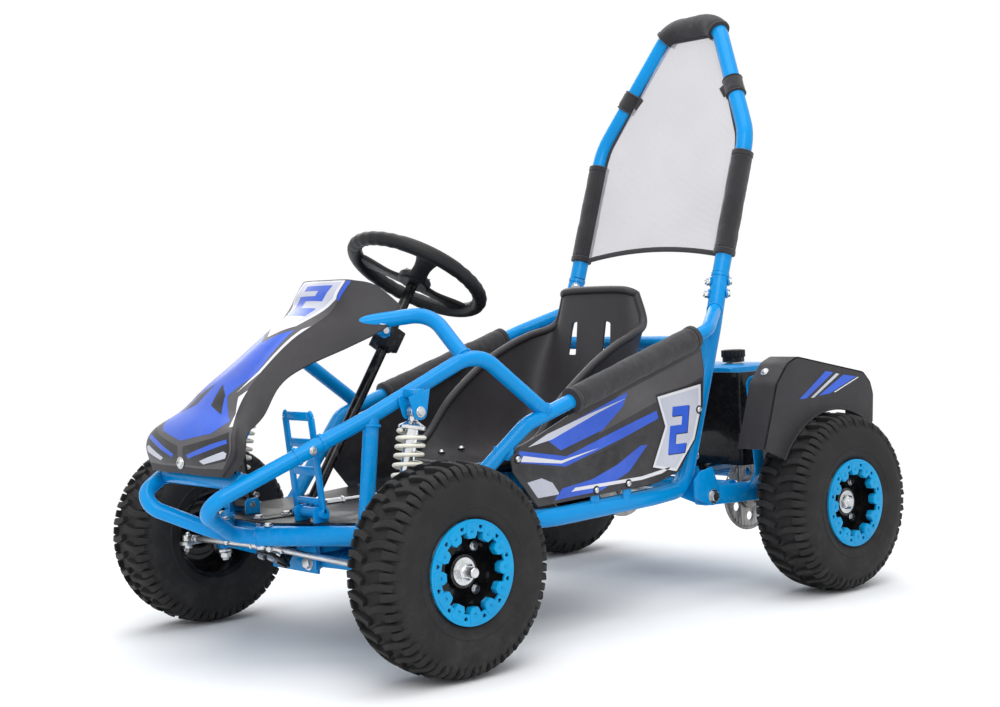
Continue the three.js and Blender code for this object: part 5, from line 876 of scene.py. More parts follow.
def end_with_copies(tree, points, form, turn, finish):
    """The copies of a form on points, as one painted mesh."""
    add_sockets(tree, "OUTPUT", Copies="Geometry")
    copies = node(tree, "GeometryNodeInstanceOnPoints", Points=points, Instance=form, Rotation=turn)
    solid = tree.nodes.new("GeometryNodeRealizeInstances")
    feed(tree, solid.inputs[0], copies.outputs[0])
    painted = node(tree, "GeometryNodeSetMaterial", Geometry=solid.outputs[0], Material=finish)
    feed(tree, tree.nodes.new("NodeGroupOutput").inputs[0], painted.outputs[0])


def new_path_tree():
    """Geometry nodes: copies of a form set along a line of places, their X along the line."""
    tree = bpy.data.node_groups.new("Repeat along a path", "GeometryNodeTree")
    add_sockets(tree, "INPUT", Path="Geometry", Form="Object", Count="Int", Finish="Material")
    given = tree.nodes.new("NodeGroupInput").outputs
    curve = tree.nodes.new("GeometryNodeMeshToCurve")
    feed(tree, curve.inputs[0], given["Path"])
    points = node(tree, "GeometryNodeCurveToPoints", Count=given["Count"])
    points.mode = "COUNT"
    feed(tree, points.inputs[0], curve.outputs[0])
    along = node(tree, "FunctionNodeAlignRotationToVector", Vector=points.outputs["Tangent"])
    along.axis, along.pivot_axis = "X", "AUTO"
    source = node(tree, "GeometryNodeObjectInfo", Object=given["Form"])
    end_with_copies(tree, points.outputs["Points"], source.outputs["Geometry"], along.outputs[0],
        given["Finish"])
    return tree


repeat_tree = new_repeat_tree()
path_tree = new_path_tree()


def held(part):
    """A bmesh as an object."""
    data = bpy.data.meshes.new("form")
    part.to_mesh(data)
    part.free()
    return linked(data)


def run_tree(tree, part, values):
    """What a geometry tree makes of a form, as a bmesh."""
    holder = held(part)
    modifier = holder.modifiers.new("Repeat", "NODES")
    modifier.node_group = tree
    for item in tree.interface.items_tree:
        if item.item_type == "SOCKET" and item.in_out == "INPUT" and item.name in values:
            modifier[item.identifier] = values[item.name]
    return evaluated_form(holder)


def repeated(part, count, start, finish):
    """Copies of a form round the X axis."""
    return run_tree(repeat_tree, part, {"Count": count, "Start Angle": start, "Finish": finish})


def along_path(line, part, count, finish):
    """Copies of a form along a closed line of places."""
    form = held(part)
    path = bmesh.new()
    verts = [path.verts.new(place) for place in line]
    for i, vert in enumerate(verts):
        path.edges.new((vert, verts[(i + 1) % len(verts)]))
    row = run_tree(path_tree, path, {"Form": form, "Count": count, "Finish": finish})
    bpy.data.objects.remove(form)
    return row


TYRE_RADIUS = 165.0
CARCASS = [
    (78.6, -49), (82, -53), (90, -56), (97, -58.2), (98, -59.4), (100, -59.4), (101, -58.6), (112, -59.7),
    (124, -59.7), (134, -57.8), (142, -54), (148, -48), (152, -39), (155, -24), (156.5, 0),
]
CARCASS_TOP = [(48, 148), (39, 152), (24, 155), (0, 156.5)]


def carcass_radius(x):
    reach = abs(x)
    rows = [(60, 128), (57.8, 134), (54, 142), *CARCASS_TOP]
    for (far, low), (near, high) in zip(rows, rows[1:]):
        if reach >= near:
            share = (min(reach, far) - near) / (far - near)
            return high + (low - high) * share
    return rows[-1][1]


def round_tyre(x, around, radius):
    angle = around / TYRE_RADIUS
    return at(x, radius * math.sin(angle), radius * math.cos(angle))


def add_lug(mesh, stations):
    """A tread lug from stations (x, around, half width, height) along it."""
    rows = []
    for i, (x, around, half, height) in enumerate(stations):
        ahead = stations[min(i + 1, len(stations) - 1)]
        behind = stations[max(i - 1, 0)]
        run = Vector((ahead[0] - behind[0], ahead[1] - behind[1])).normalized()
        side = Vector((-run.y, run.x))
        foot = carcass_radius(x) - 2.5
        crest = min(carcass_radius(x) + height, 164.8)
        corners = []
        for reach, radius in ((-half - 1.2, foot), (-half, crest - 0.8), (-half + 1, crest),
                (half - 1, crest), (half, crest - 0.8), (half + 1.2, foot)):
            corners.append(mesh.verts.new(round_tyre(x + side.x * reach, around + side.y * reach, radius)))
        rows.append(corners)
    for first, second in zip(rows, rows[1:]):
        for i in range(5):
            mesh.faces.new((first[i], first[i + 1], second[i + 1], second[i]))
    mesh.faces.new(list(reversed(rows[0])))
    mesh.faces.new(rows[-1])


def tread():
    """One pitch of the tread on each half, repeated round the tyre."""
    pitch = bmesh.new()
    claw = [(3, -9, 4.6, 8.5), (14, -4.5, 5.0, 8.3), (25, -1.5, 5.2, 8.2), (36, -0.5, 5.4, 8.6),
        (46, -1.5, 5.6, 9.0), (53, -3.5, 5.2, 8.4)]
    shoulder = [(37, 15.5, 6.2, 8.4), (44, 15.5, 6.4, 8.8), (50, 15.5, 6.2, 8.6), (56, 15.5, 5.0, 6.0)]
    for hand, shift in ((1, 0.0), (-1, 12.3)):
        for stations in (claw, shoulder):
            add_lug(pitch, [(hand * x, around + shift, half, height)
                for x, around, half, height in stations])
    bmesh.ops.recalc_face_normals(pitch, faces=pitch.faces)
    return repeated(pitch, 32, 0.0, tyre_rubber)


def make_tyre(name, centre, side, body):
    mesh = bmesh.new()
    profile = CARCASS + [(radius, -x) for radius, x in reversed(CARCASS[:-1])]
    inner = [(radius - 7 if radius > 90 else radius, x * 0.9) for radius, x in reversed(profile)]
    add_turned(mesh, Vector(), X_WAY, profile + inner[1:-1], 96)
    bmesh.ops.recalc_face_normals(mesh, faces=mesh.faces)
    pour(mesh, tread())
    place_wheel(mesh, centre, side)
    finished(name, mesh, [tyre_rubber], body)


def place_wheel(mesh, centre, side):
    if side == -1:
        bmesh.ops.rotate(mesh, matrix=Matrix.Rotation(math.pi, 3, "Z"), verts=mesh.verts)
    bmesh.ops.translate(mesh, vec=centre, verts=mesh.verts)


RIM = [
    (77.6, -52.4), (80.6, -53.6), (81.8, -52.2), (80.4, -50.4), (76.4, -49), (75.4, -42), (74.2, -20),
    (73.6, 0), (74.2, 20), (75.4, 42), (76.4, 49), (80.4, 50.4), (81.8, 52.2), (80.6, 53.6), (77.0, 53),
    (73.2, 50.2), (71.8, 44), (70.2, 26), (66, 18), (58, 15), (46, 16), (38, 19), (30, 19), (26.4, 21),
    (25.4, 24), (25.4, 34), (16, 34), (16, -34), (25.4, -34), (25.4, 8), (30, 13), (38, 14), (46, 12),
    (58, 11), (66, 13), (69.4, 8), (70.4, -20), (72, -44), (73.6, -50),
]


def make_rim(name, centre, side, body, bore):
    mesh = bmesh.new()
    profile = [(bore if radius == 16 else radius, x) for radius, x in RIM]
    add_turned(mesh, Vector(), X_WAY, profile, 72)
    stud = bmesh.new()
    add_bolt(stud, at(19.5, 0, 47), at(10.5, 0, 47), 3.6)
    pour(mesh, repeated(stud, 4, math.pi / 4, bright_zinc), 1)
    add_turned(mesh, at(34, 0, 0), X_WAY, [(bore, 0), (20, 0), (21, 0.8), (21, 1.6), (bore, 1.6)], 40, 1)
    valve_foot, valve_tip = at(22, 0, -66), at(46, 0, -62)
    add_rod(mesh, valve_foot, valve_foot.lerp(valve_tip, 0.75), 3.6, 16, 1, 3)
    add_rod(mesh, valve_foot.lerp(valve_tip, 0.7), valve_tip, 2.8, 12, 0.8, 3)
    ring = bead_ring()
    pour(mesh, ring, 2)
    bmesh.ops.recalc_face_normals(mesh, faces=mesh.faces)
    place_wheel(mesh, centre, side)
    finished(name, mesh, [gloss_black, bright_zinc, ring_azure, foam_black], body)


RING_BLOCK = [
    (12.5, -9.4), (24.5, -9.4), (24.5, 9.4), (12.5, 9.4), (7.5, 8.6), (2.5, 5.2), (2.5, -5.2), (7.5, -8.6),
]


def bead_ring():
    """A painted ring over the rim's lip: blocks with round holes, joined by a band."""
    pockets = []
    for i in range(12):
        angle = math.pi / 6 * (i + 0.5)
        way, side = (math.cos(angle), math.sin(angle)), (-math.sin(angle), math.cos(angle))
        shape = [(64.5, 0), (68.5, -4.2), (72.5, -3.4), (72.5, 3.4), (68.5, 4.2)]
        pockets.append([(way[0] * r + side[0] * s, way[1] * r + side[1] * s) for r, s in shape])
    whole = disc_part(circle(79.4, 96), [circle(62.5, 96), *pockets], 4.4, at(55, 0, 0), 0.6)
    outline = [(r + 50, s) for r, s in RING_BLOCK]
    block = disc_part(outline, [circle(3.9, 16, (63.5, 0))], 13, at(51.6, 0, 0), 0.9)
    pour(whole, repeated(block, 12, 0.0, ring_azure))
    return whole


# Which end, half the track, y, the hub's bore
WHEELS = [("front", 358.0, -452.5, 8.8), ("rear", 373.0, 452.5, 13.3)]
for end_name, half_track, wheel_y, bore_radius in WHEELS:
    for hand_name, hand in BOTH_SIDES:
        hub_place = at(hand * half_track, wheel_y, TYRE_RADIUS)
        rider = "front_wheel_" + hand_name if end_name == "front" else "axle"
        make_tyre(f"{end_name}_tyre_{hand_name}", hub_place, hand, rider)
        make_rim(f"{end_name}_rim_{hand_name}", hub_place, hand, rider, bore_radius)


# ------------------------------------------- front suspension and the shocks


COLUMN_RAKE = 0.583
COLUMN_FOOT = at(0, -519.5, 143.5)
COLUMN_WAY = at(0, math.sin(COLUMN_RAKE), math.cos(COLUMN_RAKE))
COLUMN_AHEAD = (-Y_WAY + COLUMN_WAY * COLUMN_WAY.dot(Y_WAY)).normalized()


def column_place(along, across=0.0, ahead=0.0):
    """A place beside the raked steering column."""
    return COLUMN_FOOT + COLUMN_WAY * along + X_WAY * across + COLUMN_AHEAD * ahead


def make_front_cradle():
    mesh = bmesh.new()
    for x, y, z in ((160, -520, 207), (205, -408, 204)):
        add_cross_tube(mesh, x - 10, y, z)
        for side in (1, -1):
            add_weld(mesh, at(side * (x - 14), y, z), X_WAY, SMALL_TUBE + 0.5, 2.4)
    for side in (1, -1):
        add_block(mesh, at(side * 66, -464, 191.5), (6, 112, 25.4), 0.8)
        pin_x = side * 40
        add_bolt(mesh, at(pin_x, -493, 150), at(pin_x, -412, 150), 6, paint=1)
    for y in (-490.5, -414.5):
        add_plate(mesh, [(-66, 133), (66, 133), (66, 200), (14, 200), (14, 172), (-14, 172), (-14, 200),
            (-66, 200)], at(0, y, 0), X_WAY, Z_WAY, 5, 0.8)
        for side in (1, -1):
            add_bar(mesh, at(side * 63, y, 140), at(side * 63, y, 196), X_WAY, 5, 9, 0.8)
    finished("front_cradle", mesh, BLUE_AND_ZINC, "frame")


def make_front_arm(name, side):
    mesh = bmesh.new()
    pivot = at(side * 40, -452.5, 150)
    add_turned(mesh, pivot - Y_WAY * 35, Y_WAY, collar(6.6, 12, 0, 70, 1), 28)
    kingpin = on_side(KINGPIN, side)
    add_turned(mesh, kingpin - Z_WAY * 26, Z_WAY, collar(6.6, 11, 0, 52, 0.8), 28)
    leg_end = at(side * 279, -452.5, 151)
    for shift in (-27, 27):
        start = pivot + Y_WAY * shift
        way = (leg_end - start).normalized()
        add_tube(mesh, [start + way * 10, start.lerp(leg_end, 0.5), leg_end], 8.5, 20)
        add_weld(mesh, start + way * 13.5, way, 8.9, 2.0, 22)
    add_weld(mesh, kingpin + at(-side * 11, 0, -14), X_WAY, 10, 2.2, 24)
    middle = pivot.lerp(leg_end, 0.48)
    add_block(mesh, middle, (12, 26, 5), 0.8)
    eye = [(-481, 150), (-457, 150), (-457, 171), (-460, 178), (-469, 182), (-478, 178), (-481, 171)]
    for shift in (-14.25, 14.25):
        add_plate(mesh, eye, at(side * (SHOCK_BOTTOM.x + shift), 0, 0), Y_WAY, Z_WAY, 3.5, 0.7)
    add_pin(mesh, on_side(SHOCK_BOTTOM, side), X_WAY * side, 16, 4)
    finished(name, mesh, BLUE_AND_ZINC, "arm_" + name.split("_")[-1])


def make_knuckle(name, side):
    mesh = bmesh.new()
    pin = on_side(KINGPIN, side)
    plate = [(-9, -3.5), (-2.5, -13), (16, -13), (19, -10), (19, 10), (16, 13), (-2.5, 13), (-9, 3.5)]
    for hand in (1, -1):
        add_plate(mesh, [(side * x, y) for x, y in plate], pin + Z_WAY * hand * 30.2, X_WAY, Y_WAY, 6, 0.9)
    add_block(mesh, pin + at(side * 16, 0, 0), (6, 26, 66.4), 1.2)
    add_pin(mesh, pin, Z_WAY, 33.3, 6, 0)
    add_turned(mesh, pin + X_WAY * side * 16, X_WAY * side,
        [(0, 0), (13, 0), (13, 8), (11, 10), (11, 20), (8, 21), (8, 117), (7, 118.2), (0, 118.2)], 28)
    nut = at(side * 392.4, -452.5, 165)
    way = X_WAY * side
    add_turned(mesh, nut, way, [(8.1, 0), (13.6, 0), (14.4, 0.8), (14.4, 7.6), (12.4, 8.8), (10.8, 10.8),
        (8.1, 10.8)], 6)
    add_rod(mesh, nut - way * 0.3, nut + way * 1.4, 16, 32, 0.4)
    arm_start = at(side * 301, -466, 159)
    arm_end = on_side(STEERING_BALL, side) - Y_WAY * 10
    add_bar(mesh, arm_start, arm_end, X_WAY, 20, 7, 1.4)
    ball = on_side(STEERING_BALL, side)
    add_rod(mesh, ball - Z_WAY * 3, ball + Z_WAY * 20, 4, 20)
    add_turned(mesh, ball - Z_WAY * 3.5, -Z_WAY, [(0, 0), (7.4, 0), (7.4, 5), (5, 6.4), (0, 6.4)], 6)
    finished(name, mesh, [bright_zinc], "knuckle_" + name.split("_")[-1])


def make_tie_rod(name, side):
    mesh = bmesh.new()
    outer = on_side(STEERING_BALL, side) + Z_WAY * 9.8
    tip = column_place(5, ahead=34)
    inner = at(side * 14, tip.y, tip.z + 13)
    way = (inner - outer).normalized()
    length = (inner - outer).length
    add_turned(mesh, outer, way, [(0, 6), (5.4, 6), (6.4, 10), (6.4, 26), (4.4, 28), (4.4, 40), (5.4, 41),
        (5.4, length - 41), (4.4, length - 40), (4.4, length - 28), (6.4, length - 26), (6.4, length - 10),
        (5.4, length - 6), (0, length - 6)], 24)
    for end, back in ((outer, way), (inner, -way)):
        add_turned(mesh, end + back * 29, back, band(0, 7.6, 0, 5), 6)
        bore = 4.6 if end is outer else 0
        add_turned(mesh, end - Z_WAY * 5.5, Z_WAY, collar(bore, 10, 0, 11, 1), 28)
    finished(name, mesh, [bright_zinc], "tie_rod_" + name.split("_")[-1])


CURL_STEPS = 30
# The rod's rubber stop: radius, and place from the spring's lower end
STOP = [(4.95, -26), (9.4, -24), (10.4, -20), (8.6, -16), (10.4, -12), (8.8, -8), (10, -2), (4.95, -1)]


def make_shock(prefix, suffix, top, bottom, curls, gather, upper, lower):
    """A coil-over shock: body with a chrome cap, rod with a clevis, wound spring."""
    way = (bottom - top).normalized()
    length = (bottom - top).length
    seat, bore_end, rod_start, barrel_end, spring_end = (length * s for s in (0.12, 0.24, 0.36, 0.6, 0.86))
    mesh = bmesh.new()
    add_turned(mesh, top - X_WAY * 7, X_WAY, collar(4.6, 11, 0, 14, 1), 32)
    add_turned(mesh, top - X_WAY * 6.8, X_WAY, [(4.55, 0), (7.4, 0), (7.4, -0.4), (4.55, -0.4)], 24, 1)
    cap = [(0, 7), (7.8, 7), (7.8, seat - 14), (11, seat - 12), (20.6, seat - 6.4), (22.3, seat - 5),
        (22.3, seat - 0.6), (21.4, seat), (11, seat)]
    barrel = [(11, barrel_end - 2), (10.2, barrel_end), (5.8, barrel_end), (5.8, bore_end), (0, bore_end)]
    add_turned(mesh, top, way, cap + barrel, 36, 2)
    finished(f"{prefix}_body{suffix}", mesh, [bright_zinc, foam_black, cap_chrome], upper)

    mesh = bmesh.new()
    rod = [(0, rod_start), (4.9, rod_start + 0.6), (4.9, spring_end - 14), (0, spring_end - 14)]
    add_turned(mesh, top, way, rod, 24)
    add_turned(mesh, top, way, [(radius, spring_end + along) for radius, along in STOP], 28, 1)
    add_turned(mesh, top, way, [(0, spring_end), (21.4, spring_end), (22.3, spring_end + 0.6),
        (22.3, spring_end + 4.6), (20.6, spring_end + 6), (10, spring_end + 8), (7, spring_end + 12),
        (7, length - 5), (0, length - 5)], 36, 2)
    add_turned(mesh, bottom - X_WAY * 7, X_WAY,
        [(5.0, 0), (7.8, 0), (8.5, 0.8), (8.5, 13.2), (7.8, 14), (5.0, 14)], 32)
    finished(f"{prefix}_rod{suffix}", mesh, [bright_zinc, foam_black, cap_chrome], lower)

    mesh = bmesh.new()
    start = top + way * (seat + 3.15)
    run = spring_end - seat - 6.3
    side = way.cross(X_WAY).normalized()
    other = way.cross(side)
    line = []
    for i in range(curls * CURL_STEPS + 1):
        share = i / (curls * CURL_STEPS)
        angle = 2 * math.pi * i / CURL_STEPS
        flat = min(1.0, share * curls / 0.75, (1 - share) * curls / 0.75)
        lift = share * (1 - gather + gather * share) + 0.018 * math.sin(2 * math.pi * share) * (1 - flat)
        line.append(start + way * run * lift + (side * math.cos(angle) + other * math.sin(angle)) * 21.2)
    add_tube(mesh, line, 3.15, 14)
    spring = finished(f"{prefix}_spring{suffix}", mesh, [spring_ivory], upper)
    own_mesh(spring)


make_front_cradle()
for hand_name, hand in BOTH_SIDES:
    make_front_arm("front_arm_" + hand_name, hand)
    make_knuckle("knuckle_" + hand_name, hand)
    make_tie_rod("tie_rod_" + hand_name, hand)
    make_shock("shock", "_" + hand_name, on_side(SHOCK_TOP, hand),
        on_side(SHOCK_BOTTOM, hand), 10, 0.3,
        "shock_upper_" + hand_name, "shock_lower_" + hand_name)
make_shock("rear_shock", "", REAR_SHOCK_TOP, REAR_SHOCK_BOTTOM, 5, 0.0, "rear_shock_upper",
    "rear_shock_lower")


# ------------------------------------------------- body panels, seat and pads


def smooth_between(places, t):
    """A place on a smooth line through places; t counts them from nought."""
    last = len(places) - 1
    i = min(int(t), last - 1)
    s = t - i
    a, b, c, d = places[max(i - 1, 0)], places[i], places[i + 1], places[min(i + 2, last)]
    return (b * 2 + (c - a) * s + (a * 2 - b * 5 + c * 4 - d) * s * s + (b * 3 - a - c * 3 + d) * s**3) / 2


def steps_of(low, high, count):
    return [low + (high - low) * i / count for i in range(count + 1)]


def surface_normal(place_at, u, v):
    step = 0.01
    across = place_at(u + step, v) - place_at(u - step, v)
    along = place_at(u, v + step) - place_at(u, v - step)
    return across.cross(along).normalized()


def add_shell(mesh, place_at, us, vs, thickness, soften):
    """A curved sheet over a grid of places, thickened against its normal."""
    part = bmesh.new()
    layers = ([], [])
    for v in vs:
        for layer, depth in zip(layers, (0, thickness)):
            layer.append([part.verts.new(place_at(u, v) - surface_normal(place_at, u, v) * depth)
                for u in us])
    rows, columns = len(vs), len(us)
    for layer in layers:
        for i in range(rows - 1):
            for j in range(columns - 1):
                part.faces.new((layer[i][j], layer[i][j + 1], layer[i + 1][j + 1], layer[i + 1][j]))
    top, low = layers
    rim = [(0, j) for j in range(columns)] + [(i, columns - 1) for i in range(1, rows)]
    rim += [(rows - 1, j) for j in range(columns - 2, -1, -1)] + [(i, 0) for i in range(rows - 2, 0, -1)]
    for (a, b), (c, d) in zip(rim, rim[1:] + rim[:1]):
        part.faces.new((top[a][b], top[c][d], low[c][d], low[a][b]))
    bmesh.ops.recalc_face_normals(part, faces=part.faces)
    soften_rims(part, soften)
    pour(mesh, part)


def add_decal(mesh, place_at, outline, lift, cuts=((), ()), paint=0):
    """A printed shape laid on a face; its outline is in the face's own units."""
    part = bmesh.new()
    part.faces.new([part.verts.new((u, v, 0)) for u, v in outline])
    if not cuts[0]:
        bmesh.ops.triangulate(part, faces=part.faces)
    for axis, lines in enumerate(cuts):
        way = (X_WAY, Y_WAY)[axis]
        for value in lines:
            whole = [*part.verts, *part.edges, *part.faces]
            bmesh.ops.bisect_plane(part, geom=whole, dist=1e-6, plane_co=way * value, plane_no=way)
    bmesh.ops.dissolve_degenerate(part, dist=1e-4, edges=part.edges)
    bmesh.ops.recalc_face_normals(part, faces=part.faces)
    outward = 1 if lift > 0 else -1
    for vert in part.verts:
        u, v = vert.co.x, vert.co.y
        vert.co = place_at(u, v) + surface_normal(place_at, u, v) * lift
    first = part.faces[:][0]
    first.normal_update()
    u, v = outline[0]
    if first.normal.dot(surface_normal(place_at, u, v) * outward) < 0:
        bmesh.ops.reverse_faces(part, faces=part.faces)
    pour(mesh, part, paint)


def add_screw(mesh, place, way, size=1.0, washer=1, steel=0):
    """A button head screw on a dark washer."""
    way = way.normalized()
    ring = [(0, 0), (9.4, 0), (10, 0.5), (9.4, 1.6), (0, 1.6)]
    head = [(0, 1.5), (7, 1.5), (6.6, 3.2), (4.8, 5), (2.7, 5.5), (2.5, 3.4), (0, 3.4)]
    add_turned(mesh, place, way, [(r * size, a * size) for r, a in ring], 28, washer)
    add_turned(mesh, place, way, [(r * size, a * size) for r, a in head], 24, steel)


def print_finish(name, colour, deep, roughness=0.3):
    """Printed film: a slow fade of colour, a faint weave and a clear coat."""
    material, tree, surface = new_material(name, Coat_Weight=0.2, Coat_Roughness=0.12,
        Specular_IOR_Level=0.25)
    ripple = use(tree, ripple_group, Patch_Scale=7.0, Grain_Scale=700.0, Grain_Share=0.5)
    dusty = use(tree, dust_group, Amount=0.1, Low=0.1, High=0.6)["Mask"]
    colours = mixed(tree, ripple["Patches"], colour, deep)
    rough = plus(tree, roughness, times(tree, dusty, 0.3))
    wire(tree, surface, Base_Color=dusted(tree, colours, dusty), Roughness=rough,
        Normal=bump(tree, ripple["Height"], 0.05, 0.001))
    return material


print_blue = print_finish("print_blue", (0.034, 0.112, 0.600), (0.022, 0.080, 0.480))
print_pale = print_finish("print_pale", (0.54, 0.55, 0.62), (0.43, 0.44, 0.51))
print_white = print_finish("print_white", (0.70, 0.70, 0.72), (0.62, 0.62, 0.66))
print_dark = print_finish("print_dark", (0.010, 0.010, 0.012), (0.026, 0.026, 0.030))
print_grey = print_finish("print_grey", (0.085, 0.080, 0.085), (0.060, 0.056, 0.060), 0.45)
PRINTS = [print_blue, print_pale, print_white, print_dark, print_grey]

# A plain figure two, in shares of its box
FIGURE = [
    (0.06, 1), (1, 1), (1, 0.42), (0.36, 0.42), (0.36, 0.2), (1, 0.2), (0.94, 0), (0, 0), (0, 0.6),
    (0.64, 0.6), (0.64, 0.8), (0.06, 0.8),
]

PANEL_OUTLINE = [
    (-186, 221), (-20, 226), (100, 230), (158, 246), (204, 300), (226, 356), (232, 424), (226, 466),
    (120, 436), (-98, 371), (-176, 341), (-220, 325), (-242, 306), (-238, 284),
]
# Printed shapes: which print, how many layers up, outline in y and z
PANEL_PRINTS = [
    (4, 1, [(-40, 330), (60, 360), (228, 410), (229, 425), (223, 455), (120, 425), (20, 396), (-10, 380)]),
    (3, 1, [(-236, 286), (-186, 224), (-60, 227), (20, 262), (80, 316), (40, 318), (-120, 276),
        (-226, 296)]),
    (0, 2, [(-232, 300), (-120, 282), (20, 318), (108, 344), (104, 358), (10, 334), (-118, 299),
        (-222, 318)]),
    (0, 2, [(-150, 228), (-40, 232), (30, 258), (78, 300), (60, 300), (0, 272), (-60, 254), (-130, 246)]),
    (2, 3, [(-222, 300), (-130, 288), (-40, 306), (-130, 293), (-214, 309)]),
    (1, 3, [(-204, 322), (-150, 330), (-40, 366), (30, 386), (-60, 366), (-160, 340)]),
    (0, 2, [(-130, 310), (-30, 336), (20, 372), (34, 396), (-40, 374), (-120, 350), (-160, 330)]),
    (1, 2, [(-208, 264), (-186, 236), (-136, 237), (-152, 258), (-176, 268)]),
    (2, 3, [(-110, 238), (60, 240), (112, 246), (140, 256), (60, 246), (-100, 244)]),
    (3, 3, [(-96, 254), (-20, 268), (34, 300), (-30, 288), (-110, 268)]),
    (3, 2, [(84, 256), (150, 242), (202, 297), (222, 352), (225, 402), (102, 386), (120, 328)]),
    (2, 3, [(89, 259), (149, 246), (199, 299), (219, 353), (221, 397), (107, 382), (125, 328)]),
    (1, 4, [(96, 262), (147, 251), (194, 302), (213, 354), (215, 391), (113, 378), (131, 328)]),
]


def add_figure(mesh, place_at, corner, width, height, slant, lift, paint):
    shape = [(corner[0] + u * width + v * slant, corner[1] + v * height) for u, v in FIGURE]
    add_decal(mesh, place_at, shape, lift, paint=paint)


def make_side_panel(name, side):
    def face(u, v):
        return at(side * 268.47, u, v)

    mesh = bmesh.new()
    add_plate(mesh, PANEL_OUTLINE, at(side * 266.97, 0, 0), Y_WAY, Z_WAY, 3, 0.7)
    for paint, layer, outline in PANEL_PRINTS:
        add_decal(mesh, face, outline, side * (0.05 + 0.09 * layer), paint=paint + 3)
    # The figure reads from outside on both sides
    start, reach, slant = (130, 46, 14) if side > 0 else (192, -46, -14)
    # The dark copy, set a little down and back under the blue one, is a painted drop shadow of the figure
    add_figure(mesh, face, (start, 276), reach, 84, slant, side * 0.5, paint=6)
    add_figure(mesh, face, (start - 1.5, 277.5), reach, 84, slant, side * 0.58, paint=3)
    for y, z in ((-227, 305), (-51, 234), (27, 237), (214, 351)):
        add_screw(mesh, at(side * 268.5, y, z), X_WAY * side, 0.78, 2, 1)
    paints = [panel_plastic, bright_zinc, foam_black, *PRINTS]
    finished(name, mesh, paints, "frame")


FAIRING = [
    [(0, -408, 612), (45, -404, 612), (72.6, -400, 610), (98, -373, 600), (128, -345, 565)],
    [(0, -428, 592), (40, -426, 591), (66, -422, 586), (101, -404, 566), (138, -386, 531)],
    [(0, -452, 566), (35, -449, 564), (59.6, -445, 556), (94, -445, 534), (112, -435, 504)],
    [(0, -512, 530), (25, -510, 528), (44, -506, 518), (66, -509, 498), (82, -512, 473)],
    [(0, -572, 488), (28, -570, 485), (50.8, -566, 475), (65, -560, 462), (78, -556, 447)],
    [(0, -620, 452), (36, -618, 449), (66, -613, 439), (84, -608, 422), (98, -602, 402)],
    [(0, -655, 418), (45, -652, 415), (83, -644, 408), (104, -646, 396), (122, -650, 378)],
    [(0, -688, 385), (60, -684, 384), (117, -676, 380), (126, -668, 368), (132, -660, 352)],
    [(0, -698, 350), (65, -696, 350), (128, -686, 352), (131, -676, 344), (132, -668, 335)],
    [(0, -695, 316), (50, -694, 315), (100, -690, 315), (106, -685, 314), (112, -680, 313)],
]
FAIRING_ROWS = [spots(row[:0:-1], -1) + spots(row) for row in FAIRING]
# Shapes for both halves, in columns from the middle and rows from the top
FAIRING_PRINTS = [
    (4, 1, [(-2, 0.1), (2, 0.1), (2.1, 3), (2, 5), (2.05, 7.2), (2, 8.6), (-2, 8.6), (-2.05, 7.2), (-2, 5),
        (-2.1, 3)]),
    (2, 2, [(-1.5, 0.15), (1.5, 0.15), (1.9, 1.3), (1.25, 2.7), (0, 3.2), (-1.25, 2.7), (-1.9, 1.3)]),
    (1, 3, [(-1.3, 0.3), (1.3, 0.3), (1.62, 1.3), (1.05, 2.5), (0, 2.95), (-1.05, 2.5), (-1.62, 1.3)]),
    (0, 2, [(0, 3.4), (1.5, 2.8), (1.8, 4.3), (1.1, 5.4), (1.8, 6.4), (1.2, 7.1), (0, 7.5), (-1.2, 7.1),
        (-1.8, 6.4), (-1.1, 5.4), (-1.8, 4.3), (-1.5, 2.8)]),
]
# Shapes for one half, mirrored to the other
FAIRING_SIDE_PRINTS = [
    (0, 2, [(1.62, 0.15), (1.95, 0.15), (2.1, 1.3), (1.95, 1.3)]),
    (2, 3, [(1.84, 2.7), (2.05, 2.5), (2.0, 4.2), (1.5, 5.2), (1.82, 4.2)]),
    (3, 3, [(0.3, 5.0), (0.95, 5.4), (1.3, 6.2), (0.5, 5.9)]),
    (2, 3, [(1.72, 5.3), (2.04, 4.9), (2.05, 6.6), (1.84, 6.7), (2.0, 6.0)]),
    (3, 2, [(0.12, 7.75), (1.3, 7.3), (1.9, 6.9), (1.95, 8.3), (1.0, 8.5), (0.12, 8.5)]),
    (0, 3, [(0.3, 8.1), (1.2, 7.6), (1.8, 7.3), (1.84, 7.5), (1.2, 7.85), (0.4, 8.25)]),
    (1, 3, [(0.9, 8.3), (1.7, 7.9), (1.85, 8.0), (1.85, 8.2), (1.1, 8.42)]),
]


def fairing_place(u, v):
    return smooth_between([smooth_between([r[k] for r in FAIRING_ROWS], v) for k in range(9)], u + 4)


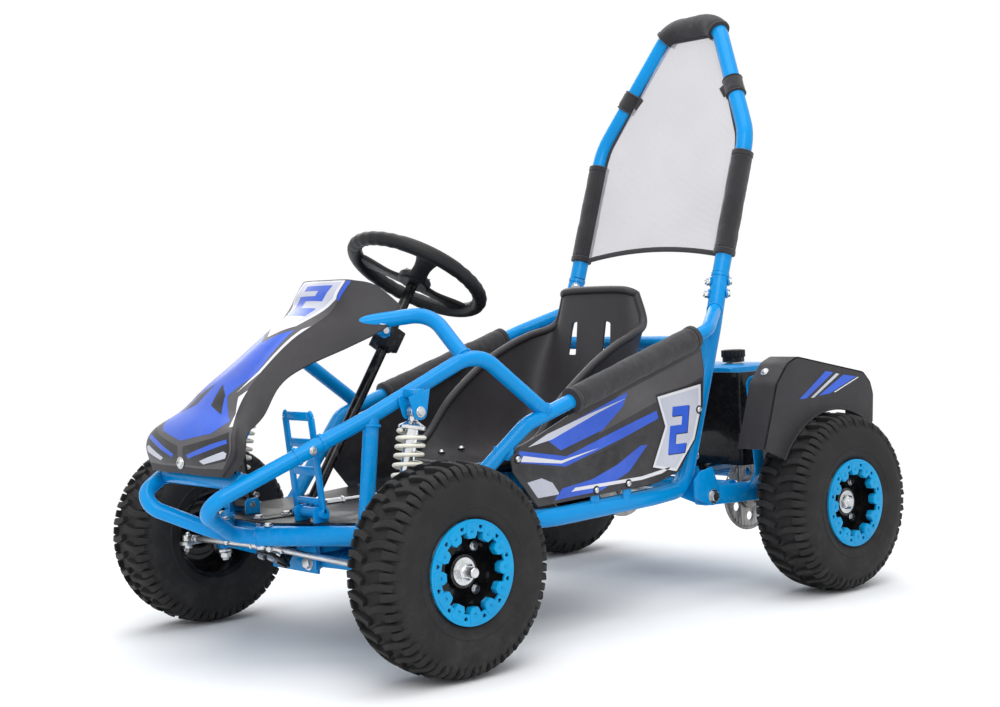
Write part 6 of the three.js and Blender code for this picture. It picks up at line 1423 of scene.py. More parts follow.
def make_fairing():
    mesh = bmesh.new()
    cuts = (steps_of(-4, 4, 48), steps_of(0, 9, 72))
    add_shell(mesh, fairing_place, *cuts, -3.5, 1.0)
    for paint, layer, outline in FAIRING_PRINTS:
        add_decal(mesh, fairing_place, outline, -(0.2 + 0.14 * layer), cuts, paint + 2)
    for paint, layer, outline in FAIRING_SIDE_PRINTS:
        for side in (1, -1):
            shape = [(side * u, v) for u, v in outline]
            add_decal(mesh, fairing_place, shape, -(0.2 + 0.14 * layer), cuts, paint + 2)
    figure = [(-0.85 + u * 1.8 - v * 0.1, 2.35 - v * 1.8) for u, v in FIGURE]
    add_decal(mesh, fairing_place, figure, -0.8, cuts, 2)
    nose = at(0, -697.8, 333)
    add_screw(mesh, nose, at(0, -1, 0.06), 1.0, 1, 1)
    for side in (1, -1):
        place = fairing_place(side * 3.72, 0.9)
        way = -surface_normal(fairing_place, side * 3.72, 0.9)
        add_screw(mesh, place, way, 0.95, 1, 1)
    finished("nose_fairing", mesh, [charcoal_plastic, bright_zinc, *PRINTS], "frame")


SEAT_MIDDLE = spots([(0, -158, 276), (0, -140, 268), (0, -60, 258), (0, 60, 250), (0, 135, 266),
    (0, 172, 330), (0, 200, 450), (0, 220, 577)])
SEAT_RIM = spots([(120, -150, 292), (150, -81, 320), (152, -24, 380), (152, 60, 440), (148, 125, 473),
    (142, 178, 492), (120, 232, 512), (98, 238, 566)])
SEAT_SHARES = [Vector(p) for p in ((0, 0), (0.4, 0.02), (0.78, 0.16), (0.94, 0.52), (1, 1))]


def seat_place(u, v):
    middle = smooth_between(SEAT_MIDDLE, v)
    rim = smooth_between(SEAT_RIM, v)
    across, lift = smooth_between(SEAT_SHARES, abs(u) * 4)
    side = 1 if u >= 0 else -1
    return at(side * rim.x * across, middle.y + (rim.y - middle.y) * lift,
        middle.z + (rim.z - middle.z) * lift)


def make_seat():
    mesh = bmesh.new()
    add_shell(mesh, seat_place, steps_of(-1, 1, 44), steps_of(0, 7, 84), 4.5, 1.2)
    seat = new_object("seat", mesh, [seat_plastic])
    slots = bmesh.new()
    for side in (1, -1):
        slot = [(side * x, z) for x, z in ((35, 450), (58, 450), (53, 511), (38, 515))]
        add_plate(slots, slot if side > 0 else slot[::-1], at(0, 207, 0), X_WAY, Z_WAY, 90, 2.5)
    bmesh.ops.recalc_face_normals(slots, faces=slots.faces)
    tool = new_object("slot_cutter", slots, [])
    cut = seat.modifiers.new("Slots", "BOOLEAN")
    cut.object, cut.operation, cut.solver = tool, "DIFFERENCE", "EXACT"
    done = evaluated_mesh(seat)
    seat.modifiers.clear()
    seat.data = done
    bpy.data.objects.remove(tool)
    shade(done)
    settle(seat, "frame", "seat")
    lip = bmesh.new()
    rim = [seat_place(1, v) for v in steps_of(0, 7, 70)]
    rim += [seat_place(u, 7) for u in steps_of(1, -1, 30)[1:]]
    rim += [seat_place(-1, v) for v in steps_of(7, 0, 70)[1:]]
    rim += [seat_place(u, 0) for u in steps_of(-1, 1, 30)[1:-1]]
    add_tube(lip, [p - Z_WAY * 3 for p in rim], 7.6, 16, closed=True)
    for side in (1, -1):
        add_block(lip, at(side * 84, -55, 243.6), (26, 90, 34.6), 1.5, paint=1)
        for y in (-84, -26):
            add_screw(lip, seat_place(side * 0.55, 2.0 + (y + 60) / 120) + Z_WAY * 0.4, Z_WAY, 0.8, 2, 2)
    finished("seat_lip", lip, [seat_plastic, frame_blue, bright_zinc], "frame", "seat")


def fabric_finish(name, colour, pale, thread=0.0009):
    """Plain woven cloth, its threads drawn along the piece's own UV map."""
    material, tree, surface = new_material(name, Roughness=0.85, Sheen_Weight=0.25, Specular_IOR_Level=0.25)
    place = tree.nodes.new("ShaderNodeUVMap").outputs[0]
    parts = node(tree, "ShaderNodeSeparateXYZ", Vector=place)
    turns = [times(tree, parts.outputs[axis], 2 * math.pi / thread) for axis in ("X", "Y")]
    waves = [maths(tree, "SINE", turn) for turn in turns]
    weave = times(tree, waves[0], waves[1])
    patches = use(tree, ripple_group, Patch_Scale=16.0, Grain_Scale=500.0, Grain_Share=0.6)
    lint = node(tree, "ShaderNodeTexNoise", Scale=260.0, Detail=4.0)
    tint = mixed(tree, patches["Patches"], colour, pale)
    flecks = times(tree, between(tree, lint.outputs["Fac"], 0.62, 0.75), 0.2)
    height = plus(tree, weave, patches["Height"])
    wire(tree, surface, Base_Color=mixed(tree, flecks, tint, (0.14, 0.13, 0.125)),
        Normal=bump(tree, height, 0.35, 0.0006))
    return material


def net_finish():
    """See-through mesh cloth: threads round small hexagon-like holes."""
    material, tree, surface = new_material("net_mesh", Roughness=0.7, Specular_IOR_Level=0.2)
    place = tree.nodes.new("ShaderNodeUVMap").outputs[0]
    cells = tree.nodes.new("ShaderNodeTexVoronoi")
    cells.feature = "DISTANCE_TO_EDGE"
    wire(tree, cells, Vector=place, Scale=420.0, Randomness=0.1)
    holes = between(tree, cells.outputs["Distance"], 0.05, 0.28)
    alpha = maths(tree, "SUBTRACT", 0.92, times(tree, holes, 0.6))
    patches = use(tree, ripple_group, Patch_Scale=8.0, Grain_Scale=900.0, Grain_Share=0.5)
    tint = mixed(tree, patches["Patches"], (0.42, 0.40, 0.43), (0.47, 0.45, 0.48))
    wire(tree, surface, Alpha=alpha, Base_Color=tint, Normal=bump(tree, patches["Height"], 0.2, 0.0005))
    return material


panel_plastic = print_finish("panel_plastic", (0.036, 0.033, 0.036), (0.028, 0.026, 0.028), 0.42)
cloth_black = fabric_finish("cloth_black", (0.022, 0.021, 0.023), (0.030, 0.028, 0.031))
seam_thread = fabric_finish("seam_thread", (0.040, 0.040, 0.042), (0.055, 0.055, 0.058), 0.0005)
net_mesh = net_finish()


WRAP_SIDES = 40


def add_wrap(mesh, line, radius, wrinkle, hem):
    """A cloth wrap round a tube, with rolled hems, wrinkles and its own UV map."""
    part = bmesh.new()
    uv = part.loops.layers.uv.new("UVMap")
    lengths = [0.0]
    for before, after in zip(line, line[1:]):
        lengths.append(lengths[-1] + (after - before).length)
    whole = lengths[-1]
    normal = None
    rings = []
    for i, place in enumerate(line):
        way = way_at(line, i)
        if normal is None:
            normal = way.orthogonal().normalized()
        normal = (normal - way * normal.dot(way)).normalized()
        other = way.cross(normal)
        near = min(lengths[i], whole - lengths[i])
        swell = 0.9 if near < hem else 0.0
        if abs(near - hem) < 1.6:
            swell = -0.8
        if near < 0.8:
            swell = -2.2
        ring = []
        for k in range(WRAP_SIDES):
            angle = 2 * math.pi * k / WRAP_SIDES
            out = normal * math.cos(angle) + other * math.sin(angle)
            seed = at(math.cos(angle) * 1.2, math.sin(angle) * 1.2, lengths[i] * 0.035) + place * 0.004
            wave = noise.noise(seed) * 1.2 + 0.6 * noise.noise(seed * 2.7)
            puff = wrinkle * wave * min(1.0, near / (hem * 2))
            ring.append(part.verts.new(place + out * (radius + swell + puff)))
        rings.append(ring)
    for i, (first, second) in enumerate(zip(rings, rings[1:])):
        for k in range(WRAP_SIDES):
            m = (k + 1) % WRAP_SIDES
            face = part.faces.new((first[k], first[m], second[m], second[k]))
            marks = ((k, i), (k + 1, i), (k + 1, i + 1), (k, i + 1))
            for loop, (a, b) in zip(face.loops, marks):
                loop[uv].uv = (2 * math.pi * radius * a / WRAP_SIDES / 1000, lengths[b] / 1000)
    for ring, order in ((rings[0], -1), (rings[-1], 1)):
        part.faces.new(ring[::order])
    bmesh.ops.recalc_face_normals(part, faces=part.faces)
    target = mesh.loops.layers.uv.active or mesh.loops.layers.uv.new("UVMap")
    twins = {v: mesh.verts.new(v.co) for v in part.verts}
    for face in part.faces:
        copy = mesh.faces.new([twins[v] for v in face.verts])
        for loop, old in zip(copy.loops, face.loops):
            loop[target].uv = old[uv].uv
    part.free()


def dense(start, end, step=2.0):
    count = max(2, round((end - start).length / step))
    return [start.lerp(end, i / count) for i in range(count + 1)]


STITCH_PITCH = 5.0


def add_stitches(mesh, line, out, radius):
    """A row of short raised threads beside a line."""
    for start, end in zip(line, line[1:]):
        count = max(1, round((end - start).length / STITCH_PITCH))
        for i in range(count):
            a = start.lerp(end, (i + 0.15) / count) + out * radius
            b = start.lerp(end, (i + 0.75) / count) + out * radius
            add_tube(mesh, [a, a.lerp(b, 0.5) + out * 0.35, b], 0.45, 5, paint=1)


def make_armrest_pad(name, side):
    mesh = bmesh.new()
    start, end = at(side * 263, -98, 390.1), at(side * 263, 214, 482.1)
    add_wrap(mesh, dense(start, end), 22.0, 0.9, 12)
    way = (end - start).normalized()
    under = at(-side * 0.5, 0.2, -0.84).normalized()
    under = (under - way * under.dot(way)).normalized()
    seam = dense(start.lerp(end, 0.02), start.lerp(end, 0.98), 8)
    add_tube(mesh, [place + under * 22.2 for place in seam], 1.3, 8)
    add_stitches(mesh, [start.lerp(end, 0.03), start.lerp(end, 0.97)],
        (under + X_WAY * side * 0.16).normalized(), 22.6)
    pad = finished(name, mesh, [cloth_black, seam_thread], "frame")


def leg_x(z):
    return HOOP_KNEE.x + (HOOP_TOP.x - HOOP_KNEE.x) * max(0, z - HOOP_KNEE.z) / (HOOP_TOP.z - HOOP_KNEE.z)


NET_FOOT = 630.0
NET_TOP = 1080.0
NET_EDGE = [(630, 179.5), (828, 179.5), (862, 174), (955, 128), (1035, 88), (1080, 60)]


def net_half(z):
    for (low, first), (high, second) in zip(NET_EDGE, NET_EDGE[1:]):
        if z <= high:
            return first + (second - first) * (z - low) / (high - low)
    return NET_EDGE[-1][1]


def net_place(share, z):
    billow = math.sin(math.pi * (z - NET_FOOT) / (NET_TOP - NET_FOOT)) * (1 - share * share) * 1.6
    arch = 16 * (1 - share * share) * max(0, 1 - (z - NET_FOOT) / 90)
    return hoop_place(share * net_half(z), z + arch) + at(0, -billow, 0)


def make_net():
    mesh = bmesh.new()
    uv = mesh.loops.layers.uv.new("UVMap")
    slope = math.sqrt(1 + HOOP_LEAN**2)
    heights = steps_of(NET_FOOT, NET_TOP, 60)
    shares = steps_of(-1, 1, 30)
    grid = [[mesh.verts.new(net_place(s, z)) for s in shares] for z in heights]
    area = 0.0
    for i in range(len(heights) - 1):
        for j in range(len(shares) - 1):
            face = mesh.faces.new((grid[i][j], grid[i][j + 1], grid[i + 1][j + 1], grid[i + 1][j]))
            area += face.calc_area() / 1e6
            for loop in face.loops:
                place = loop.vert.co
                loop[uv].uv = (place.x / 1000, place.z * slope / 1000)
    bmesh.ops.recalc_face_normals(mesh, faces=mesh.faces)
    panel = finished("net_panel", mesh, [net_mesh], "frame", "hoop_net")
    trim = bmesh.new()
    trim.loops.layers.uv.new("UVMap")
    for side in (1, -1):
        edge = [net_place(side, z) for z in steps_of(NET_FOOT, NET_TOP, 40)]
        add_strap(trim, edge, X_WAY, 9, 2.4, 0.5)
        for low, high, hem, swell in ((630, 828, 12, 4.2), (941.5, 975.5, 5, 3.6)):
            line = dense(hoop_place(side * leg_x(low), low), hoop_place(side * leg_x(high), high))
            add_wrap(trim, line, 16 + swell, 0.7, hem)
        tab = [hoop_place(side * (leg_x(958) - 20), 958), hoop_place(side * (net_half(958) - 14), 950)]
        add_bar(trim, tab[0], tab[1], at(0, 0.3, 1), 26, 2.4, 0.6)
    add_strap(trim, [net_place(s, NET_FOOT + 3) for s in shares], at(0, 0.3, 1), 10, 2.4, 0.5)
    add_strap(trim, [net_place(s, NET_TOP - 4) for s in shares], at(0, 0.3, 1), 12, 2.4, 0.5)
    for side in (1, -1):
        line = [hoop_place(side * (leg_x(z) - 14), z) for z in (634, 824)]
        add_stitches(trim, line, at(0, -1, 0.1).normalized(), 15.5)
    wraps = finished("net_trim", trim, [cloth_black, seam_thread], "frame", "hoop_net")
    top = bmesh.new()
    pad_foot = hoop_place(87.8, HOOP_TOP.z - (87.8 - HOOP_TOP.x) * 1.774)
    corners = [pad_foot, HOOP_TOP, on_side(HOOP_TOP, -1), on_side(pad_foot, -1)]
    bent = bent_line(corners, [60, 60], 0.05)
    line = [p for a, b in zip(bent, bent[1:]) for p in dense(a, b, 2.5)[:-1] if abs(p.x) < 74]
    add_wrap(top, line, 22.6, 0.9, 8)
    pad = finished("net_top_pad", top, [cloth_black], "frame", "hoop_net")


for hand_name, hand in BOTH_SIDES:
    make_side_panel("side_panel_" + hand_name, hand)
    make_armrest_pad("armrest_pad_" + hand_name, hand)
make_fairing()
make_seat()
make_net()


# ----------------------------------------------- rear frame, engine and drive


AXLE = at(0, 452.5, 165)
CRANK = at(0, 492.5, 288)
# The chain's plane, and the brake disc's on the other side
DRIVE_X = 172
FENDER_ARCH = 172


def make_swing_frame():
    mesh = bmesh.new()
    for side in (1, -1):
        x = side * 240
        add_bar(mesh, at(x, 240, 188.6), at(x, 550.5, 176.5), X_WAY, 30, 34, 3.5)
        carrier = AXLE + X_WAY * (x - 13)
        add_turned(mesh, carrier, X_WAY, collar(13.4, 27, 0, 26, 1), 40)
        add_weld(mesh, AXLE + X_WAY * (x + 13), X_WAY, 27.2, 1.8, 40)
        places = [at(side * px, y, z)
            for px, y, z in ((248, 372, 184), (301, 338, 226), (303, 318, 402), (347, 315, 410))]
        add_strap(mesh, bent_line(places, [26, 20]), Y_WAY, 24, 4)
        add_block(mesh, at(side * 92, 445, 203.8), (20, 200, 9), 1)
        pivot = on_side(SWING_PIVOT, side)
        add_rod(mesh, pivot - X_WAY * side * 16, pivot + X_WAY * side * 16, 17, 32, 1)
    for y, z in ((346, 192), (538.5, 195)):
        add_cross_tube(mesh, 226, y, z, 28)
        for side in (1, -1):
            add_weld(mesh, at(side * 224.6, y, z), X_WAY, SMALL_TUBE + 0.6, 2.2, 24)
    add_block(mesh, at(0, 445.4, 210), (244, 211.5, 4), 1.2)
    ear = [(-12, -28), (12, -28), (12, 4), (7, 11), (-7, 11), (-12, 4)]
    for x in (-12.2, 12.2):
        add_plate(mesh, ear, REAR_SHOCK_BOTTOM + X_WAY * x, Y_WAY, Z_WAY, 4, 0.7)
    add_pin(mesh, REAR_SHOCK_BOTTOM, X_WAY, 15, 4)
    add_block(mesh, at(-172, 525.8, 194.4), (20, 25.4, 25.4), 1)
    finished("rear_swing_frame", mesh, BLUE_AND_ZINC, "swing")


def make_axle():
    mesh = bmesh.new()
    shaft = [(0, -418.4), (7.2, -418.4), (8, -417.6), (8, -406), (11.7, -406), (12.5, -405.2),
        (12.5, 405.2), (11.7, 406), (8, 406), (8, 417.6), (7.2, 418.4), (0, 418.4)]
    add_turned(mesh, AXLE, X_WAY, shaft, 32)
    for side in (1, -1):
        way = X_WAY * side
        nut = [(8.1, 0), (13.6, 0), (14.2, 0.8), (14.2, 7), (12.6, 8.2), (10, 10.4), (8.1, 10.4)]
        add_turned(mesh, AXLE + way * 406.4, way, nut, 6)
        add_rod(mesh, AXLE + way * 404.4, AXLE + way * 406.4, 15.6, 32, 0.3)
        for x in (222.5, 254.5):
            add_turned(mesh, AXLE + way * x, way, [(12.6, 0), (17.6, 0), (18, 0.4), (18, 2.6), (12.6, 3)],
                32)
    finished("rear_axle", mesh, [bright_zinc], "axle")


def gear_outline(teeth, root, tip):
    """A chain wheel's outline: round valleys between the teeth."""
    outline = []
    fine = 4
    for i in range(teeth * fine):
        share = (i % fine) / fine
        wave = 0.5 - 0.5 * math.cos(2 * math.pi * share)
        outline.append(polar(root + (tip - root) * wave**0.8, 2 * math.pi * i / (teeth * fine)))
    return outline


def add_hub(mesh, place, bore, radius, width, bolts):
    half = width / 2
    add_turned(mesh, place, X_WAY, collar(bore, radius, -half, half, 1), 40)
    for i in range(bolts):
        angle = 2 * math.pi * (i + 0.5) / bolts
        spot = place + at(0, math.cos(angle), math.sin(angle)) * radius * 0.74
        add_pin(mesh, spot, X_WAY, half, 2.8, 0)


def make_brake_disc():
    place = AXLE - X_WAY * DRIVE_X
    holes = []
    for ring, count, start in ((60, 18, 0), (50, 12, 0.5)):
        holes += [circle(2.6, 12, polar(ring, 2 * math.pi * (i + start) / count)) for i in range(count)]
    mesh = disc_part(circle(70, 96), [*holes, circle(24, 40)], 4, place)
    add_hub(mesh, place, 12.7, 27, 14, 4)
    finished("brake_disc", mesh, [raw_steel], "axle")


def make_sprocket():
    place = AXLE + X_WAY * DRIVE_X
    windows = [circle(9, 20, spot) for spot in circle(43, 6)]
    mesh = disc_part(gear_outline(41, 61.6, 66), [*windows, circle(24, 40)], 4, place)
    add_hub(mesh, place, 12.7, 27, 14, 4)
    finished("sprocket", mesh, [raw_steel], "axle")


def chain_line():
    """The chain's closed line round the drum and the sprocket."""
    low, high = AXLE + X_WAY * DRIVE_X, CRANK + X_WAY * DRIVE_X
    big, small = 66.5, 23.6
    gap = high - low
    lean = math.asin((big - small) / gap.length)
    up = gap.normalized()
    side = at(0, up.z, -up.y)
    line = []
    for centre, radius, begin, finish in ((high, small, lean, math.pi - lean),
            (low, big, math.pi - lean, 2 * math.pi + lean)):
        count = max(8, round(radius * (finish - begin) / 3))
        for i in range(count + 1):
            angle = begin + (finish - begin) * i / count
            line.append(centre + (side * math.cos(angle) + up * math.sin(angle)) * radius)
    return line


def make_chain():
    link = bmesh.new()
    for shift in (-2.6, 2.6):
        side_plate = circle(2.9, 12, (-3.2, 0))[3:10] + circle(2.9, 12, (3.2, 0))[9:] + circle(2.9, 12,
            (3.2, 0))[:4]
        add_plate(link, side_plate, at(0, shift, 0), X_WAY, Z_WAY, 1.0, 0.15)
    for x in (-3.2, 3.2):
        add_rod(link, at(x, -3.3, 0), at(x, 3.3, 0), 1.5, 10, 0.2)
    mesh = along_path(chain_line(), link, 84, raw_steel)
    finished("chain", mesh, [raw_steel], "swing")


def make_drum():
    mesh = bmesh.new()
    place = CRANK + X_WAY * DRIVE_X
    add_turned(mesh, place, X_WAY, [(9.9, -9.1), (20, -9.1), (21, -8), (18, -3.6), (18, 3.6), (21, 8),
        (20, 9.1), (9.9, 9.1)], 36)
    bell = [(9.9, -24.4), (36, -24.4), (39.4, -23), (39.9, -21), (39.9, -9.6), (38.6, -9), (9.9, -9)]
    add_turned(mesh, place, X_WAY, bell, 48)
    add_rod(mesh, place + X_WAY * 9, place + X_WAY * 11.4, 8, 6, 0.4, 1)
    finished("clutch_drum", mesh, [raw_steel, bright_zinc], "drum")


def make_engine():
    mesh = bmesh.new()
    add_block(mesh, at(0, 492.5, 261.35), (130, 120, 98), 9)
    for z in (228, 243, 258, 273):
        add_block(mesh, at(0, 492.5, z), (133, 100, 3), 1)
    for side in (1, -1):
        for y in (446, 539):
            add_block(mesh, at(side * 56, y, 219), (26, 24, 9), 2)
            add_bolt(mesh, at(side * 56, y, 224.5), at(side * 56, y, 211.5), 4, 1)
        add_block(mesh, at(side * 54.6, 516.5, 320.65), (14, 60, 24), 1.5)
    add_block(mesh, at(-16.25, 468.5, 292), (78, 54, 68), 4)
    for i in range(9):
        add_block(mesh, at(-16.25, 468.5, 262 + i * 7.6), (95, 66, 2.6), 1)
    centre = CRANK - X_WAY * 65
    shroud = [(0, 0), (69.6, 0), (69.6, 26), (66, 36), (60, 40), (44, 44), (40, 46.5), (12, 47.5),
        (0, 47.5)]
    add_turned(mesh, centre, -X_WAY, shroud, 64, 2)
    vent = bmesh.new()
    add_block(vent, at(-45.6, 0, 51), (4, 3.4, 13), 1)
    vents = repeated(vent, 20, 0.0, cast_black)
    bmesh.ops.translate(vents, vec=centre, verts=vents.verts)
    pour(mesh, vents, 3)
    add_turned(mesh, centre - X_WAY * 47, -X_WAY, [(0, 0), (22, 0), (22, 1), (20, 1.4), (0, 1.4)], 40, 3)
    can = [(0, 0), (22, 0), (26.5, 3), (26.5, 30), (26.5, 100), (26.5, 127), (22, 130), (0, 130)]
    add_turned(mesh, at(-65, 571.7, 290.75), X_WAY, can, 48, 3)
    for x in (-58, 58):
        add_turned(mesh, at(x, 571.7, 290.75), X_WAY, [(26.2, -1.2), (27.2, -1), (27.2, 1), (26.2, 1.2)],
            48, 1)
    add_rod(mesh, at(20, 540, 290), at(20, 560, 290), 9, 20, 0.5, 3)
    add_rod(mesh, CRANK + X_WAY * 60, CRANK + X_WAY * 186, 9.5, 28, 0.8, 1)
    add_turned(mesh, CRANK + X_WAY * 64, X_WAY, [(9.6, 0), (34, 0), (35, 1), (33, 5), (9.6, 7)], 40)
    finished("engine", mesh, [cast_alloy, bright_zinc, gloss_black, cast_black], "swing")


def make_tank():
    mesh = bmesh.new()
    add_block(mesh, at(50, 503, 374), (218, 150, 82), 14)
    seam = [(-109.5, -75.5), (109.5, -75.5), (109.5, 75.5), (-109.5, 75.5)]
    round_seam = []
    for (x, y), start in zip(seam, (math.pi, 1.5 * math.pi, 0, 0.5 * math.pi)):
        corner = (x - math.copysign(15, x), y - math.copysign(15, y))
        for i in range(7):
            round_seam.append(polar(15, start + math.pi / 2 * i / 6, corner))
    add_plate(mesh, round_seam, at(50, 503, 372), X_WAY, Y_WAY, 3, 1)
    add_turned(mesh, at(100, 505, 410), Z_WAY, [(0, 0), (16.5, 0), (16.5, 15.5), (15.5, 17), (0, 17)], 36,
        1)
    add_turned(mesh, at(100, 505, 414), Z_WAY, [(16.6, 0), (21, 0), (21, 1.4), (16.6, 2.2)], 36, 1)
    finished("fuel_tank", mesh, BLUE_AND_ZINC, "swing")


def make_cap():
    mesh = bmesh.new()
    grips = 18
    foot = at(100, 505, 418.8)
    outline = []
    for i in range(grips * 4):
        radius = 23.9 if i % 4 in (0, 1) else 22.6
        outline.append(polar(radius, 2 * math.pi * i / (grips * 4)))
    add_turned(mesh, foot, Z_WAY, band(17.2, 21.8, 0, 14), 48)
    add_plate(mesh, outline, foot + Z_WAY * 16.5, X_WAY, Y_WAY, 14, 0.8)
    add_turned(mesh, foot + Z_WAY * 23, Z_WAY, [(0, 0), (21, 0), (19, 1.2), (0, 1.2)], 40)
    finished("fuel_cap", mesh, [satin_black], "cap")


def make_guard():
    mesh = bmesh.new()
    bend = 8.0
    line = bent_line([at(-203.5, 552, 0), at(-203.5, 403.5, 0), at(203.5, 403.5, 0), at(203.5, 552, 0)],
        [bend, bend], 0.2)
    sheet = [p + Z_WAY * 315.5 for p in line]
    add_strap(mesh, sheet, Z_WAY, 179, 3, 0.7)
    for x in (-70, 70):
        add_block(mesh, at(x, 401.6, 315.5), (4, 2.4, 168), 1)
    for side in (1, -1):
        add_block(mesh, at(side * 85.4, 412, 218), (24, 20, 16), 1)
        add_screw(mesh, at(side * 85.4, 402, 240), -Y_WAY, 0.8, 1, 1)
    finished("engine_guard", mesh, [gloss_black, bright_zinc], "swing")


FENDER_TOP = [
    (250, 280), (268, 330), (290, 395), (322, 430), (350, 440), (543, 400), (563, 380), (571, 357),
    (567, 304),
]
FENDER_PRINTS = [
    (0, 2, [(352, 362), (372, 362), (452, 404), (430, 408)]),
    (1, 2, [(384, 362), (394, 362), (470, 400), (460, 402)]),
    (0, 2, [(406, 364), (440, 366), (520, 392), (482, 398)]),
    (2, 3, [(452, 368), (456, 367), (528, 390), (524, 391)]),
]


def make_fender(name, side):
    mesh = bmesh.new()
    corners = [at(side * 356.5, y, z) for y, z in FENDER_TOP]
    bends = [30, 30, 30, 24, 20, 16, 24]
    line = bent_line(corners, bends, 0.14)
    inward = [p.copy() for p in line]
    for i, p in enumerate(line):
        way = way_at(line, i)
        inward[i] = p + at(0, way.z, -way.y) * 1.75
    add_strap(mesh, inward, X_WAY, 63, 3.5, 1.0)
    outline = [(p.y, p.z) for p in line]
    turns = steps_of(50.5, 148, 24)
    arch = [polar(FENDER_ARCH, math.radians(turn), (AXLE.y, AXLE.z)) for turn in turns]
    add_plate(mesh, outline + arch, at(side * 386.25, 0, 0), Y_WAY, Z_WAY, 3.5, 1.0)
    lip = [at(side * 386.25, y, z) for y, z in arch]
    add_tube(mesh, lip, 2.6, 10)

    def face(u, v):
        return at(side * 388, u, v)

    for paint, layer, shape in FENDER_PRINTS:
        add_decal(mesh, face, shape, side * (0.05 + 0.09 * layer), paint=paint + 2)
    seat = at(side * 347, 307.5, 414.2)
    add_screw(mesh, seat, at(0, -0.738, 0.675), 0.8, 1, 1)
    finished(name, mesh, [charcoal_plastic, bright_zinc, *PRINTS], "swing")


make_swing_frame()
make_axle()
make_brake_disc()
make_sprocket()
make_chain()
make_drum()
make_engine()
make_tank()
make_cap()
make_guard()
for hand_name, hand in BOTH_SIDES:
    make_fender("fender_" + hand_name, hand)


# ------------------------------------------------------ steering and pedals

def make_column():
    mesh = bmesh.new()
    add_rod(mesh, column_place(0), column_place(545), 9.5, 32, 1)
    pitman = [(-9.5, -9.5), (9.5, -9.5), (25, 28), (25, 42), (-25, 42), (-25, 28)]
    add_plate(mesh, pitman, column_place(5), X_WAY, COLUMN_AHEAD, 5, 0.9)
    add_weld(mesh, column_place(8.5), COLUMN_WAY, 9.8, 2, 24)
    for across in (-14, 14):
        foot = column_place(2, across, 34)
        add_turned(mesh, foot, -COLUMN_WAY, [(0, 0), (7, 0), (7, 5), (4.4, 6.4), (0, 6.4)], 6, 1)
        add_rod(mesh, column_place(7.6, across, 34), column_place(22, across, 34), 4, 18, 0.5, 1)
    for along in (96, 120):
        add_turned(mesh, column_place(along - 1.5), COLUMN_WAY, band(9.6, 13, 0, 2.4), 32, 1)
    finished("steering_column", mesh, [gloss_black, bright_zinc], "steering")


def rim_way(angle):
    return X_WAY * math.cos(angle) - COLUMN_AHEAD * math.sin(angle)


WHEEL_RADIUS = 119.6
WHEEL_ALONG = 565


def make_wheel():
    mesh = bmesh.new()
    count = 144
    line, radii = [], []
    for i in range(count):
        angle = 2 * math.pi * i / count
        line.append(column_place(WHEEL_ALONG) + rim_way(angle) * WHEEL_RADIUS)
        ridge = 0.5 + 0.5 * math.cos(angle * 36)
        grip = 0.5 + 0.5 * math.cos(angle * 3 + math.pi / 2)
        radii.append(12.6 + 0.5 * grip - (0.9 * ridge if grip < 0.62 else 0.0))
    add_tube(mesh, line, radii, 26, closed=True)
    inside = column_place(WHEEL_ALONG - 1.0)
    seam = [inside + rim_way(2 * math.pi * i / count) * (WHEEL_RADIUS - 12.4) for i in range(count)]
    add_tube(mesh, seam, 0.9, 6, closed=True)
    for degrees in (90, 210, 330):
        way = rim_way(math.radians(degrees))
        across = COLUMN_WAY.cross(way).normalized()
        part = bmesh.new()
        rings = []
        for share in steps_of(0, 1, 14):
            reach = 20 + (112 - 20) * share
            lift = 551 + 14 * (share * share * (3 - 2 * share))
            half = 19 - 5.5 * math.sin(math.pi * min(1, share * 1.15)) + 3.5 * share
            thick = 3.4 + 2.2 * share
            centre = column_place(lift) + way * reach
            ring = []
            for k in range(16):
                angle = 2 * math.pi * k / 16
                c, s = math.cos(angle), math.sin(angle)
                u = math.copysign(abs(c) ** 0.5, c) * half
                v = math.copysign(abs(s) ** 0.6, s) * thick
                ring.append(part.verts.new(centre + across * u + COLUMN_WAY * v))
            rings.append(ring)
        skin(part, rings)
        pour(mesh, part)
    hub = [(0, 0), (26, 0), (30, 3), (30, 12), (27, 16), (21, 18), (20.4, 17), (0, 17)]
    add_turned(mesh, column_place(545.4), COLUMN_WAY, hub, 40)
    cap = [(0, 16.6), (18.6, 16.6), (18.6, 18.4), (15, 21), (8, 22.4), (0, 22.8)]
    add_turned(mesh, column_place(545.4), COLUMN_WAY, cap, 40, 1)
    for i in range(3):
        way = rim_way(math.radians(150 + 120 * i))
        spot = column_place(562.6) + way * 24
        add_turned(mesh, spot, COLUMN_WAY, [(0, 0), (3, 0), (3, 1), (1.4, 1.6), (1.2, 0.8), (0, 0.8)], 14,
            2)
    finished("steering_wheel", mesh, [grip_black, satin_black, bright_zinc], "steering")


CLAMP_EAR = at(0, -305, 522)


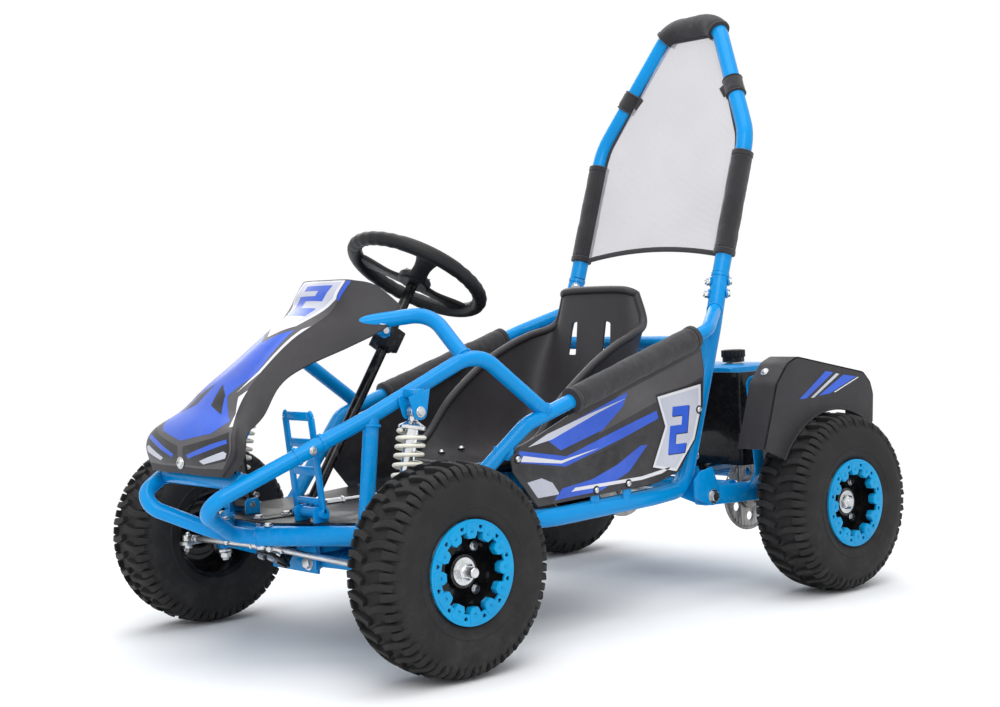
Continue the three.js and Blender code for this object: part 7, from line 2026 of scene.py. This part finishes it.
def make_clamp():
    mesh = bmesh.new()
    place = column_place(COLUMN_WAY.dot(CLAMP_EAR - COLUMN_FOOT))
    turn = facing(COLUMN_WAY, X_WAY)
    for side in (1, -1):
        add_block(mesh, place + X_WAY * side * 17.6, (13.4, 40, 30), 1.6, turn)
        add_turned(mesh, CLAMP_EAR + X_WAY * side * 24.2, X_WAY * side, collar(4.1, 13, 0, 2.8, 0.6), 32, 1)
    add_block(mesh, place + turn @ at(0, 0, 12.6), (34, 38, 4.4), 1, turn)
    add_block(mesh, place + turn @ at(0, 0, -12.6), (34, 38, 4.4), 1, turn)
    for shift in (-19.6, 19.6):
        add_turned(mesh, place + COLUMN_WAY * shift, COLUMN_WAY, band(9.9, 14, -0.9, 0.9), 32)
    add_pin(mesh, CLAMP_EAR, X_WAY, 27, 4, 2)
    finished("column_clamp", mesh, [satin_black, frame_blue, bright_zinc], "frame")


def make_foot_bracket():
    mesh = bmesh.new()
    bush = column_place(108)
    places = [at(0, -497, 226), at(0, -566, 226)]
    add_strap(mesh, [places[0], places[0].lerp(places[1], 0.5), places[1]], X_WAY, 34, 4)
    for side in (1, -1):
        rise = [(-512, 228), (-548, 228), (bush.y - 9, bush.z - 8), (bush.y + 9, bush.z + 6)]
        add_plate(mesh, rise, at(side * 14, 0, 0), Y_WAY, Z_WAY, 3, 0.6)
    tube = [(9.9, -11), (14.6, -11), (15.5, -10), (15.5, 10), (14.6, 11), (9.9, 11)]
    add_turned(mesh, bush, COLUMN_WAY, tube, 36)
    for y in (-558, -505):
        add_bolt(mesh, at(0, y, 228.2), at(0, y, 221), 4, 1)
    finished("column_foot_bracket", mesh, [satin_black, bright_zinc], "frame")


def make_pedal(name, side, body, paint, inner, outer, length, width):
    """A ladder shaped pedal on a cross pin, with its two lugs."""
    mesh = bmesh.new()
    low = at(side * PEDAL_X, *PEDAL_PIN)
    up = at(0, -15, 147).normalized()
    for x in (-inner, outer):
        rail = [low + X_WAY * x + up * along for along in (0, length * 0.5, length - 8)]
        add_strap(mesh, rail, X_WAY, width, 5, 0.9)
        tip = rail[-1]
        lean = X_WAY * math.copysign(1, x)
        end = [tip - up, tip + up * 4 - lean * 1.9, tip + up * 8 - lean * 5.6]
        add_strap(mesh, end, X_WAY, width, 5, 0.9)
    for share in (0.12, 0.42, 0.7, 0.965):
        centre = low + up * length * share
        middle = centre + X_WAY * (outer - inner) / 2
        add_block(mesh, middle, (outer + inner + 3, 14 if share > 0.2 else 10, 4.6), 0.9, facing(up, X_WAY))
    add_turned(mesh, low - X_WAY * 23, X_WAY, collar(5.4, 8.5, 0, 46, 0.7), 32)
    for x in (-inner, outer):
        add_rod(mesh, low + X_WAY * math.copysign(22, x), low + X_WAY * (x + math.copysign(width / 2, x)),
            7.8, 28, 0.6)
    for x in (-8, 8):
        start, end = (at(side * PEDAL_X + x, *place) for place in (PEDAL_PIN, ROD_PIN))
        add_bar(mesh, start, end + (end - start).normalized() * 6, X_WAY, 4, 14, 1.2)
    pin = at(side * PEDAL_X, *ROD_PIN)
    add_rod(mesh, pin - X_WAY * 12, pin + X_WAY * 12, 3, 18, 0.5, 1)
    for way in (X_WAY, -X_WAY):
        add_turned(mesh, pin + way * 10.4, way, band(3, 6.4, 0, 3.6), 6, 1)
    add_rod(mesh, low - X_WAY * 24.6, low + X_WAY * 24.6, 5.2, 24, 0.5, 1)
    finished(name, mesh, [paint, bright_zinc], body)


def make_brake_rod():
    mesh = bmesh.new()
    eye = at(PEDAL_X, *ROD_PIN)
    tip = eye + Y_WAY * 378
    add_turned(mesh, eye - X_WAY * 4, X_WAY, [(6.4, 0), (9.4, 0), (10, 0.7), (10, 7.3), (9.4, 8), (6.4, 8)],
        36)
    add_rod(mesh, eye + Y_WAY * 9, eye + Y_WAY * 42, 5.2, 6, 0.6)
    add_rod(mesh, eye + Y_WAY * 42, eye + Y_WAY * 47, 6.6, 6, 0.6)
    add_rod(mesh, eye + Y_WAY * 46, tip, 3.5, 20, 0.7)
    finished("brake_rod", mesh, [bright_zinc], "brake_link")


make_column()
make_wheel()
make_clamp()
make_foot_bracket()
make_pedal("brake_pedal", 1, "brake", frame_blue, 38, 34, 162, 13)
make_pedal("throttle_pedal", -1, "throttle", satin_black, 18.5, 18.5, 147.8, 9)
make_brake_rod()


# ------------------------------------------------------ stage, lamps, camera


def show_blend(tree, factor, first, second, end):
    """Feeds a blend of two shaders to the end of a tree."""
    blend = tree.nodes.new("ShaderNodeMixShader")
    for socket, value in zip(blend.inputs, (factor, first.outputs[0], second.outputs[0])):
        feed(tree, socket, value)
    feed(tree, tree.nodes[end].inputs["Surface"], blend.outputs[0])


def make_floor():
    mesh = bmesh.new()
    bmesh.ops.create_grid(mesh, x_segments=2, y_segments=2, size=30000)
    floor = new_object("studio_floor", mesh, [])
    material, tree, surface = new_material("studio_floor", Roughness=0.9)
    speck = node(tree, "ShaderNodeTexNoise", Scale=6.0, Detail=2.0)
    colours = mixed(tree, speck.outputs["Fac"], (0.90, 0.90, 0.90), (0.92, 0.92, 0.92))
    feed(tree, surface.inputs["Base Color"], colours)
    place = object_place(tree)
    reach = tree.nodes.new("ShaderNodeVectorMath")
    reach.operation = "LENGTH"
    feed(tree, reach.inputs[0], place)
    far = between(tree, reach.outputs["Value"], 0.9, 2.2)
    seen = tree.nodes.new("ShaderNodeLightPath").outputs["Is Camera Ray"]
    plain = node(tree, "ShaderNodeEmission", Color=(1.0, 1.0, 1.0), Strength=1.0)
    show_blend(tree, times(tree, far, seen), surface, plain, "Material Output")
    floor.data.materials.append(material)


def make_world():
    world = bpy.data.worlds.new("studio")
    world.use_nodes = True
    tree = world.node_tree
    paths = tree.nodes.new("ShaderNodeLightPath").outputs
    seen = maths(tree, "MAXIMUM", paths["Is Camera Ray"], paths["Is Glossy Ray"])
    seen = maths(tree, "MAXIMUM", seen, paths["Is Transmission Ray"])
    backdrop = node(tree, "ShaderNodeBackground", Color=(1.0, 1.0, 1.0), Strength=1.0)
    fill = node(tree, "ShaderNodeBackground", Color=(0.94, 0.97, 1.0), Strength=0.80)
    show_blend(tree, seen, fill, backdrop, "World Output")
    bpy.context.scene.world = world


def make_lamp(name, place, aim, size, power):
    lamp = bpy.data.lights.new(name, "AREA")
    lamp.size = size
    lamp.energy = power
    holder = bpy.data.objects.new(name, lamp)
    holder.location = place
    holder.rotation_euler = (Vector(aim) - Vector(place)).to_track_quat("-Z", "Y").to_euler()
    bpy.context.scene.collection.objects.link(holder)


def make_camera():
    """The photograph's viewpoint."""
    yaw, pitch, roll = 0.858, 0.0403, -0.0428
    place = (at(2329.4632, -2036.9415, 590.0867) + BOX_SHIFT) / 1000
    ahead = at(-math.sin(yaw) * math.cos(pitch), math.cos(yaw) * math.cos(pitch), -math.sin(pitch))
    level = ahead.cross(Z_WAY).normalized()
    over = level.cross(ahead)
    right = level * math.cos(roll) + over * math.sin(roll)
    up = over * math.cos(roll) - level * math.sin(roll)
    data = bpy.data.cameras.new("photo_camera")
    data.sensor_width = 36
    data.lens = 60.44
    data.clip_end = 60
    camera = bpy.data.objects.new("photo_camera", data)
    turn = Matrix((right, up, -ahead)).transposed().to_4x4()
    camera.matrix_world = Matrix.Translation(place) @ turn
    bpy.context.scene.collection.objects.link(camera)
    bpy.context.scene.camera = camera


def dress_plain_nodes():
    """Solids that keep their own shape get the finish of their slot."""
    finishes = {"frame_paint": frame_blue, "black_paint": satin_black, "zinc": bright_zinc,
        "spring_paint": spring_ivory, "tyre_rubber": tyre_rubber, "soft_foam": foam_black,
        "body_plastic": charcoal_plastic, "net_fabric": charcoal_plastic}
    slots = {part["node"]: part["material_slot"] for part in frame["record"]["subparts"]}
    for name, solid in frame["nodes"].items():
        if solid.hide_render:
            continue
        for holder in solid.material_slots:
            holder.material = finishes[slots[name]]


make_floor()
make_world()
make_lamp("key_lamp", (2.6, -2.2, 3.0), (0, 0, 0.4), 2.6, 72)
make_lamp("rim_lamp", (-2.8, 1.2, 2.6), (0, 0, 0.5), 2.4, 45)
make_lamp("top_lamp", (0.2, 0.2, 3.4), (0, 0, 0), 3.0, 60)
make_camera()
dress_plain_nodes()
bpy.context.scene.view_settings.view_transform = "Standard"
